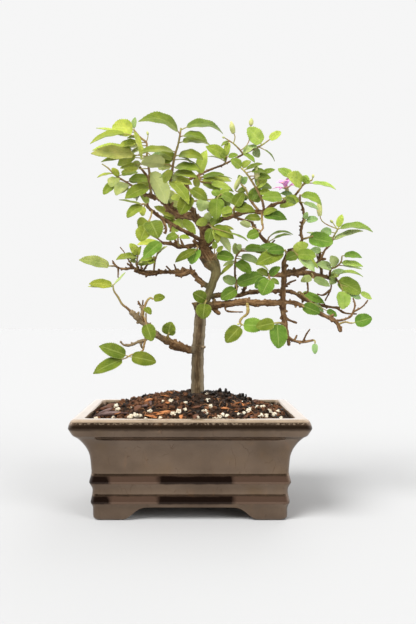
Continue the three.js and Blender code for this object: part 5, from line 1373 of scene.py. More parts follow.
@dataclass(frozen=True)
class GlazeFinish:
    """Glossy grey-brown glaze with painted light: a beige painted highlight on the rim's top,
    glints painted along its edge, and painted dark reflections on the ridges, the rim band
    and black patches on the ridges' front. It also darkens toward the foot.

    Heights and stretches are in mm; a stretch is measured from the pot's middle. The gloss
    colours tint what the glaze mirrors.
    """

    centre_x: float
    deep: Colour = (0.012, 0.007, 0.004)
    brown: Colour = (0.036, 0.022, 0.013)
    rust: Colour = (0.085, 0.042, 0.018)
    # Pale beige of the painted highlight on the rim's top and of the painted glints along its edge.
    thin: Colour = (0.27, 0.205, 0.14)
    ridge: Colour = (0.058, 0.034, 0.023)
    # Near black: the painted black reflection on the ridges' front, also mixed in toward the foot.
    near_black: Colour = (0.006, 0.003, 0.002)
    ridges: tuple[Pair, ...] = ((11.4, 16.4), (24.3, 29.3))
    rim_band: Pair = (60.2, 63.4)
    rim_edge: float = 64.2
    # Stretches across the front where the ridges carry the painted black reflection, in mm.
    black: tuple[Pair, ...] = ((-90.0, -49.0), (-18.0, 30.0))
    gloss_dull: Colour = (0.76, 0.55, 0.40)
    gloss_bright: Colour = (1.0, 0.75, 0.56)
    gloss_gold: Colour = (0.86, 0.58, 0.34)
    gloss_craze: Colour = (0.44, 0.29, 0.20)
    # Dim reflection tints, painted shade on the ridges, the rim band and the black patches.
    gloss_ridge: Colour = (0.32, 0.24, 0.19)
    gloss_rim: Colour = (0.13, 0.095, 0.07)
    gloss_black: Colour = (0.10, 0.08, 0.07)
    crazing: tuple[Pair, ...] = ((62.0, 0.006), (170.0, 0.012))
    roughness: float = 0.09
    refraction: float = 2.4

    def between(self, table: NodeTable, value: Any, span: Pair, soft: float) -> Any:
        """Return 1 where a place in metres lies within a span in mm, with soft ends.

        Args:
            table: The material's nodes.
            value: A place along one axis, in metres.
            span: Where it begins and ends, in mm.
            soft: Half the width of each soft end, in mm.

        Returns:
            A number from 0 to 1.
        """
        low, high = span
        rise = table.fade(value, (low - soft) * MM, (low + soft) * MM)
        fall = table.fade(value, (high + soft) * MM, (high - soft) * MM)
        return table.sum("MULTIPLY", rise, fall)

    def cracks(self, table: NodeTable, scale: float, width: float) -> Any:
        """Return where thin broken cracks run, about upright, in some patches.

        Args:
            table: The material's nodes.
            scale: How many cells there are in a metre.
            width: How wide a crack is, as a share of a cell.

        Returns:
            1 in a crack and 0 beside it.
        """
        bend = table.node("ShaderNodeTexNoise", {"Vector": table.place(), "Scale": 90.0}).outputs[1]
        shift = table.node("ShaderNodeVectorMath", {0: bend, 1: (0.006, 0.006, 0.006)},
                           operation="MULTIPLY").outputs[0]
        bent = table.node("ShaderNodeVectorMath", {0: table.place(), 1: shift}).outputs[0]
        lines = table.node("ShaderNodeTexVoronoi", {
            "Vector": table.stretch(bent, (1.0, 1.0, 0.28)), "Scale": scale,
        }, feature="DISTANCE_TO_EDGE").outputs["Distance"]
        patch = table.fade(table.noise(table.place(), 1.1 * scale, 2.0), 0.54, 0.64)
        return table.sum("MULTIPLY", table.fade(lines, width, width * 0.4), patch)

    def dark_reflection_bands(self, table: NodeTable) -> tuple[Any, Any, Any]:
        """Return where dark reflections are painted: the ridge bands, the black patches on their
        front, and the rim band.

        Args:
            table: The material's nodes.

        Returns:
            How strongly each shows, 0 to 1: the ridges, the black and the rim.
        """
        x, y, z = table.split(table.place())
        wobble = table.sum("MULTIPLY", table.noise(table.place(), 190.0, 3.0), 0.005)
        x = table.sum("ADD", table.sum("SUBTRACT", x, self.centre_x), wobble)
        z = table.sum("ADD", z, table.sum("MULTIPLY", wobble, 0.25))
        first, second = (self.between(table, z, span, 0.5) for span in self.ridges)
        on_ridge = table.sum("MAXIMUM", first, second)
        left, middle = (self.between(table, x, span, 1.6) for span in self.black)
        black = table.sum("MULTIPLY", on_ridge, table.sum("MAXIMUM", left, middle))
        # The black reflection is painted on the front side only.
        black = table.sum("MULTIPLY", black, table.fade(y, 0.02, -0.04))
        rim = self.between(table, z, self.rim_band, 0.6)
        return on_ridge, black, rim

    def dress(self) -> bpy.types.Material:
        """Return the material.

        Returns:
            The finished material.
        """
        table = NodeTable("pot_glaze")
        cloud = table.noise(table.place(), 34.0, 5.0, 0.62)
        streak = table.noise(table.stretch(table.place(), (190.0, 190.0, 22.0)), 1.0, 3.0)
        body = table.ramp(cloud, [(0.32, self.deep), (0.62, self.brown)])
        body = table.mix(table.sum("MULTIPLY", table.fade(streak, 0.58, 0.74), 0.5),
                         body, self.rust)
        ridge_band, black, rim = self.dark_reflection_bands(table)
        _, _, z = table.split(table.place())
        foot = table.sum("MULTIPLY", table.fade(z, 11.0 * MM, 8.0 * MM), 0.4)
        # Darker toward the foot, ridge colour on the ridges, and painted dark reflection: near
        # black on the black patches and deep brown on the rim band.
        body = table.mix(foot, table.mix(ridge_band, body, self.ridge), self.near_black)
        body = table.mix(rim, table.mix(black, body, self.near_black), self.deep)
        # Painted highlight: the rim's top and specks along its edge take the pale beige, standing
        # in for the bright surroundings that the glaze mirrors there.
        speck = table.noise(table.place(), 700.0, 2.0)
        edge = self.between(table, z, (self.rim_edge - 0.8, self.rim_edge), 0.4)
        edge_glints = table.sum("MULTIPLY", edge, table.fade(speck, 0.48, 0.70))
        highlight_mottle = table.fade(table.noise(table.place(), 120.0, 3.0), 0.25, 0.60)
        top_highlight = table.sum("MULTIPLY", table.fade(z, self.rim_edge * MM, (self.rim_edge + 0.6) * MM),
                         table.sum("ADD", table.sum("MULTIPLY", highlight_mottle, 0.35), 0.6))
        body = table.mix(table.sum("MAXIMUM", edge_glints, top_highlight), body, self.thin)
        broad, close = (self.cracks(table, scale, width) for scale, width in self.crazing)
        craze = table.sum("MAXIMUM", broad, close)
        gold = table.fade(table.noise(table.place(), 21.0, 3.0), 0.56, 0.70)
        mirror = table.mix(table.fade(cloud, 0.35, 0.70), self.gloss_dull, self.gloss_bright)
        mirror = table.mix(table.sum("MULTIPLY", gold, 0.7), mirror, self.gloss_gold)
        mirror = table.mix(craze, mirror, self.gloss_craze)
        # Painted shade: reflections dimmed on the ridges, the rim band and the black patches.
        for place, strength, gloss in ((ridge_band, 0.75, self.gloss_ridge), (rim, 0.85, self.gloss_rim),
                                       (black, 0.9, self.gloss_black)):
            mirror = table.mix(table.sum("MULTIPLY", place, strength), mirror, gloss)
        table.surface(Base_Color=body, Roughness=self.roughness, IOR=self.refraction,
                      Specular_Tint=mirror)
        ripple = table.noise(table.place(), 48.0, 2.0)
        table.bump(ripple, 0.16, 0.0008)
        return table.material


@dataclass(frozen=True)
class BarkFinish:
    """Streaked bark that follows each limb, greener and tan where the mark says so, and pale at cut
    ends and where the mark paints rim light on the trunk's sides.
    """

    name: str
    dark: Colour
    middle: Colour
    light: Colour
    green: Colour = (0.215, 0.190, 0.080)
    # Pale: bare wood at cut ends, and painted rim light on the trunk's sides.
    pale: Colour = (0.36, 0.30, 0.20)
    tan: Colour = (0.26, 0.20, 0.115)

    def dress(self) -> bpy.types.Material:
        """Return the material.

        Returns:
            The finished material.
        """
        table = NodeTable(self.name)
        space = table.mark("bark_space")
        streaks = table.noise(table.stretch(space, (900.0, 900.0, 110.0)), 1.0, 5.0, 0.65)
        patches = table.noise(table.stretch(space, (260.0, 260.0, 150.0)), 1.0, 3.0)
        colour = table.ramp(streaks, [(0.3, self.dark), (0.52, self.middle), (0.72, self.light)])
        colour = table.mix(table.fade(patches, 0.45, 0.7), colour, self.dark)
        green, pale, tan = table.split(table.mark("bark_tint"))
        grown = table.sum("ADD", table.sum("MULTIPLY", table.fade(streaks, 0.35, 0.60), 0.55), 0.4)
        colour = table.mix(table.sum("MULTIPLY", green, grown), colour, self.green)
        colour = table.mix(table.sum("MULTIPLY", tan, 0.7), colour, self.tan)
        # Pale: painted rim light on the trunk's sides, and the cut ends.
        colour = table.mix(table.sum("MULTIPLY", pale, 0.6, clamp=True), colour, self.pale)
        table.surface(Base_Color=colour, Roughness=0.82, Specular_IOR_Level=0.3)
        rough = table.sum("ADD", streaks, table.sum("MULTIPLY", patches, 0.7))
        table.bump(rough, 0.8, 0.0005)
        return table.material


@dataclass(frozen=True)
class LeafFinish:
    """Satin leaf with a light rib, side veins and a fine net above and a paler underside."""

    under: Colour = (0.44, 0.47, 0.20)
    vein: Colour = (0.56, 0.60, 0.20)
    veins: float = 8.0
    slant: float = 0.42

    def vein_lines(self, table: NodeTable, along: Any, out: Any) -> tuple[Any, Any]:
        """Return how strongly the middle rib and the side veins show.

        Args:
            table: The material's nodes.
            along: The share of the blade's length.
            out: The way out from the rib, 1 at the edge.

        Returns:
            How strongly each shows, 0 to 1: the rib and the side veins.
        """
        rib = table.fade(out, 0.09, 0.015)
        slanted = table.sum("SUBTRACT", along, table.sum("MULTIPLY", out, self.slant))
        turn = table.sum("FRACT", table.sum("MULTIPLY", slanted, self.veins))
        ridge = table.sum("ABSOLUTE", table.sum("SUBTRACT", turn, 0.5))
        line = table.sum("MULTIPLY", table.fade(ridge, 0.38, 0.5), table.fade(out, 1.0, 0.2))
        return rib, line

    def dress(self) -> bpy.types.Material:
        """Return the material.

        Returns:
            The finished material.
        """
        table = NodeTable("leaf_blade")
        along, side, face = table.split(table.mark("leaf_space"))
        out = table.sum("ABSOLUTE", side)
        rib, line = self.vein_lines(table, along, out)
        tone = table.mark("leaf_tone")
        broad = table.noise(table.place(), 130.0, 2.0)
        fine = table.noise(table.place(), 900.0, 2.0)
        cloud = table.mix(table.fade(broad, 0.32, 0.70), (0.70, 0.76, 0.62), (1.22, 1.14, 1.15))
        grain = table.mix(table.fade(fine, 0.3, 0.7), (0.86, 0.88, 0.78), (1.12, 1.10, 1.2))
        blade = table.mix(1.0, table.mix(1.0, tone, cloud, "MULTIPLY"), grain, "MULTIPLY")
        margin = table.sum("MULTIPLY", table.fade(out, 0.86, 0.98), 0.30)
        lines = table.sum("MAXIMUM", table.sum("MULTIPLY", rib, 0.22),
                          table.sum("MULTIPLY", line, 0.16))
        lines = table.sum("MAXIMUM", lines, margin)
        upper = table.mix(lines, blade, self.vein)
        lower = table.mix(0.5, upper, self.under)
        below = table.fade(face, 0.2, -0.2)
        table.surface(
            Base_Color=table.mix(below, upper, lower), Roughness=0.46,
            Specular_IOR_Level=0.22, Subsurface_Weight=0.1,
            Subsurface_Radius=(0.8, 1.0, 0.12), Subsurface_Scale=0.0006,
        )
        relief = table.sum("SUBTRACT", 1.0, table.sum("MAXIMUM", rib, line))
        relief = table.sum("ADD", relief, table.sum("MULTIPLY", fine, 0.2))
        table.bump(relief, 0.5, 0.0003)
        return table.material


@dataclass(frozen=True)
class StemFinish:
    """Young wood: brown where it leaves the old wood, tan and green toward its tip."""

    green: Colour = (0.34, 0.32, 0.09)
    tan: Colour = (0.30, 0.185, 0.070)
    brown: Colour = (0.150, 0.078, 0.030)

    def dress(self) -> bpy.types.Material:
        """Return the material.

        Returns:
            The finished material.
        """
        table = NodeTable("young_stem")
        cloud = table.noise(table.place(), 170.0, 4.0)
        young = table.ramp(cloud, [(0.40, self.tan), (0.58, self.green)])
        woody = table.ramp(cloud, [(0.35, self.brown), (0.75, self.tan)])
        age, _, _ = table.split(table.mark("stem_age"))
        table.surface(Base_Color=table.mix(age, young, woody), Roughness=0.6)
        table.bump(table.noise(table.place(), 1500.0, 2.0), 0.6, 0.0003)
        return table.material


@dataclass(frozen=True)
class CloudFinish:
    """A plain ground of two or three cloudy colours with a fine relief."""

    name: str
    stops: Stops
    scale: float
    roughness: float
    relief: float = 0.0004
    relief_scale: float = 1200.0

    def dress(self) -> bpy.types.Material:
        """Return the material.

        Returns:
            The finished material.
        """
        table = NodeTable(self.name)
        cloud = table.noise(table.place(), self.scale, 4.0, 0.6)
        table.surface(Base_Color=table.ramp(cloud, list(self.stops)), Roughness=self.roughness)
        table.bump(table.noise(table.place(), self.relief_scale, 3.0), 0.7, self.relief)
        return table.material


@dataclass(frozen=True)
class PetalFinish:
    """A blade whose colour runs from its foot to its tip, with another underside."""

    name: str
    foot: Colour
    middle: Colour
    tip: Colour
    under: Colour

    def dress(self) -> bpy.types.Material:
        """Return the material.

        Returns:
            The finished material.
        """
        table = NodeTable(self.name)
        along, side, face = table.split(table.mark("leaf_space"))
        stripes = table.noise(table.stretch(table.mark("leaf_space"), (2.0, 14.0, 1.0)), 1.0, 2.0)
        colour = table.ramp(along, [(0.02, self.foot), (0.35, self.middle), (0.95, self.tip)])
        shade = table.mix(table.fade(stripes, 0.35, 0.65), (0.82, 0.78, 0.84), (1.1, 1.08, 1.1))
        upper = table.mix(1.0, colour, shade, "MULTIPLY")
        below = table.fade(face, 0.2, -0.2)
        table.surface(
            Base_Color=table.mix(below, upper, self.under), Roughness=0.55,
            Subsurface_Weight=0.15, Subsurface_Radius=(0.8, 0.4, 0.6),
            Subsurface_Scale=0.0008,
        )
        return table.material


@dataclass
class Pot:
    """The rectangular pot: four corner feet, two raised bands, a flared neck and a rim."""

    bench: Bench
    half_width: float = 76.6
    half_depth: float = 59.1
    corner: float = 4.2
    corner_steps: int = 7
    apron: float = 8.5
    foot_length: float = 14.5
    foot_reach: float = 34.0
    drain_radius: float = 6.0
    drain_spread: float = 28.0
    outside: tuple[Pair, ...] = (
        (61, 0), (62.4, 1.5), (62.6, 5), (62.7, 8.0), (63.4, 9.8), (64.0, 11.4),
        (63.6, 13.6), (63.1, 16.2), (62.9, 18.2), (63.1, 20.4), (64.2, 22.8), (64.8, 24.4),
        (64.3, 26.8), (63.7, 29.2), (63.5, 31), (63.8, 35), (64.4, 41), (66.1, 46),
        (68.9, 50.5), (71.4, 53.4), (73.2, 54.8), (74.2, 55.6), (75.0, 57), (76.2, 59.2),
        (76.6, 60.6), (76.2, 62.4), (75.6, 64.0), (74.8, 65.2), (73.4, 65.9), (71.5, 66.1))
    inside: tuple[Pair, ...] = (
        (67.6, 66), (66.9, 64.8), (65.6, 60), (60.4, 47), (57.8, 31), (57.2, 14))

    def profile(self) -> list[tuple[float, float]]:
        """Return half widths and heights, smooth outside and over the rim to the floor.

        Returns:
            Half the width and the height of each ring, in mm.
        """
        outer = SmoothRoute(np.array(self.outside, float))
        outer_count = 2 * (len(self.outside) - 1)
        inner = SmoothRoute(np.array(self.inside, float))
        inner_count = 2 * (len(self.inside) - 1)
        rings = [*outer.at(np.arange(outer_count + 1) / outer_count)]
        rings += [*inner.at(np.arange(inner_count + 1) / inner_count)]
        return [(float(half), float(z)) for half, z in rings]

    def raise_walls(self) -> bpy.types.Object:
        """Extrude a rounded rectangle up the outside, over the rim and down the inside.

        Returns:
            The pot, still without its arches and drain holes.
        """
        narrower = self.half_width - self.half_depth
        rings = self.profile()
        half, height = rings[0]
        bpy.ops.mesh.primitive_plane_add(size=2, location=(self.bench.centre_x, 0, 0))
        pot = bpy.context.object
        pot.name = "pot_body"
        pot.scale = (half * MM, (half - narrower) * MM, 1)
        bpy.ops.object.transform_apply(location=False, rotation=False, scale=True)
        self.bench.open_mesh()
        bpy.ops.mesh.bevel(
            offset=self.corner * MM, segments=self.corner_steps, affect="VERTICES")
        middle = (self.bench.centre_x, 0, 0)
        for next_half, next_height in rings[1:]:
            rise = (next_height - height) * MM
            bpy.ops.mesh.extrude_region_move(TRANSFORM_OT_translate={"value": (0, 0, rise)})
            wider = (next_half / half, (next_half - narrower) / (half - narrower), 1)
            bpy.ops.transform.resize(value=wider, center_override=middle)
            half, height = next_half, next_height
        self.bench.close_mesh()
        return pot

    def arch_cutter(self, half_span: float, turned: bool) -> bpy.types.Object:
        """Make the prism that cuts the apron's opening between two feet.

        Args:
            half_span: Half the opening's length on the ground, in mm.
            turned: True for the openings of the short sides.

        Returns:
            The prism.
        """
        narrow = half_span - (self.foot_reach - self.foot_length)
        middle = (half_span + narrow) / 2
        t = np.linspace(0, 1, 9)[:, None]
        ends = np.array([[half_span, 0], [middle, 0], [middle, self.apron], [narrow, self.apron]])
        curve = ((1 - t) ** 3 * ends[0] + 3 * (1 - t) ** 2 * t * ends[1]
                 + 3 * (1 - t) * t**2 * ends[2] + t**3 * ends[3])
        right = [(half_span, -1.0), *map(tuple, curve)]
        outline = right + [(-x, z) for x, z in reversed(right)]
        reach = self.half_width + 10
        spots = np.array([(reach, x, z) if turned else (x, reach, z) for x, z in outline])
        bpy.ops.mesh.primitive_circle_add(vertices=len(outline), fill_type="NGON")
        cutter = bpy.context.object
        self.bench.move_spots(cutter, self.bench.to_frame(spots))
        cutter.location = (0, 0, 0)
        self.bench.open_mesh()
        back = (-2 * reach * MM, 0, 0) if turned else (0, -2 * reach * MM, 0)
        bpy.ops.mesh.extrude_region_move(TRANSFORM_OT_translate={"value": back})
        self.bench.close_mesh()
        return cutter

    def cut(self, pot: bpy.types.Object, cutter: bpy.types.Object) -> None:
        """Take a cutter's space out of the pot and drop the cutter."""
        self.bench.modify(pot, "BOOLEAN", operation="DIFFERENCE", object=cutter, solver="EXACT")
        bpy.data.objects.remove(cutter)

    def build(self) -> None:
        """Build the pot and dress it."""
        pot = self.raise_walls()
        foot = self.outside[0][0]
        narrower = self.half_width - self.half_depth
        self.cut(pot, self.arch_cutter(foot - self.foot_length, turned=False))
        self.cut(pot, self.arch_cutter(foot - narrower - self.foot_length, turned=True))
        for side in (-1, 1):
            where = (self.bench.centre_x + side * self.drain_spread * MM, 0, self.apron * MM * 1.3)
            bpy.ops.mesh.primitive_cylinder_add(
                vertices=40, radius=self.drain_radius * MM, depth=0.02, location=where)
            self.cut(pot, bpy.context.object)
        glaze = GlazeFinish(self.bench.centre_x).dress()
        self.bench.deliver(pot, "glaze", ("pot",), (glaze,), sharp=32)


@dataclass
class Earth:
    """The mound of soil with its crumbs, bark chips and white grains."""

    bench: Bench
    trunk_x: float
    edge: float = 62.0
    mound: float = 15.0
    half_width: float = 70.0
    half_depth: float = 52.0
    roundness: float = 1.7
    floor: float = 14.3
    gap: float = 0.35
    corner: float = 4.0
    narrower: float = 17.5
    inside: tuple[Pair, ...] = Pot.inside[2:]
    broad_lumps: Pair = (0.11, 1.5)
    fine_lumps: Pair = (0.55, 1.1)
    heap_height: float = 1.0
    heap_beside: float = 22.0
    heap_spread: Pair = (13.0, 20.0)
    wall: Pair = (66.0, 48.5)
    wall_fade: float = 6.0
    scatter_half: Pair = (64.5, 47.0)
    search: float = 46.0
    seen_half: Pair = (62.0, 45.0)
    moist_beside: float = 8.0
    moist_reach: float = 12.0
    red_reach: float = 34.0
    red_share: Pair = (0.08, 0.6)
    crumbs: int = 1500
    loose: int = 100
    loose_right: Pair = (21, 10)
    loose_back: Pair = (-3, 9)
    small_chips: int = 170
    grains: int = 46
    fibres: int = 130
    swell_pitch: float = 1.3
    lobe_pitch: float = 3.1
    lobe_share: float = 0.45
    shard_taper: float = 0.62
    shard_half_width: float = 0.66
    torn_seed: int = 31
    heap_depth: float = -2.0
    squeeze: float = 0.6
    draws: random.Random = field(default_factory=lambda: random.Random(31))

    def height(self, x: float, y: float) -> float:
        """Return the height of the mound's smooth top."""
        spread = math.hypot(x / self.half_width, y / self.half_depth)
        return self.edge + self.mound * max(0.0, 1 - spread**self.roundness)

    def rough_height(self, x: float, y: float) -> float:
        """Return the height of the mound's top with its lumps.

        Args:
            x: Millimetres to the right of the pot's middle.
            y: Millimetres behind the pot's middle.

        Returns:
            The height in mm.
        """
        (pitch, tall), (fine_pitch, fine_tall) = self.broad_lumps, self.fine_lumps
        broad = noise.noise(Vector((x * pitch, y * pitch, 3.0))) * tall
        fine = noise.noise(Vector((x * fine_pitch, y * fine_pitch, 9.0))) * fine_tall
        beside = (x - self.trunk_x - self.heap_beside) / self.heap_spread[0]
        heap = self.heap_height * math.exp(-(beside**2) - (y / self.heap_spread[1]) ** 2)
        rim = min(1.0, (self.wall[0] - abs(x)) / self.wall_fade,
                  (self.wall[1] - abs(y)) / self.wall_fade)
        return self.height(x, y) + max(0.0, rim) * (broad + fine + heap)

    def on_mound(self, column: float, row: float) -> tuple[float, float]:
        """Return where the mound shows at a column and row of the photograph.

        Args:
            column: A column of the photograph.
            row: A row of the photograph.

        Returns:
            How far right of the pot's middle it is and how far behind, in mm.
        """
        for depth in np.arange(-self.search, self.search, 0.5):
            x, y, z = EYE.place(np.array([column, row, depth]))
            if z <= self.height(x, y):
                return float(x), float(y)
        return float(x), 0.0

    def build_mound(self) -> None:
        """Build the mound's body, from the pot's floor to its uneven top."""
        half = self.inside[0][0] + 0.8
        bpy.ops.mesh.primitive_grid_add(x_subdivisions=110, y_subdivisions=80, size=2)
        mound = bpy.context.object
        mound.name = "soil_mound"
        spots = self.bench.spots_of(mound)
        spots[:, 0] *= half - self.gap
        spots[:, 1] *= half - self.narrower - self.gap
        spots[:, 2] = [self.rough_height(x, y) for x, y in spots[:, :2]]
        self.bench.move_spots(mound, self.bench.to_frame(spots))
        self.bench.open_mesh()
        bpy.ops.mesh.region_to_loop()
        level = self.edge
        middle = (self.bench.centre_x, 0, 0)
        for next_half, next_level in self.inside:
            next_level = max(next_level, self.floor)
            drop = (next_level - level) * MM
            bpy.ops.mesh.extrude_region_move(TRANSFORM_OT_translate={"value": (0, 0, drop)})
            ratio = (
                (next_half - self.gap) / (half - self.gap),
                (next_half - self.narrower - self.gap) / (half - self.narrower - self.gap), 1)
            bpy.ops.transform.resize(value=ratio, center_override=middle)
            half, level = next_half, next_level
        bpy.ops.mesh.edge_face_add()
        self.bench.close_mesh()
        finish = CloudFinish(
            "dark_soil", ((0.3, (0.008, 0.005, 0.003)), (0.6, (0.034, 0.018, 0.010)),
                          (0.85, (0.075, 0.036, 0.018))), 420.0, 0.95, 0.0012, 900.0)
        self.bench.deliver(mound, "soil", ("soil",), (finish.dress(),), sharp=60)

    def lump(self, name: str, roughness: float, flatness: float, detail: int) -> bpy.types.Object:
        """Model one grain, to be copied: a ball made uneven, lobed and then flattened.

        Args:
            name: What the grain is called.
            roughness: How uneven it is.
            flatness: Its height as a share of its width.
            detail: How finely the ball is divided.

        Returns:
            The grain, with a radius of about 1.
        """
        bpy.ops.mesh.primitive_ico_sphere_add(subdivisions=detail, radius=1)
        grain = bpy.context.object
        grain.name = name
        spots = self.bench.spots_of(grain)
        turn = self.draws.random() * 50
        for index, spot in enumerate(spots):
            swell = noise.noise(Vector(spot) * self.swell_pitch + Vector((turn, 0, 0)))
            lobes = noise.noise(Vector(spot) * self.lobe_pitch + Vector((0, turn, 0)))
            spots[index] = spot * (1 + roughness * swell + self.lobe_share * roughness * lobes)
        spots[:, 1] *= self.draws.uniform(0.7, 1.0)
        spots[:, 2] *= flatness
        self.bench.move_spots(grain, spots)
        return grain

    def shard(self, name: str, length: float, thick: float) -> bpy.types.Object:
        """Model one bark chip, to be copied: a flake that tapers to torn ends.

        Args:
            name: What the chip is called.
            length: Half its length.
            thick: Half its thickness.

        Returns:
            The chip, at a size of 1.
        """
        bpy.ops.mesh.primitive_cube_add(size=2)
        chip = bpy.context.object
        chip.name = name
        bpy.ops.object.mode_set(mode="EDIT")
        bpy.ops.mesh.subdivide(number_cuts=5)
        bpy.ops.object.mode_set(mode="OBJECT")
        spots = self.bench.spots_of(chip)
        turn = self.draws.random() * 50
        taper = 1 - self.shard_taper * np.abs(spots[:, 0]) ** 2.2
        spots[:, 1] *= taper
        spots[:, 2] *= taper * (1 - 0.35 * np.abs(spots[:, 1]) ** 2)
        spots[:, 2] += 0.35 * spots[:, 1] ** 2 - 0.25 * spots[:, 0] ** 2
        # Without a seed, noise_vector gives every run another form.
        noise.seed_set(self.torn_seed)
        for index, spot in enumerate(spots):
            broad = noise.noise_vector(Vector(spot) * 0.9 + Vector((turn, 0, 0)))
            torn = noise.noise_vector(Vector(spot) * 3.4 + Vector((0, turn, 0)))
            spots[index] = spot + np.array(broad) * 0.30 + np.array(torn) * 0.14
        spots *= [length, self.shard_half_width, thick]
        self.bench.move_spots(chip, spots)
        return chip

    def scatter(
        self, name: str, masters: list[bpy.types.Object], lie: list[Grain],
        finishes: tuple[bpy.types.Material, ...], slot: str = "soil",
    ) -> None:
        """Copy the masters to where the grains lie and join them into one piece.

        Args:
            name: The piece's name.
            masters: The shapes to copy. They are dropped afterwards.
            lie: Where each copy lies.
            finishes: The materials, by the grains' tints.
            slot: The record's material slot.
        """
        parts = []
        for grain in lie:
            master = masters[self.draws.randrange(len(masters))]
            twin = self.bench.copy_of(master)
            spots = self.bench.spots_of(twin) * grain.size
            spin = Vector((self.draws.uniform(-0.5, 0.5), self.draws.uniform(-0.5, 0.5), 1))
            turn = spin.to_track_quat("Z", "X").to_matrix()
            angle = self.draws.uniform(0, 2 * math.pi)
            flat = np.array([[math.cos(angle), -math.sin(angle), 0],
                             [math.sin(angle), math.cos(angle), 0], [0, 0, 1]])
            spots = spots @ flat.T @ np.array(turn).T
            where = np.array([grain.x, grain.y, self.rough_height(grain.x, grain.y) + grain.lift])
            self.bench.move_spots(twin, self.bench.to_frame(spots + where))
            tint = self.draws.randrange(len(finishes))
            twin.data.materials.clear()
            twin.data.materials.append(finishes[grain.tint if grain.tint >= 0 else tint])
            parts.append(twin)
        piece = self.bench.join(name, parts)
        for master in masters:
            bpy.data.objects.remove(master)
        self.bench.deliver(piece, slot, sharp=50)

    def anywhere(
        self, low: float, high: float, lift: float, reach: float = 1.0, clear: float = 6.5,
    ) -> Grain:
        """Return a grain at an even random place, clear of the trunk and the pot's wall.

        Args:
            low: The smallest size in mm.
            high: The greatest size in mm.
            lift: How high it lies, as a share of its size.
            reach: How many times its size it keeps from the wall.
            clear: How far it keeps from the trunk, in mm.

        Returns:
            The grain.
        """
        while True:
            size = low + (high - low) * self.draws.random() ** 2
            x, y = (self.draws.uniform(-half, half) for half in self.scatter_half)
            inside = all(abs(place) < half + 0.5 - size * reach
                         for place, half in zip((x, y), self.scatter_half))
            if inside and math.hypot(x - self.trunk_x, self.squeeze * y) > clear:
                return Grain(x, y, size, lift * size)

    def crumb(self) -> Grain:
        """Return a crumb: moist and black beside the trunk, redder away from it.

        Returns:
            The crumb, with its finish chosen.
        """
        grain = self.anywhere(0.5, 2.1, 0.25)
        beside = math.hypot(grain.x - self.trunk_x - self.moist_beside, self.squeeze * grain.y)
        least, most = self.red_share
        share = (beside - self.moist_reach) / self.red_reach
        red = self.draws.random() < min(most, max(least, share))
        return replace(grain, tint=2 if red else self.draws.choice((0, 0, 1)))

    def lay_fibres(self) -> None:
        """Lay thin roots and bark fibres over the crumbs."""
        runs = []
        for _ in range(self.fibres):
            start = self.anywhere(1.0, 1.0, 0.0, 5.0, 18.0)
            heading = self.draws.uniform(0, 2 * math.pi)
            bend = self.draws.uniform(-0.35, 0.35)
            long = self.draws.uniform(2.0, 7.0)
            spots = []
            for step in np.linspace(0, long, 7):
                x = start.x + step * math.cos(heading + bend * step / 2)
                y = start.y + step * math.sin(heading + bend * step / 2)
                arch = 0.9 * math.sin(math.pi * step / long)
                spots.append([x, y, self.rough_height(x, y) + 0.5 + arch])
            thin = self.draws.uniform(0.14, 0.34)
            runs.append(Run(np.array(spots), thin * np.array([0.5, 0.9, 1, 1, 1, 0.8, 0.4])))
        finish = CloudFinish("soil_fibre", ((0.3, (0.10, 0.045, 0.02)), (0.6, (0.26, 0.13, 0.06)),
                                            (0.8, (0.42, 0.26, 0.14))), 90.0, 0.85)
        fibres = self.bench.sweep("soil_fibres", runs, 1)
        self.bench.deliver(fibres, "soil", (), (finish.dress(),), sharp=60)

    def build(self) -> None:
        """Build the mound and all that lies on it."""
        self.build_mound()
        dark = CloudFinish("soil_crumb", ((0.3, (0.010, 0.006, 0.004)),
                                          (0.7, (0.055, 0.029, 0.016))), 300.0, 0.75)
        black = CloudFinish("moist_crumb", ((0.3, (0.004, 0.003, 0.002)),
                                            (0.7, (0.018, 0.011, 0.007))), 300.0, 0.5)
        umber = CloudFinish("fibre_crumb", ((0.3, (0.055, 0.023, 0.011)),
                                            (0.7, (0.18, 0.078, 0.036))), 300.0, 0.9)
        lumps = [self.lump(f"crumb_{k}", 0.9, 0.75, 2) for k in range(4)]
        crumbs = [self.crumb() for _ in range(self.crumbs)]
        crumbs += self.heap_crumbs()
        self.scatter("soil_crumbs", lumps, crumbs,
                     (dark.dress(), black.dress(), umber.dress()))
        self.lay_fibres()
        self.lay_chips()
        self.lay_grains()

    def lay_chips(self) -> None:
        """Lay the bark chips: the large ones of the photograph and small ones between."""
        purple = CloudFinish("grey_chip", ((0.3, (0.060, 0.034, 0.030)),
                                           (0.6, (0.150, 0.090, 0.078)),
                                           (0.8, (0.260, 0.180, 0.150))), 180.0, 0.7)
        brown = CloudFinish("brown_chip", ((0.3, (0.045, 0.018, 0.010)),
                                           (0.8, (0.170, 0.070, 0.036))), 220.0, 0.8)
        orange = CloudFinish("orange_chip", ((0.3, (0.30, 0.095, 0.03)),
                                             (0.8, (0.55, 0.24, 0.09))), 260.0, 0.8)
        shards = [self.shard(f"shard_{k}", length, thick)
                  for k, (length, thick) in enumerate(((1.6, 0.22), (1.1, 0.30), (2.1, 0.26)))]
        chips = [self.seen(*row) for row in CHIPS]
        chips += [self.anywhere(0.7, 1.9, 0.3, 2.4, 17.0) for _ in range(self.small_chips)]
        self.scatter("bark_chips", shards, chips,
                     (purple.dress(), brown.dress(), orange.dress(), brown.dress()))

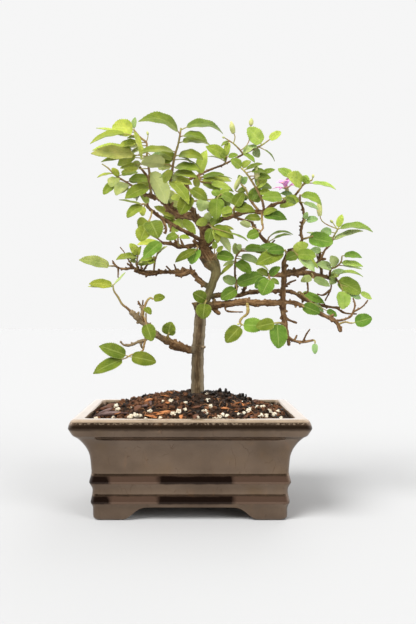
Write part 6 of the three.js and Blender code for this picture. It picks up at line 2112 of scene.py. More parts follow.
    def lay_grains(self) -> None:
        """Lay the pale, crumbly perlite grains."""
        white = CloudFinish("white_grain", ((0.3, (0.40, 0.34, 0.23)), (0.6, (0.74, 0.68, 0.54)),
                                            (0.8, (0.86, 0.82, 0.72))), 420.0, 0.85)
        cream = CloudFinish("cream_grain", ((0.3, (0.36, 0.29, 0.19)), (0.6, (0.66, 0.58, 0.44)),
                                            (0.8, (0.78, 0.72, 0.60))), 420.0, 0.85)
        pebbles = [self.lump(f"grain_{k}", 0.75, 0.8, 3) for k in range(5)]
        grains = [self.seen(*row) for row in GRAINS]
        grains += [self.anywhere(0.35, 1.1, 0.35) for _ in range(self.grains)]
        self.scatter("white_grains", pebbles, grains, (white.dress(), cream.dress()))

    def heap_crumbs(self) -> list[Grain]:
        """Return the loose crumbs that stand up on the heap beside the trunk.

        Returns:
            The crumbs: the scattered ones, then those the photograph shows.
        """
        heap = []
        for _ in range(self.loose):
            x = self.trunk_x + self.draws.gauss(*self.loose_right)
            y = self.draws.gauss(*self.loose_back)
            size = self.draws.uniform(0.5, 1.5)
            lift = self.draws.uniform(0.2, 1.1)
            heap.append(Grain(x, y, size, lift, self.draws.choice((0, 1, 1))))
        for column, row, size in HEAP:
            x, y, top = EYE.place(np.array([column, row, self.heap_depth]))
            ground = self.rough_height(x, y)
            steps = max(1, math.ceil((top - ground) / (0.9 * size)))
            for step in range(steps + 1):
                share = step / steps
                near = self.draws.uniform(-0.35, 0.35) * size * (1 - share)
                lift = share * (top - ground - 0.7 * size)
                heap.append(Grain(x + near, y, size * (1.3 - 0.45 * share), lift, 1))
        return heap

    def seen(self, column: float, row: float, size: float, tint: int) -> Grain:
        """Return a grain that the photograph shows at a column and row.

        Args:
            column: Its column.
            row: Its row.
            size: Half its size in mm.
            tint: Which finish it has.

        Returns:
            The grain, where the mound shows there.
        """
        x, y = (min(max(place, -half), half)
                for place, half in zip(self.on_mound(column, row), self.seen_half))
        return Grain(x, y, size, 0.45 * size, tint)


@dataclass(frozen=True)
class Grain:
    """One loose piece on the soil: its place, its size in mm and which finish it has."""

    x: float
    y: float
    size: float
    lift: float
    tint: int = -1


# The chips and grains that the photograph shows: column, row, half size in mm and finish.
CHIPS: list[tuple[float, float, float, int]] = [
    (103, 415, 4.6, 0), (112, 417, 4.2, 0), (106, 410, 4.0, 1), (98, 412, 3.4, 1),
    (113, 407, 2.6, 1), (121, 415, 2.2, 2), (125, 415, 2.4, 0), (130, 408, 2.4, 1),
    (138, 410, 3.0, 1), (145, 409, 2.6, 0), (148, 402, 2.8, 2), (151, 418, 2.2, 2),
    (155, 414, 1.8, 2), (160, 408, 2.2, 1), (163, 414, 2.4, 2), (165, 398, 1.6, 2),
    (176, 398, 1.4, 1), (181, 419, 1.8, 2), (190, 416, 2.4, 1), (196, 418, 2.2, 1),
    (214, 401, 1.0, 2), (226, 409, 1.8, 2), (238, 406, 1.6, 2), (243, 406, 1.4, 2),
    (247, 405, 1.6, 2), (231, 418, 1.6, 2), (222, 414, 1.6, 2), (256, 403, 2.6, 1),
    (262, 407, 2.0, 1), (250, 414, 1.6, 2), (246, 418, 1.4, 1), (268, 410, 1.8, 1),
    (274, 412, 1.6, 1), (258, 417, 1.4, 2), (134, 402, 1.6, 1), (171, 408, 1.4, 2),
]
GRAINS: list[tuple[float, float, float, int]] = [
    (94, 420, 1.5, 1), (116, 408, 1.6, 0), (118, 412, 1.8, 1), (113, 420, 0.9, 1),
    (122, 421, 0.9, 1), (131, 418, 2.0, 1), (136, 418, 2.0, 0), (140, 417, 1.2, 1),
    (146, 420, 1.6, 0), (150, 413, 1.5, 0), (132, 408, 1.0, 0), (163, 403, 1.0, 1),
    (171, 403, 1.6, 0), (173, 416, 1.6, 1), (178, 415, 1.7, 0), (160, 421, 1.3, 1),
    (185, 412, 1.2, 1), (209, 402, 1.7, 0), (204, 408, 1.2, 0), (210, 408, 1.4, 0),
    (206, 412, 1.1, 0), (219, 418, 1.6, 1), (223, 416, 1.2, 0), (227, 417, 1.5, 0),
    (239, 417, 1.2, 0), (244, 414, 1.0, 0), (248, 412, 1.7, 0), (250, 410, 1.0, 0),
    (257, 408, 1.3, 0), (263, 410, 1.8, 0), (261, 418, 1.8, 0), (266, 418, 1.5, 1),
    (270, 414, 1.5, 0), (274, 417, 1.5, 0), (278, 413, 1.3, 0), (281, 418, 1.4, 0),
    (232, 396, 0.9, 1), (198, 421, 1.2, 1), (215, 421, 1.3, 1), (252, 420, 1.1, 0),
]
# The ragged crumbs that stand against the light behind the trunk: column, row and half size.
HEAP: list[tuple[float, float, float]] = [
    (216, 390, 1.2), (220, 388, 1.4), (226, 388, 1.4), (229, 391, 1.1), (213, 392, 1.0),
    (239, 395, 1.3), (243, 393, 1.1), (209, 392, 0.8), (234, 396, 1.0), (246, 394, 0.7),
]


@dataclass(frozen=True)
class Limb:
    """One branch or twig of the table."""

    name: str
    parent: str
    start: float
    end: float
    route: Route


@dataclass
class BarkSpace:
    """Middle lines of the wood, to lay bark along each limb wherever it turns."""

    centres: list[np.ndarray] = field(default_factory=list)
    headings: list[np.ndarray] = field(default_factory=list)
    sides: list[np.ndarray] = field(default_factory=list)
    travelled: list[float] = field(default_factory=list)
    apart: float = 37.0

    def follow(self, run: Run) -> None:
        """Remember a limb's middle line and how far along it each place is.

        Args:
            run: The limb's middle line.
        """
        side = FRONT
        way = self.apart * len(self.centres)
        last = len(run.centres) - 1
        for index, centre in enumerate(run.centres):
            heading = unit(run.centres[min(index + 1, last)] - run.centres[max(index - 1, 0)])
            side = side - heading * (side @ heading)
            if np.linalg.norm(side) < 0.2:
                side = np.array([1.0, 0, 0]) - heading * heading[0]
            side = unit(side)
            if index:
                way += float(np.linalg.norm(centre - run.centres[index - 1]))
            self.centres.append(centre)
            self.headings.append(heading)
            self.sides.append(side)
            self.travelled.append(way)

    def lay(self, spots: np.ndarray) -> np.ndarray:
        """Return each spot's place beside its limb as if the limb were straight, in mm.

        Args:
            spots: Places in mm, one in each line.

        Returns:
            The laid places, one in each line: across, up and along.
        """
        tree = kdtree.KDTree(len(self.centres))
        for index, centre in enumerate(self.centres):
            tree.insert(centre, index)
        tree.balance()
        nearest = np.array([tree.find(spot)[1] for spot in spots])
        centres = np.array(self.centres)[nearest]
        headings = np.array(self.headings)[nearest]
        sides = np.array(self.sides)[nearest]
        out = spots - centres
        ups = np.cross(headings, sides)
        way = np.array(self.travelled)[nearest] + np.einsum("ij,ij->i", out, headings)
        return np.stack([np.einsum("ij,ij->i", out, sides),
                         np.einsum("ij,ij->i", out, ups), way], axis=1)


@dataclass
class Wood:
    """The trunk, its branches and its twigs.

    Lumps and nodes are swellings, each with its pitch and its size. The green line gives
    heights and the places across of the green upper stem. The pale stripes are painted rim
    light on the trunk's two sides: each stands at a share of the trunk's radius and fades over
    another. The tan limb begins at a place across, turns tan over a width, and lies about a
    height, within half of its own.
    """

    bench: Bench
    skeleton: Skeleton
    obstacles: Obstacles
    knot_swell: float = 0.1
    knot_spacing: float = 9.0
    heavy: float = 2.9
    trunk_segments: int = 20
    test_steps: int = 8
    pitch: float = 0.8
    voxel: float = 0.44
    relief: float = 0.16
    twig_relief: float = 0.06
    lumps: Pair = (0.45, 0.16)
    nodes: Pair = (1.1, 0.20)
    calm_trunk: float = 0.3
    root_swell: float = 0.5
    root_length: float = 1.3
    end_share: float = 0.72
    tint_fade: float = 6.0
    green_line: tuple[Pair, ...] = (
        (132, 6.5), (140, 9.5), (150, 15.0), (160, 18.0), (172, 16.0))
    green_spread: float = 5.0
    # Painted rim light: pale stripes down the trunk's left and right sides, below this height.
    rim_light_top: float = 134.0
    rim_light_right: Pair = (0.78, 0.30)
    rim_light_left: Pair = (-0.85, 0.35)
    cut_pale: float = 1.6
    tan_limb: tuple[float, ...] = (-14, 12, 121, 17)
    grey_top: float = 196.0
    cut_ends: tuple[str, ...] = ("pruned_top", "lower_left", "dead_piece")
    space: BarkSpace = field(default_factory=BarkSpace)
    cut_runs: list[Run] = field(default_factory=list)
    thick_runs: list[Run] = field(default_factory=list)
    thin_runs: list[Run] = field(default_factory=list)
    draws: random.Random = field(default_factory=lambda: random.Random(5))

    def trunk_thickness(self, shares: np.ndarray) -> np.ndarray:
        """Return the trunk's thickness at shares of its way."""
        known = [spot[3] for spot in TRUNK_ROUTE]
        return np.interp(shares, np.linspace(0, 1, len(known)), known)

    def guard(self, curve: SmoothRoute, segments: int, thick: Callable) -> None:
        """Keep the leaves clear of a limb.

        Args:
            curve: The limb's middle line, in spots.
            segments: How many stretches it is taken in.
            thick: Its thickness as a function of its way.
        """
        count = segments * self.test_steps
        shares = np.arange(count + 1) / count
        radii = thick(shares) / 2 * (1 + self.knot_swell)
        self.obstacles.add("wood", EYE.place(curve.at(shares)), radii)

    def plan(self) -> None:
        """Trace the trunk and every limb of the model."""
        curve = self.skeleton.trace("trunk", None, TRUNK_ROUTE)
        self.guard(curve, self.trunk_segments, self.trunk_thickness)
        self.thick_runs.append(self.run_along(curve, self.trunk_thickness, 0, rooted=False))
        for index, row in enumerate(LIMB_ROWS):
            limb = Limb(*row)
            curve = self.skeleton.trace(limb.name, limb.parent, limb.route)
            thick = self.taper(limb)
            sturdy = limb.start > self.heavy
            segments = len(limb.route) if sturdy else len(limb.route) - 1
            self.guard(curve, segments, thick)
            runs = self.thick_runs if sturdy else self.thin_runs
            runs.append(self.run_along(curve, thick, index + 1, rooted=not sturdy))
            if limb.name in self.cut_ends:
                self.cut_runs.append(runs[-1])

    def plan_spurs(self) -> None:
        """Trace the fine spurs that only the visual model has."""
        for index, row in enumerate(SPUR_ROWS):
            limb = Limb(*row)
            curve = self.skeleton.trace(limb.name, limb.parent, limb.route)
            self.thin_runs.append(self.run_along(curve, self.taper(limb), index, rooted=True))

    def taper(self, limb: Limb) -> Callable:
        """Return a limb's thickness as a function of its way."""
        return lambda shares: limb.start + (limb.end - limb.start) * np.asarray(shares)

    def run_along(self, curve: SmoothRoute, thick: Callable, phase: int, rooted: bool) -> Run:
        """Return a limb's closely spaced middle line with its knotty radius.

        Args:
            curve: The limb's middle line, in spots.
            thick: Its thickness as a function of its way.
            phase: Sets its lumps apart from other limbs'. The trunk has 0.
            rooted: True where it swells at its foot.

        Returns:
            The middle line and its radii, in mm.
        """
        rough = EYE.place(curve.at(np.linspace(0, 1, 40)))
        length = float(np.sum(np.linalg.norm(np.diff(rough, axis=0), axis=1)))
        count = max(4, math.ceil(length / self.pitch))
        shares = np.arange(count + 1) / count
        centres = EYE.place(curve.at(shares))
        steps = np.linalg.norm(np.diff(centres, axis=0), axis=1)
        way = np.concatenate([[0.0], np.cumsum(steps)])
        wave = np.sin(2 * np.pi * way / self.knot_spacing + phase)
        (pitch, tall), (node_pitch, node_tall) = self.lumps, self.nodes
        lumps = [noise.noise(Vector((d * pitch, phase * 7.3, 1.0))) for d in way]
        nodes = [noise.noise(Vector((d * node_pitch, phase * 5.1, 7.0))) for d in way]
        calm = self.calm_trunk if phase == 0 else 1.0
        rough = tall * np.array(lumps) + node_tall * np.array(nodes)
        swell = calm * (self.knot_swell * wave + rough)
        radii = thick(shares) / 2 * (1 + swell)
        if rooted:
            radii = radii * (1 + self.root_swell * np.exp(-way / self.root_length))
        radii[-1] *= self.end_share
        run = Run(centres, radii)
        self.space.follow(run)
        return run

    def knots(self, runs: list[Run], every: float, size: float) -> list[Run]:
        """Return small stubs that stand on limbs: old buds and cut twigs.

        Args:
            runs: The limbs.
            every: About how far apart the stubs stand, in mm.
            size: The greatest radius of a stub, in mm.

        Returns:
            The stubs.
        """
        stubs = []
        for run in runs:
            way = 0.0
            due = every * self.draws.uniform(0.5, 1.0)
            for index in range(2, len(run.centres) - 2):
                step = run.centres[index + 1] - run.centres[index]
                way += float(np.linalg.norm(step))
                if way < due:
                    continue
                due = way + every * self.draws.uniform(0.6, 1.5)
                heading = unit(step)
                out = np.array([self.draws.gauss(0, 1) for _ in range(3)])
                out = unit(out - heading * (out @ heading))
                radius = run.radii[index]
                thick = min(size, radius * 0.62) * self.draws.uniform(0.75, 1.15)
                tall = thick * self.draws.uniform(0.9, 2.1)
                foot = run.centres[index] + out * radius * 0.5
                lean = unit(out + heading * self.draws.uniform(0.1, 0.8))
                steps = np.array([0.0, 0.5, 0.85, 1.0])
                centres = foot + np.outer(steps * (radius * 0.5 + tall), lean)
                stubs.append(Run(centres, thick * np.array([1.2, 1.0, 0.8, 0.45])))
        return stubs

    def tint(self, spots: np.ndarray) -> np.ndarray:
        """Mark the green upper stem, the painted rim light on the trunk's sides, the pale cut ends
        and the tan limb.

        Args:
            spots: Places on the bark in mm, one in each line.

        Returns:
            How green, pale and tan each place is, one in each line; the pale is painted rim light
            on the trunk's sides and the bare wood of cut ends.
        """
        height = spots[:, 2]
        levels, middles = zip(*self.green_line)
        rise = np.clip((height - levels[0]) / self.tint_fade, 0, 1)
        rise = rise * np.clip((levels[-1] - height) / self.tint_fade, 0, 1)
        middle = np.interp(height, levels, middles)
        near = np.exp(-(((spots[:, 0] - middle) / self.green_spread) ** 2))
        trunk = self.thick_runs[0]
        line = np.interp(height, trunk.centres[:, 2], trunk.centres[:, 0])
        radius = np.interp(height, trunk.centres[:, 2], trunk.radii)
        off = (spots[:, 0] - line) / radius
        # Painted rim light: pale stripes down the trunk's left and right sides.
        right, left = (np.exp(-(((off - line) / spread) ** 2))
                       for line, spread in (self.rim_light_right, self.rim_light_left))
        left = 0.55 * left
        low = np.clip((self.rim_light_top - height) / self.tint_fade, 0, 1) * (np.abs(off) < 1.3)
        pale = low * np.maximum(left, right)
        for run in self.cut_runs:
            heading = unit(run.centres[-1] - run.centres[-4])
            beyond = (spots - run.centres[-1]) @ heading
            away = np.linalg.norm(spots - run.centres[-1], axis=1)
            cut = (beyond > -0.1) & (away < 1.5 * run.radii[-1] + 0.4)
            pale = np.where(cut, self.cut_pale, pale)
        start, fade, level, half = self.tan_limb
        limb = np.clip((start - spots[:, 0]) / fade, 0, 1) * (np.abs(height - level) < half)
        return np.stack([rise * near, pale, limb], axis=1)

    def finish_piece(self, piece: bpy.types.Object, relief: float) -> None:
        """Lay the bark's coordinates on a piece and raise its relief.

        Args:
            piece: The wood's mesh.
            relief: How high its ridges stand, in mm.
        """
        metres = self.bench.spots_of(piece)
        spots = self.bench.places_of(piece)
        laid = self.space.lay(spots)
        normals = np.zeros(len(spots) * 3)
        piece.data.vertex_normals.foreach_get("vector", normals)
        normals = normals.reshape(-1, 3)
        ridges = np.array([
            noise.noise(Vector((x * 1.5, y * 1.5, way * 0.30)))
            + 0.6 * noise.noise(Vector((x * 0.8, y * 0.8, way * 0.9 + 40)))
            for x, y, way in laid])
        self.bench.move_spots(piece, metres + normals * (ridges * relief * MM)[:, None])
        self.bench.mark(piece, "bark_space", laid * MM)
        self.bench.mark(piece, "bark_tint", self.tint(spots))

    def build(self) -> None:
        """Build the heavy wood as one grown-together piece, and the twigs rooted in it."""
        bark = BarkFinish("old_bark", (0.036, 0.022, 0.010), (0.088, 0.056, 0.028),
                          (0.195, 0.140, 0.080)).dress()
        twig_bark = BarkFinish("twig_bark", (0.060, 0.028, 0.012), (0.180, 0.100, 0.042),
                               (0.370, 0.240, 0.125)).dress()
        stubs = self.knots(self.thick_runs[1:], 3.0, 1.0)
        body = self.bench.sweep("trunk_and_branches_bark", self.thick_runs + stubs, 3)
        self.bench.modify(body, "REMESH", mode="VOXEL", voxel_size=self.voxel * MM)
        self.bench.modify(body, "SMOOTH", factor=0.5, iterations=2)
        self.finish_piece(body, self.relief)
        self.bench.deliver(body, "bark", ("trunk_and_branches",), (bark, twig_bark), sharp=80)
        self.choose_bark(body)
        buds = self.knots(self.thin_runs, 2.1, 0.75)
        twigs = self.bench.sweep("twigs", self.thin_runs + buds, 2)
        self.finish_piece(twigs, self.twig_relief)
        self.bench.deliver(twigs, "bark", ("trunk_and_branches",), (twig_bark,), sharp=80)

    def choose_bark(self, body: bpy.types.Object) -> None:
        """Give the trunk the grey bark and the branches the brown one.

        Args:
            body: The heavy wood's mesh, with both barks.
        """
        spots = self.bench.places_of(body)
        trunk = self.thick_runs[0]
        line_x = np.interp(spots[:, 2], trunk.centres[:, 2], trunk.centres[:, 0])
        line_r = np.interp(spots[:, 2], trunk.centres[:, 2], trunk.radii)
        away = np.hypot(spots[:, 0] - line_x, spots[:, 1])
        on_trunk = (away < line_r * 1.35 + 0.8) & (spots[:, 2] < self.grey_top)
        for face in body.data.polygons:
            face.material_index = 0 if on_trunk[face.vertices[0]] else 1


@dataclass
class LeafMaster:
    """One flat serrated blade, to be copied: 1 long, its half breadth 1, with a rib line."""

    bench: Bench
    teeth: int
    point: float = 0.30
    columns: int = 6
    notch: float = 0.89
    lean: float = 0.72
    fullness: float = 0.52
    early: float = 0.86

    def outline(self, along: np.ndarray) -> np.ndarray:
        """Return the half breadth at shares of the blade, round below and pointed above."""
        oval = 4 * along**self.early * (1 - along**self.early)
        return np.maximum(0, oval) ** (self.fullness + self.point * along**2)

    def model(self) -> bpy.types.Object:
        """Model the blade from a grid, with a thickness of 1 to be scaled on each copy.

        Returns:
            The blade, marked with its place along, across and which face.
        """
        rows = 2 * self.teeth
        bpy.ops.mesh.primitive_grid_add(
            x_subdivisions=rows, y_subdivisions=self.columns, size=2)
        blade = bpy.context.object
        blade.name = f"leaf_with_{self.teeth}_teeth"
        spots = self.bench.spots_of(blade)
        row = np.rint((spots[:, 0] + 1) / 2 * rows)
        tooth = np.floor(row / 2)
        peak = row % 2 == 1
        along = np.where(peak, tooth + self.lean, tooth) / self.teeth
        half = self.outline(along)
        out = np.abs(spots[:, 1])
        cut = np.where(peak, 1.0, self.notch)
        lag = out**3 * np.where(peak, 0.0, 0.25 / self.teeth) * (row > 0) * (row < rows)
        spots[:, 1] *= half * (1 - (1 - cut) * out**4)
        spots[:, 0] = along - lag
        self.bench.move_spots(blade, spots)
        self.bench.modify(blade, "SOLIDIFY", thickness=1.0, offset=0.0, use_even_offset=False)
        solid = self.bench.spots_of(blade)
        half = np.maximum(self.outline(np.clip(solid[:, 0], 0, 1)), 1e-3)
        side = np.clip(solid[:, 1] / half, -1, 1)
        face = np.sign(solid[:, 2])
        self.bench.mark(blade, "leaf_space", np.stack([solid[:, 0], side, face], axis=1))
        return blade


@dataclass
class Grower:
    """Lays copies of the leaf masters on their plans."""

    bench: Bench
    thickness: float = 0.42
    broader: float = 1.08
    greening: float = 0.0008
    broad: float = 0.56
    blunt: float = 0.04
    pointed: float = 0.30
    edge_waves: Pair = (2.2, 0.045)
    groove: Pair = (0.10, 0.16)
    quilt: float = 0.10
    veins: float = 8
    slant: float = 0.42
    droop: Pair = (0.1, 0.5)
    droop_start: float = 0.6
    edge_thinning: float = 0.35
    shade_range: float = 0.13
    warm_range: float = 0.08
    stalk_radii: Pair = (0.46, 0.30)
    masters: dict[tuple[int, float], bpy.types.Object] = field(default_factory=dict)
    draws: random.Random = field(default_factory=lambda: random.Random(17))

    def master_for(self, length: float, width: float) -> bpy.types.Object:
        """Return the master for a blade this long and wide in mm: broad blades end blunt.

        Args:
            length: The blade's length in mm.
            width: Its width in mm.

        Returns:
            The master, modelled where it is new.
        """
        teeth = 8 if length < 9 else 11 if length < 15 else 15
        point = self.blunt if width > self.broad * length else self.pointed
        kind = (teeth, point)
        if kind not in self.masters:
            self.masters[kind] = LeafMaster(self.bench, teeth, point).model()
        return self.masters[kind]

    def clear_masters(self) -> None:
        """Drop the masters once all leaves are laid."""
        for master in self.masters.values():
            bpy.data.objects.remove(master)

    def lay(self, plan: BladePlan, tone: Tone, waves: float = 1.0) -> bpy.types.Object:
        """Lay a copy of a master on a plan.

        Args:
            plan: Where the leaf lies.
            tone: Its colour, varied a little from leaf to leaf.
            waves: How wavy its edge is.

        Returns:
            The leaf's blade in the frame's metres.
        """
        blade = plan.length * (1 - plan.stalk)
        twin = self.bench.copy_of(self.master_for(blade, plan.width))
        flat = self.bench.spots_of(twin)
        along = np.clip(flat[:, 0], 0, 1)
        side = flat[:, 1]
        face = np.sign(flat[:, 2])
        shares = plan.stalk + (1 - plan.stalk) * along
        reach = side * plan.width / 2 * self.broader
        phase = self.draws.uniform(0, 2 * math.pi)
        turns, tall = self.edge_waves
        wide, deep = self.groove
        wave = np.sin(2 * np.pi * turns * along + phase + 1.2 * np.sign(side))
        lift = waves * tall * plan.width * wave * side**2
        groove = -deep * np.exp(-((side / wide) ** 2)) * np.sin(np.pi * along)
        quilt = self.quilt * np.cos(
            2 * np.pi * self.veins * (along - self.slant * np.abs(side)))
        lift += (groove + quilt * np.abs(side) * (1 - np.abs(side)) * 2) * min(1, plan.width / 7)
        droop = self.draws.uniform(*self.droop)
        lift -= droop * np.maximum(0, along - self.droop_start) ** 2 * blade
        thin = self.thickness * (1 - self.edge_thinning * np.abs(side)) / 2
        places = plan.spot(shares, reach, lift + face * thin)
        self.bench.move_spots(twin, self.bench.to_frame(places))
        one, zero = np.ones(1), np.zeros(1)
        shade = 1 + self.draws.uniform(-self.shade_range, self.shade_range)
        warm = 1 + self.draws.uniform(-self.warm_range, self.warm_range)
        warm *= 1 - self.greening * plan.spot(one, zero, zero)[0, 0]
        colour = np.array(tone.value) * [shade * warm, shade, shade / warm]
        self.bench.mark(twin, "leaf_tone", np.tile(colour, (len(flat), 1)))
        return twin

    def stalk_run(self, plan: BladePlan) -> Run:
        """Return the leaf's stalk, from inside the stem to the blade's foot.

        Args:
            plan: Where the leaf lies.

        Returns:
            The stalk's middle line and radii.
        """
        end = plan.stalk + 0.07 * (1 - plan.stalk)
        shares = np.linspace(0, end, 6)
        zero = np.zeros(6)
        return Run(plan.spot(shares, zero, zero - 0.05), np.linspace(*self.stalk_radii, 6))


@dataclass
class Spray:
    """One leafy stem with its leaves and buds, standing for one node of the model."""

    name: str
    parent: str
    start: float
    end: float
    route: Route
    leaves: list[LeafRow]
    buds: list[tuple]
    curve: SmoothRoute | None = None
    plans: list[tuple[BladePlan, Tone]] = field(default_factory=list)
    bud_runs: list[tuple[Run, Run]] = field(default_factory=list)

    bud_stalk = 0.45
    bud_form = ((0, 0.5), (0.3, 0.95), (0.55, 1), (0.85, 0.6), (1, 0.2))

    def plan_stem(self, skeleton: Skeleton, obstacles: Obstacles) -> None:
        """Trace the stem and its buds, and keep the leaves clear of them.

        Args:
            skeleton: The traced routes.
            obstacles: What the leaves are bent clear of.
        """
        self.curve = skeleton.trace(self.name, self.parent, self.route)
        count = (len(self.route) - 1) * 6
        places = EYE.place(self.curve.at(np.arange(count + 1) / count))
        obstacles.add(self.name, places, self.start / 2)
        for bud in self.buds:
            self.plan_bud(obstacles, *bud)

    def plan_bud(
        self, obstacles: Obstacles | None, share: float, route: Route, width: float,
        length: float,
    ) -> None:
        """Trace one bud on its stalk.

        Args:
            obstacles: Where to remember it, or None where it isn't kept clear of.
            share: Where it leaves the stem.
            route: Columns, rows and depths gained since the stem.
            width: The bud's thickness in mm.
            length: Its length in mm.
        """
        root = self.curve.at(np.array([share]))[0]
        spots = [root, *(np.array([c, r, root[2] + lean]) for c, r, lean in route)]
        path = SmoothRoute(EYE.place(np.array(spots)))
        fine = path.at(np.linspace(0, 1, 200 * (len(spots) - 1) + 1))
        way = np.concatenate([[0.0], np.cumsum(np.linalg.norm(np.diff(fine, axis=0), axis=1))])
        neck = max(0.0, 1 - length / way[-1])

        def at(shares: np.ndarray) -> np.ndarray:
            """Return places at even shares of the bud's whole way."""
            return np.stack([np.interp(shares * way[-1], way, fine[:, k]) for k in range(3)], 1)

        steps = len(route) * 2
        stalk_shares = neck * np.arange(steps) / steps
        form = np.array(self.bud_form)
        body_shares = neck + (1 - neck) * form[:, 0]
        body_radii = np.maximum(self.bud_stalk, width / 2 * form[:, 1])
        if obstacles is not None:
            centres = at(np.concatenate([stalk_shares, body_shares]))
            radii = np.concatenate([np.full(steps, self.bud_stalk), body_radii])
            obstacles.add(self.name, centres, radii)
        t = np.linspace(0, 1, 15)
        smooth = np.interp(t, form[:, 0], form[:, 1]) * 0.5 + np.sqrt(np.sin(np.pi * (
            0.12 + 0.86 * t) ** 0.8)) * 0.5
        body = Run(at(neck + (1 - neck) * t), width / 2 * smooth * (1 - 0.5 * t**6))
        stalk = Run(at(np.linspace(0, neck + 0.1 * (1 - neck), 8)), np.linspace(0.42, 0.34, 8))
        self.bud_runs.append((stalk, body))

    def plan_leaves(self, bender: LeafBender, rows: list[LeafRow]) -> None:
        """Bend these leaves clear and keep their plans.

        Args:
            bender: Finds each leaf a clear lie.
            rows: The leaves, in the order in which they are laid.
        """
        for row in rows:
            root = self.curve.at(np.array([row.share]))[0]
            plan = bender.settle(self.name, root, row)
            if plan is None:
                LOG.info("no room for a leaf of %s at %s, %s", self.name, row.column, row.row)
            else:
                self.plans.append((plan, Tone[row.tone]))

    def mark_age(self, bench: Bench, stem: bpy.types.Object, line: np.ndarray) -> None:
        """Mark the stem woody at its root and young toward its tip and on leaf stalks.

        Args:
            bench: Reads and marks the mesh.
            stem: The stem's mesh.
            line: The stem's middle line in mm.
        """
        spots = bench.places_of(stem)
        gaps = np.linalg.norm(spots[:, None, :] - line[None], axis=2)
        share = np.argmin(gaps, axis=1) / (len(line) - 1)
        woody = np.clip((self.start - 1.2) / 0.5, 0.35, 1.0)
        age = woody * np.clip(1.35 - 1.5 * share, 0, 1) * (np.min(gaps, axis=1) < 1.1)
        bench.mark(stem, "stem_age", np.stack([age, age, age], axis=1))

    def build(self, bench: Bench, grower: Grower, finishes: dict[str, Any]) -> None:
        """Build the stem, the leaves and the buds as one piece.

        Args:
            bench: Sweeps, joins and delivers.
            grower: Lays the leaves.
            finishes: The materials of leaf, stem and bud.
        """
        spots = EYE.place(self.curve.at(np.linspace(0, 1, 9 * (len(self.route) - 1) + 1)))
        taper = np.linspace(self.start / 2, self.end / 2, len(spots))
        knots = [noise.noise(Vector((0.9 * k, self.start * 31, 4.0))) for k in range(len(spots))]
        runs = [Run(spots, taper * (1.04 + 0.42 * np.array(knots)))]
        runs += [grower.stalk_run(plan) for plan, _ in self.plans]
        runs += [stalk for stalk, _ in self.bud_runs]
        stem = bench.sweep(self.name + "_stem", runs, 1)
        self.mark_age(bench, stem, spots)
        stem.data.materials.append(finishes["stem"])
        parts = [stem]
        for plan, tone in self.plans:
            leaf = grower.lay(plan, tone)
            leaf.data.materials.append(finishes["leaf"])
            parts.append(leaf)
        if self.bud_runs:
            buds = bench.sweep(self.name + "_bud", [body for _, body in self.bud_runs], 3)
            buds.data.materials.append(finishes["bud"])
            parts.append(buds)
        piece = bench.join(self.name + "_spray", parts)
        bench.deliver(piece, "leaf", (self.name,), sharp=70)


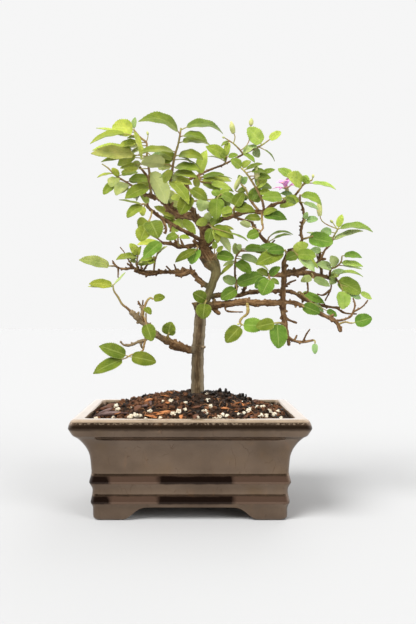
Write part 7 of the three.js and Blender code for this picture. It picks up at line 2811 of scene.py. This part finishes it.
@dataclass
class Flower:
    """The open flower: a stalk and cup, five sepals, five petals and the stamens.

    The sepals and the petals each have their first blade's turn in degrees, and then level,
    rise, reach and width in mm, as whorl takes them.
    """

    bench: Bench
    skeleton: Skeleton
    spot: tuple[float, float] = (287, 190)
    nearer: float = 3.0
    looking: tuple[float, float, float] = (-0.25, -0.28, 0.88)
    stalk_route: tuple = ((293, 196), (290, 195, -1), (287, 194, -2))
    sepal: tuple[float, ...] = (18, 0, 3.6, 9.2, 2.6)
    petal: tuple[float, ...] = (54, 1.4, 6.2, 5.6, 3)
    count: int = 5
    blade_stalk: float = 0.08
    broader: float = 1.05
    curl: float = 0.10
    stripe: float = 0.10
    thickness: float = 0.3
    filaments: int = 22
    draws: random.Random = field(default_factory=lambda: random.Random(8))

    def plan(self, obstacles: Obstacles) -> None:
        """Set up the flower's axis, and keep the leaves clear of its blades.

        Args:
            obstacles: What the leaves are bent clear of.
        """
        depth = self.skeleton.traced["right_riser"][-1][2] - self.nearer
        self.centre = EYE.place(np.array([*self.spot, depth]))
        self.axis = unit(np.array(self.looking))
        self.first = unit(np.array([1.0, 0, 0]) - self.axis * self.axis[0])
        self.second = np.cross(self.axis, self.first)
        self.sepals = self.whorl(*self.sepal)
        self.petals = self.whorl(*self.petal)
        for plan in self.sepals + self.petals:
            places, shares = plan.samples()
            obstacles.add("flower", places, 0.0, shares)
        route = [list(spot) for spot in self.stalk_route]
        self.stalk = self.skeleton.trace("flower_stalk", "right_riser", route)

    def on_axis(self, level: float) -> np.ndarray:
        """Return a place on the axis, measured from the cup's mouth."""
        return self.centre + self.axis * level

    def outward(self, degrees: float) -> np.ndarray:
        """Return a direction square to the axis."""
        angle = math.radians(degrees)
        return self.first * math.cos(angle) + self.second * math.sin(angle)

    def whorl(
        self, turn: float, level: float, rise: float, reach: float, width: float,
    ) -> list[BladePlan]:
        """Return a ring of blades round the axis.

        Args:
            turn: Where the first blade stands, in degrees.
            level: Where the blades' feet stand on the axis, in mm.
            rise: How far they climb along it, in mm.
            reach: How far out they go, in mm.
            width: Their width in mm.

        Returns:
            The blades' plans.
        """
        plans = []
        for k in range(self.count):
            out = self.outward(turn + 360 * k / self.count)
            base = self.on_axis(level)
            tip = base + out * reach + self.axis * rise
            plans.append(BladePlan(base, tip, self.axis, width, self.blade_stalk))
        return plans

    def blades(self, name: str, plans: list[BladePlan], petal: bool) -> bpy.types.Object:
        """Lay smooth-edged blades on plans and join them.

        Args:
            name: The joined blades' name.
            plans: Where each blade lies.
            petal: True for the fuller form of a petal.

        Returns:
            The blades as one object.
        """
        master = LeafMaster(self.bench, 8, notch=1.0, lean=0.5,
                            fullness=0.85 if petal else 0.7, early=1.2 if petal else 0.95)
        flat = master.model()
        parts = []
        for plan in plans:
            twin = self.bench.copy_of(flat)
            spots = self.bench.spots_of(twin)
            along = np.clip(spots[:, 0], 0, 1)
            shares = plan.stalk + (1 - plan.stalk) * along
            reach = spots[:, 1] * plan.width / 2 * self.broader
            curl = -self.curl * plan.length * along**3
            lift = curl + self.stripe * np.cos(spots[:, 1] * 9) * (along < 0.95)
            thin = self.thickness * (1 - 0.3 * np.abs(spots[:, 1])) / 2 * np.sign(spots[:, 2])
            places = plan.spot(shares, reach, lift + thin)
            self.bench.move_spots(twin, self.bench.to_frame(places))
            parts.append(twin)
        bpy.data.objects.remove(flat)
        return self.bench.join(name, parts)

    def build(self, finishes: dict[str, Any]) -> None:
        """Build and dress the flower's three pieces.

        Args:
            finishes: The tree's materials. The cup has the bud's.
        """
        foot = self.on_axis(-2.6)
        line = np.vstack([EYE.place(self.stalk.at(np.linspace(0, 1, 8))), foot])
        stalk = Run(line, np.linspace(0.62, 0.55, len(line)))
        levels = (-2.6, -2.2, -1.6, -0.9, -0.2, 0.4)
        cup = Run(np.array([self.on_axis(z) for z in levels]),
                  np.array([0.55, 0.9, 1.2, 1.4, 1.5, 1.35]))
        base = self.bench.sweep("flower_cup", [stalk, cup], 3)
        base.data.materials.append(finishes["bud"])
        sepals = self.blades("sepal_ring", self.sepals, petal=False)
        sepals.data.materials.append(PetalFinish(
            "sepal_blade", (0.62, 0.30, 0.16), (0.70, 0.26, 0.56), (0.66, 0.28, 0.60),
            (0.42, 0.33, 0.10)).dress())
        green = self.bench.join("flower_sepals_fine", [base, sepals])
        self.bench.deliver(green, "sepal", ("flower_sepals",), sharp=60)
        petals = self.blades("flower_petals_fine", self.petals, petal=True)
        petals.data.materials.append(PetalFinish(
            "petal_blade", (0.86, 0.48, 0.34), (0.80, 0.34, 0.74), (0.84, 0.44, 0.84),
            (0.80, 0.42, 0.80)).dress())
        self.bench.deliver(petals, "petal", ("flower_petals",), sharp=60)
        self.build_stamens()

    def build_stamens(self) -> None:
        """Build the boss with its filaments and their anthers."""
        boss = Run(np.array([self.on_axis(z) for z in (1.2, 2.2, 3.2, 4.0)]),
                   np.array([1.2, 1.15, 0.95, 0.7]))
        threads = [boss]
        anthers = []
        for k in range(self.filaments):
            out = self.outward(360 * k / self.filaments + self.draws.uniform(-8, 8))
            rise = self.draws.uniform(1.5, 2.9)
            spread = self.draws.uniform(0.7, 2.2)
            root = self.on_axis(3.4) + out * 0.45
            tip = root + self.axis * rise + out * spread
            bend = (root + tip) / 2 + self.axis * 0.35
            threads.append(Run(np.array([root, bend, tip]), np.array([0.13, 0.11, 0.10])))
            ends = np.array([tip - self.axis * 0.25, tip, tip + self.axis * 0.35])
            anthers.append(Run(ends, np.array([0.16, 0.30, 0.16])))
        stalks = self.bench.sweep("filaments", threads, 1)
        stalks.data.materials.append(CloudFinish(
            "filament", ((0.3, (0.72, 0.40, 0.42)), (0.7, (0.85, 0.60, 0.45))), 900.0, 0.6,
        ).dress())
        heads = self.bench.sweep("anthers", anthers, 1)
        heads.data.materials.append(CloudFinish(
            "anther", ((0.3, (0.80, 0.48, 0.16)), (0.7, (0.88, 0.66, 0.28))), 900.0, 0.7,
        ).dress())
        piece = self.bench.join("flower_stamens_fine", [stalks, heads])
        self.bench.deliver(piece, "stamen", ("flower_stamens",), sharp=60)


@dataclass
class Tree:
    """The whole tree: its wood, its leafy stems and its flower, planned in one order."""

    bench: Bench
    skeleton: Skeleton = field(default_factory=Skeleton)
    obstacles: Obstacles = field(default_factory=Obstacles)

    def plan(self) -> None:
        """Plan wood, flower, stems and leaves, then the finest leaves and spurs."""
        self.wood = Wood(self.bench, self.skeleton, self.obstacles)
        self.wood.plan()
        self.flower = Flower(self.bench, self.skeleton)
        self.flower.plan(self.obstacles)
        self.sprays = []
        for name, parent, start, end, route, leaves, buds in SPRAY_ROWS:
            rows = [LeafRow(*leaf) for leaf in leaves]
            self.sprays.append(Spray(name, parent, start, end, route, rows, buds))
        for spray in self.sprays:
            spray.plan_stem(self.skeleton, self.obstacles)
        bender = LeafBender(self.obstacles)
        for spray in self.sprays:
            spray.plan_leaves(bender, spray.leaves)
        self.wood.plan_spurs()
        near = LeafBender(self.obstacles, clearance=0.9, own_clearance=0.6)
        for spray in self.sprays:
            spray.plan_leaves(near, [LeafRow(*row) for row in FINE_LEAVES.get(spray.name, [])])
            for bud in FINE_BUDS.get(spray.name, []):
                spray.plan_bud(None, *bud)

    def build(self) -> None:
        """Build and dress every piece of the tree."""
        self.plan()
        self.wood.build()
        bud = CloudFinish("green_bud", ((0.3, (0.30, 0.34, 0.10)), (0.55, (0.48, 0.50, 0.18)),
                                        (0.8, (0.62, 0.50, 0.24))), 210.0, 0.5)
        finishes = {
            "leaf": LeafFinish().dress(), "stem": StemFinish().dress(), "bud": bud.dress()}
        self.flower.build(finishes)
        grower = Grower(self.bench)
        for spray in self.sprays:
            spray.build(self.bench, grower, finishes)
        grower.clear_masters()


@dataclass
class Studio:
    """A plain pale floor and soft white light."""

    bench: Bench
    floor_size: float = 12.0
    floor_shade: float = 0.475
    softness: float = 32.0
    dark_side: float = 0.08
    bright_side: float = 1.5
    even: float = 0.7
    backdrop: float = 0.92
    brightening: Pair = (-0.75, 0.35)
    lamps: tuple[tuple[str, tuple[float, float, float], float], ...] = (
        ("key", (-0.7, -0.7, 1.07), 3.9), ("fill", (0.9, -0.9, 0.6), 1.7),
        ("back", (0.3, 0.9, 0.77), 0.6))

    def floor(self) -> None:
        """Add the floor."""
        middle = (self.bench.centre_x, 0, 0)
        bpy.ops.mesh.primitive_plane_add(size=self.floor_size, location=middle)
        floor = bpy.context.object
        floor.name = "pale_floor"
        table = NodeTable("pale_floor")
        shade = (self.floor_shade,) * 3
        table.surface(Base_Color=shade, Roughness=1.0, Specular_IOR_Level=0.0)
        floor.data.materials.append(table.material)

    def lamp(self, name: str, way: tuple[float, float, float], strength: float) -> None:
        """Add one soft far lamp that stands this way from the tree.

        Args:
            name: The lamp's name.
            way: Where it stands, seen from the tree.
            strength: How bright it is.
        """
        bpy.ops.object.light_add(type="SUN", location=way)
        light = bpy.context.object
        light.name = name
        light.data.angle = math.radians(self.softness)
        light.data.energy = strength
        light.rotation_euler = Vector(way).to_track_quat("Z", "Y").to_euler()
        light.visible_glossy = False

    def room(self) -> None:
        """Set a bright room behind the tree that darkens toward the photographer."""
        world = bpy.data.worlds.new("white_room")
        world.use_nodes = True
        nodes = world.node_tree.nodes
        links = world.node_tree.links
        heading = nodes.new("ShaderNodeTexCoord")
        parts = nodes.new("ShaderNodeSeparateXYZ")
        links.new(heading.outputs["Generated"], parts.inputs[0])
        level = nodes.new("ShaderNodeMapRange")
        level.interpolation_type = "SMOOTHSTEP"
        levels = (*self.brightening, self.dark_side, self.bright_side)
        for slot, value in zip(level.inputs[1:5], levels):
            slot.default_value = value
        links.new(parts.outputs["Y"], level.inputs[0])
        ray = nodes.new("ShaderNodeLightPath")
        lit = nodes.new("ShaderNodeMix")
        links.new(ray.outputs["Is Glossy Ray"], lit.inputs[0])
        lit.inputs[2].default_value = self.even
        links.new(level.outputs[0], lit.inputs[3])
        seen = nodes.new("ShaderNodeMix")
        links.new(ray.outputs["Is Camera Ray"], seen.inputs[0])
        links.new(lit.outputs[0], seen.inputs[2])
        seen.inputs[3].default_value = self.backdrop
        links.new(seen.outputs[0], nodes["Background"].inputs["Strength"])
        nodes["Background"].inputs["Color"].default_value = (1, 1, 1, 1)
        bpy.context.scene.world = world

    def build(self) -> None:
        """Light the scene."""
        self.floor()
        self.room()
        for name, way, strength in self.lamps:
            self.lamp(name, way, strength)
        bpy.context.scene.view_settings.view_transform = "Standard"


def dress_screens(frame: dict[str, Any]) -> None:
    """Give the drain screens their dark mesh finish.
    """
    finish = CloudFinish("screen_mesh", ((0.3, (0.012, 0.012, 0.012)),
                                         (0.7, (0.03, 0.03, 0.03))), 300.0, 0.6)
    material = finish.dress()
    for name in ("drain_screen_left", "drain_screen_right"):
        screen = frame["nodes"][name]
        screen.data.materials.clear()
        screen.data.materials.append(material)


def main() -> None:
    """Build the pot, the soil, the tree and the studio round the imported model."""
    logging.basicConfig(level=logging.INFO, format="%(message)s")
    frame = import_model()
    bpy.ops.object.select_all(action="DESELECT")
    low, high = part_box("pot")
    bench = Bench(centre_x=(low[0] + high[0]) / 2)
    EYE.make_camera(bench)
    Studio(bench).build()
    Pot(bench).build()
    trunk_x = float(EYE.place(np.array([TRUNK_ROUTE[2][0], TRUNK_ROUTE[2][1], 0.0]))[0])
    Earth(bench, trunk_x).build()
    Tree(bench).build()
    dress_screens(frame)


if __name__ == "__main__":
    main()
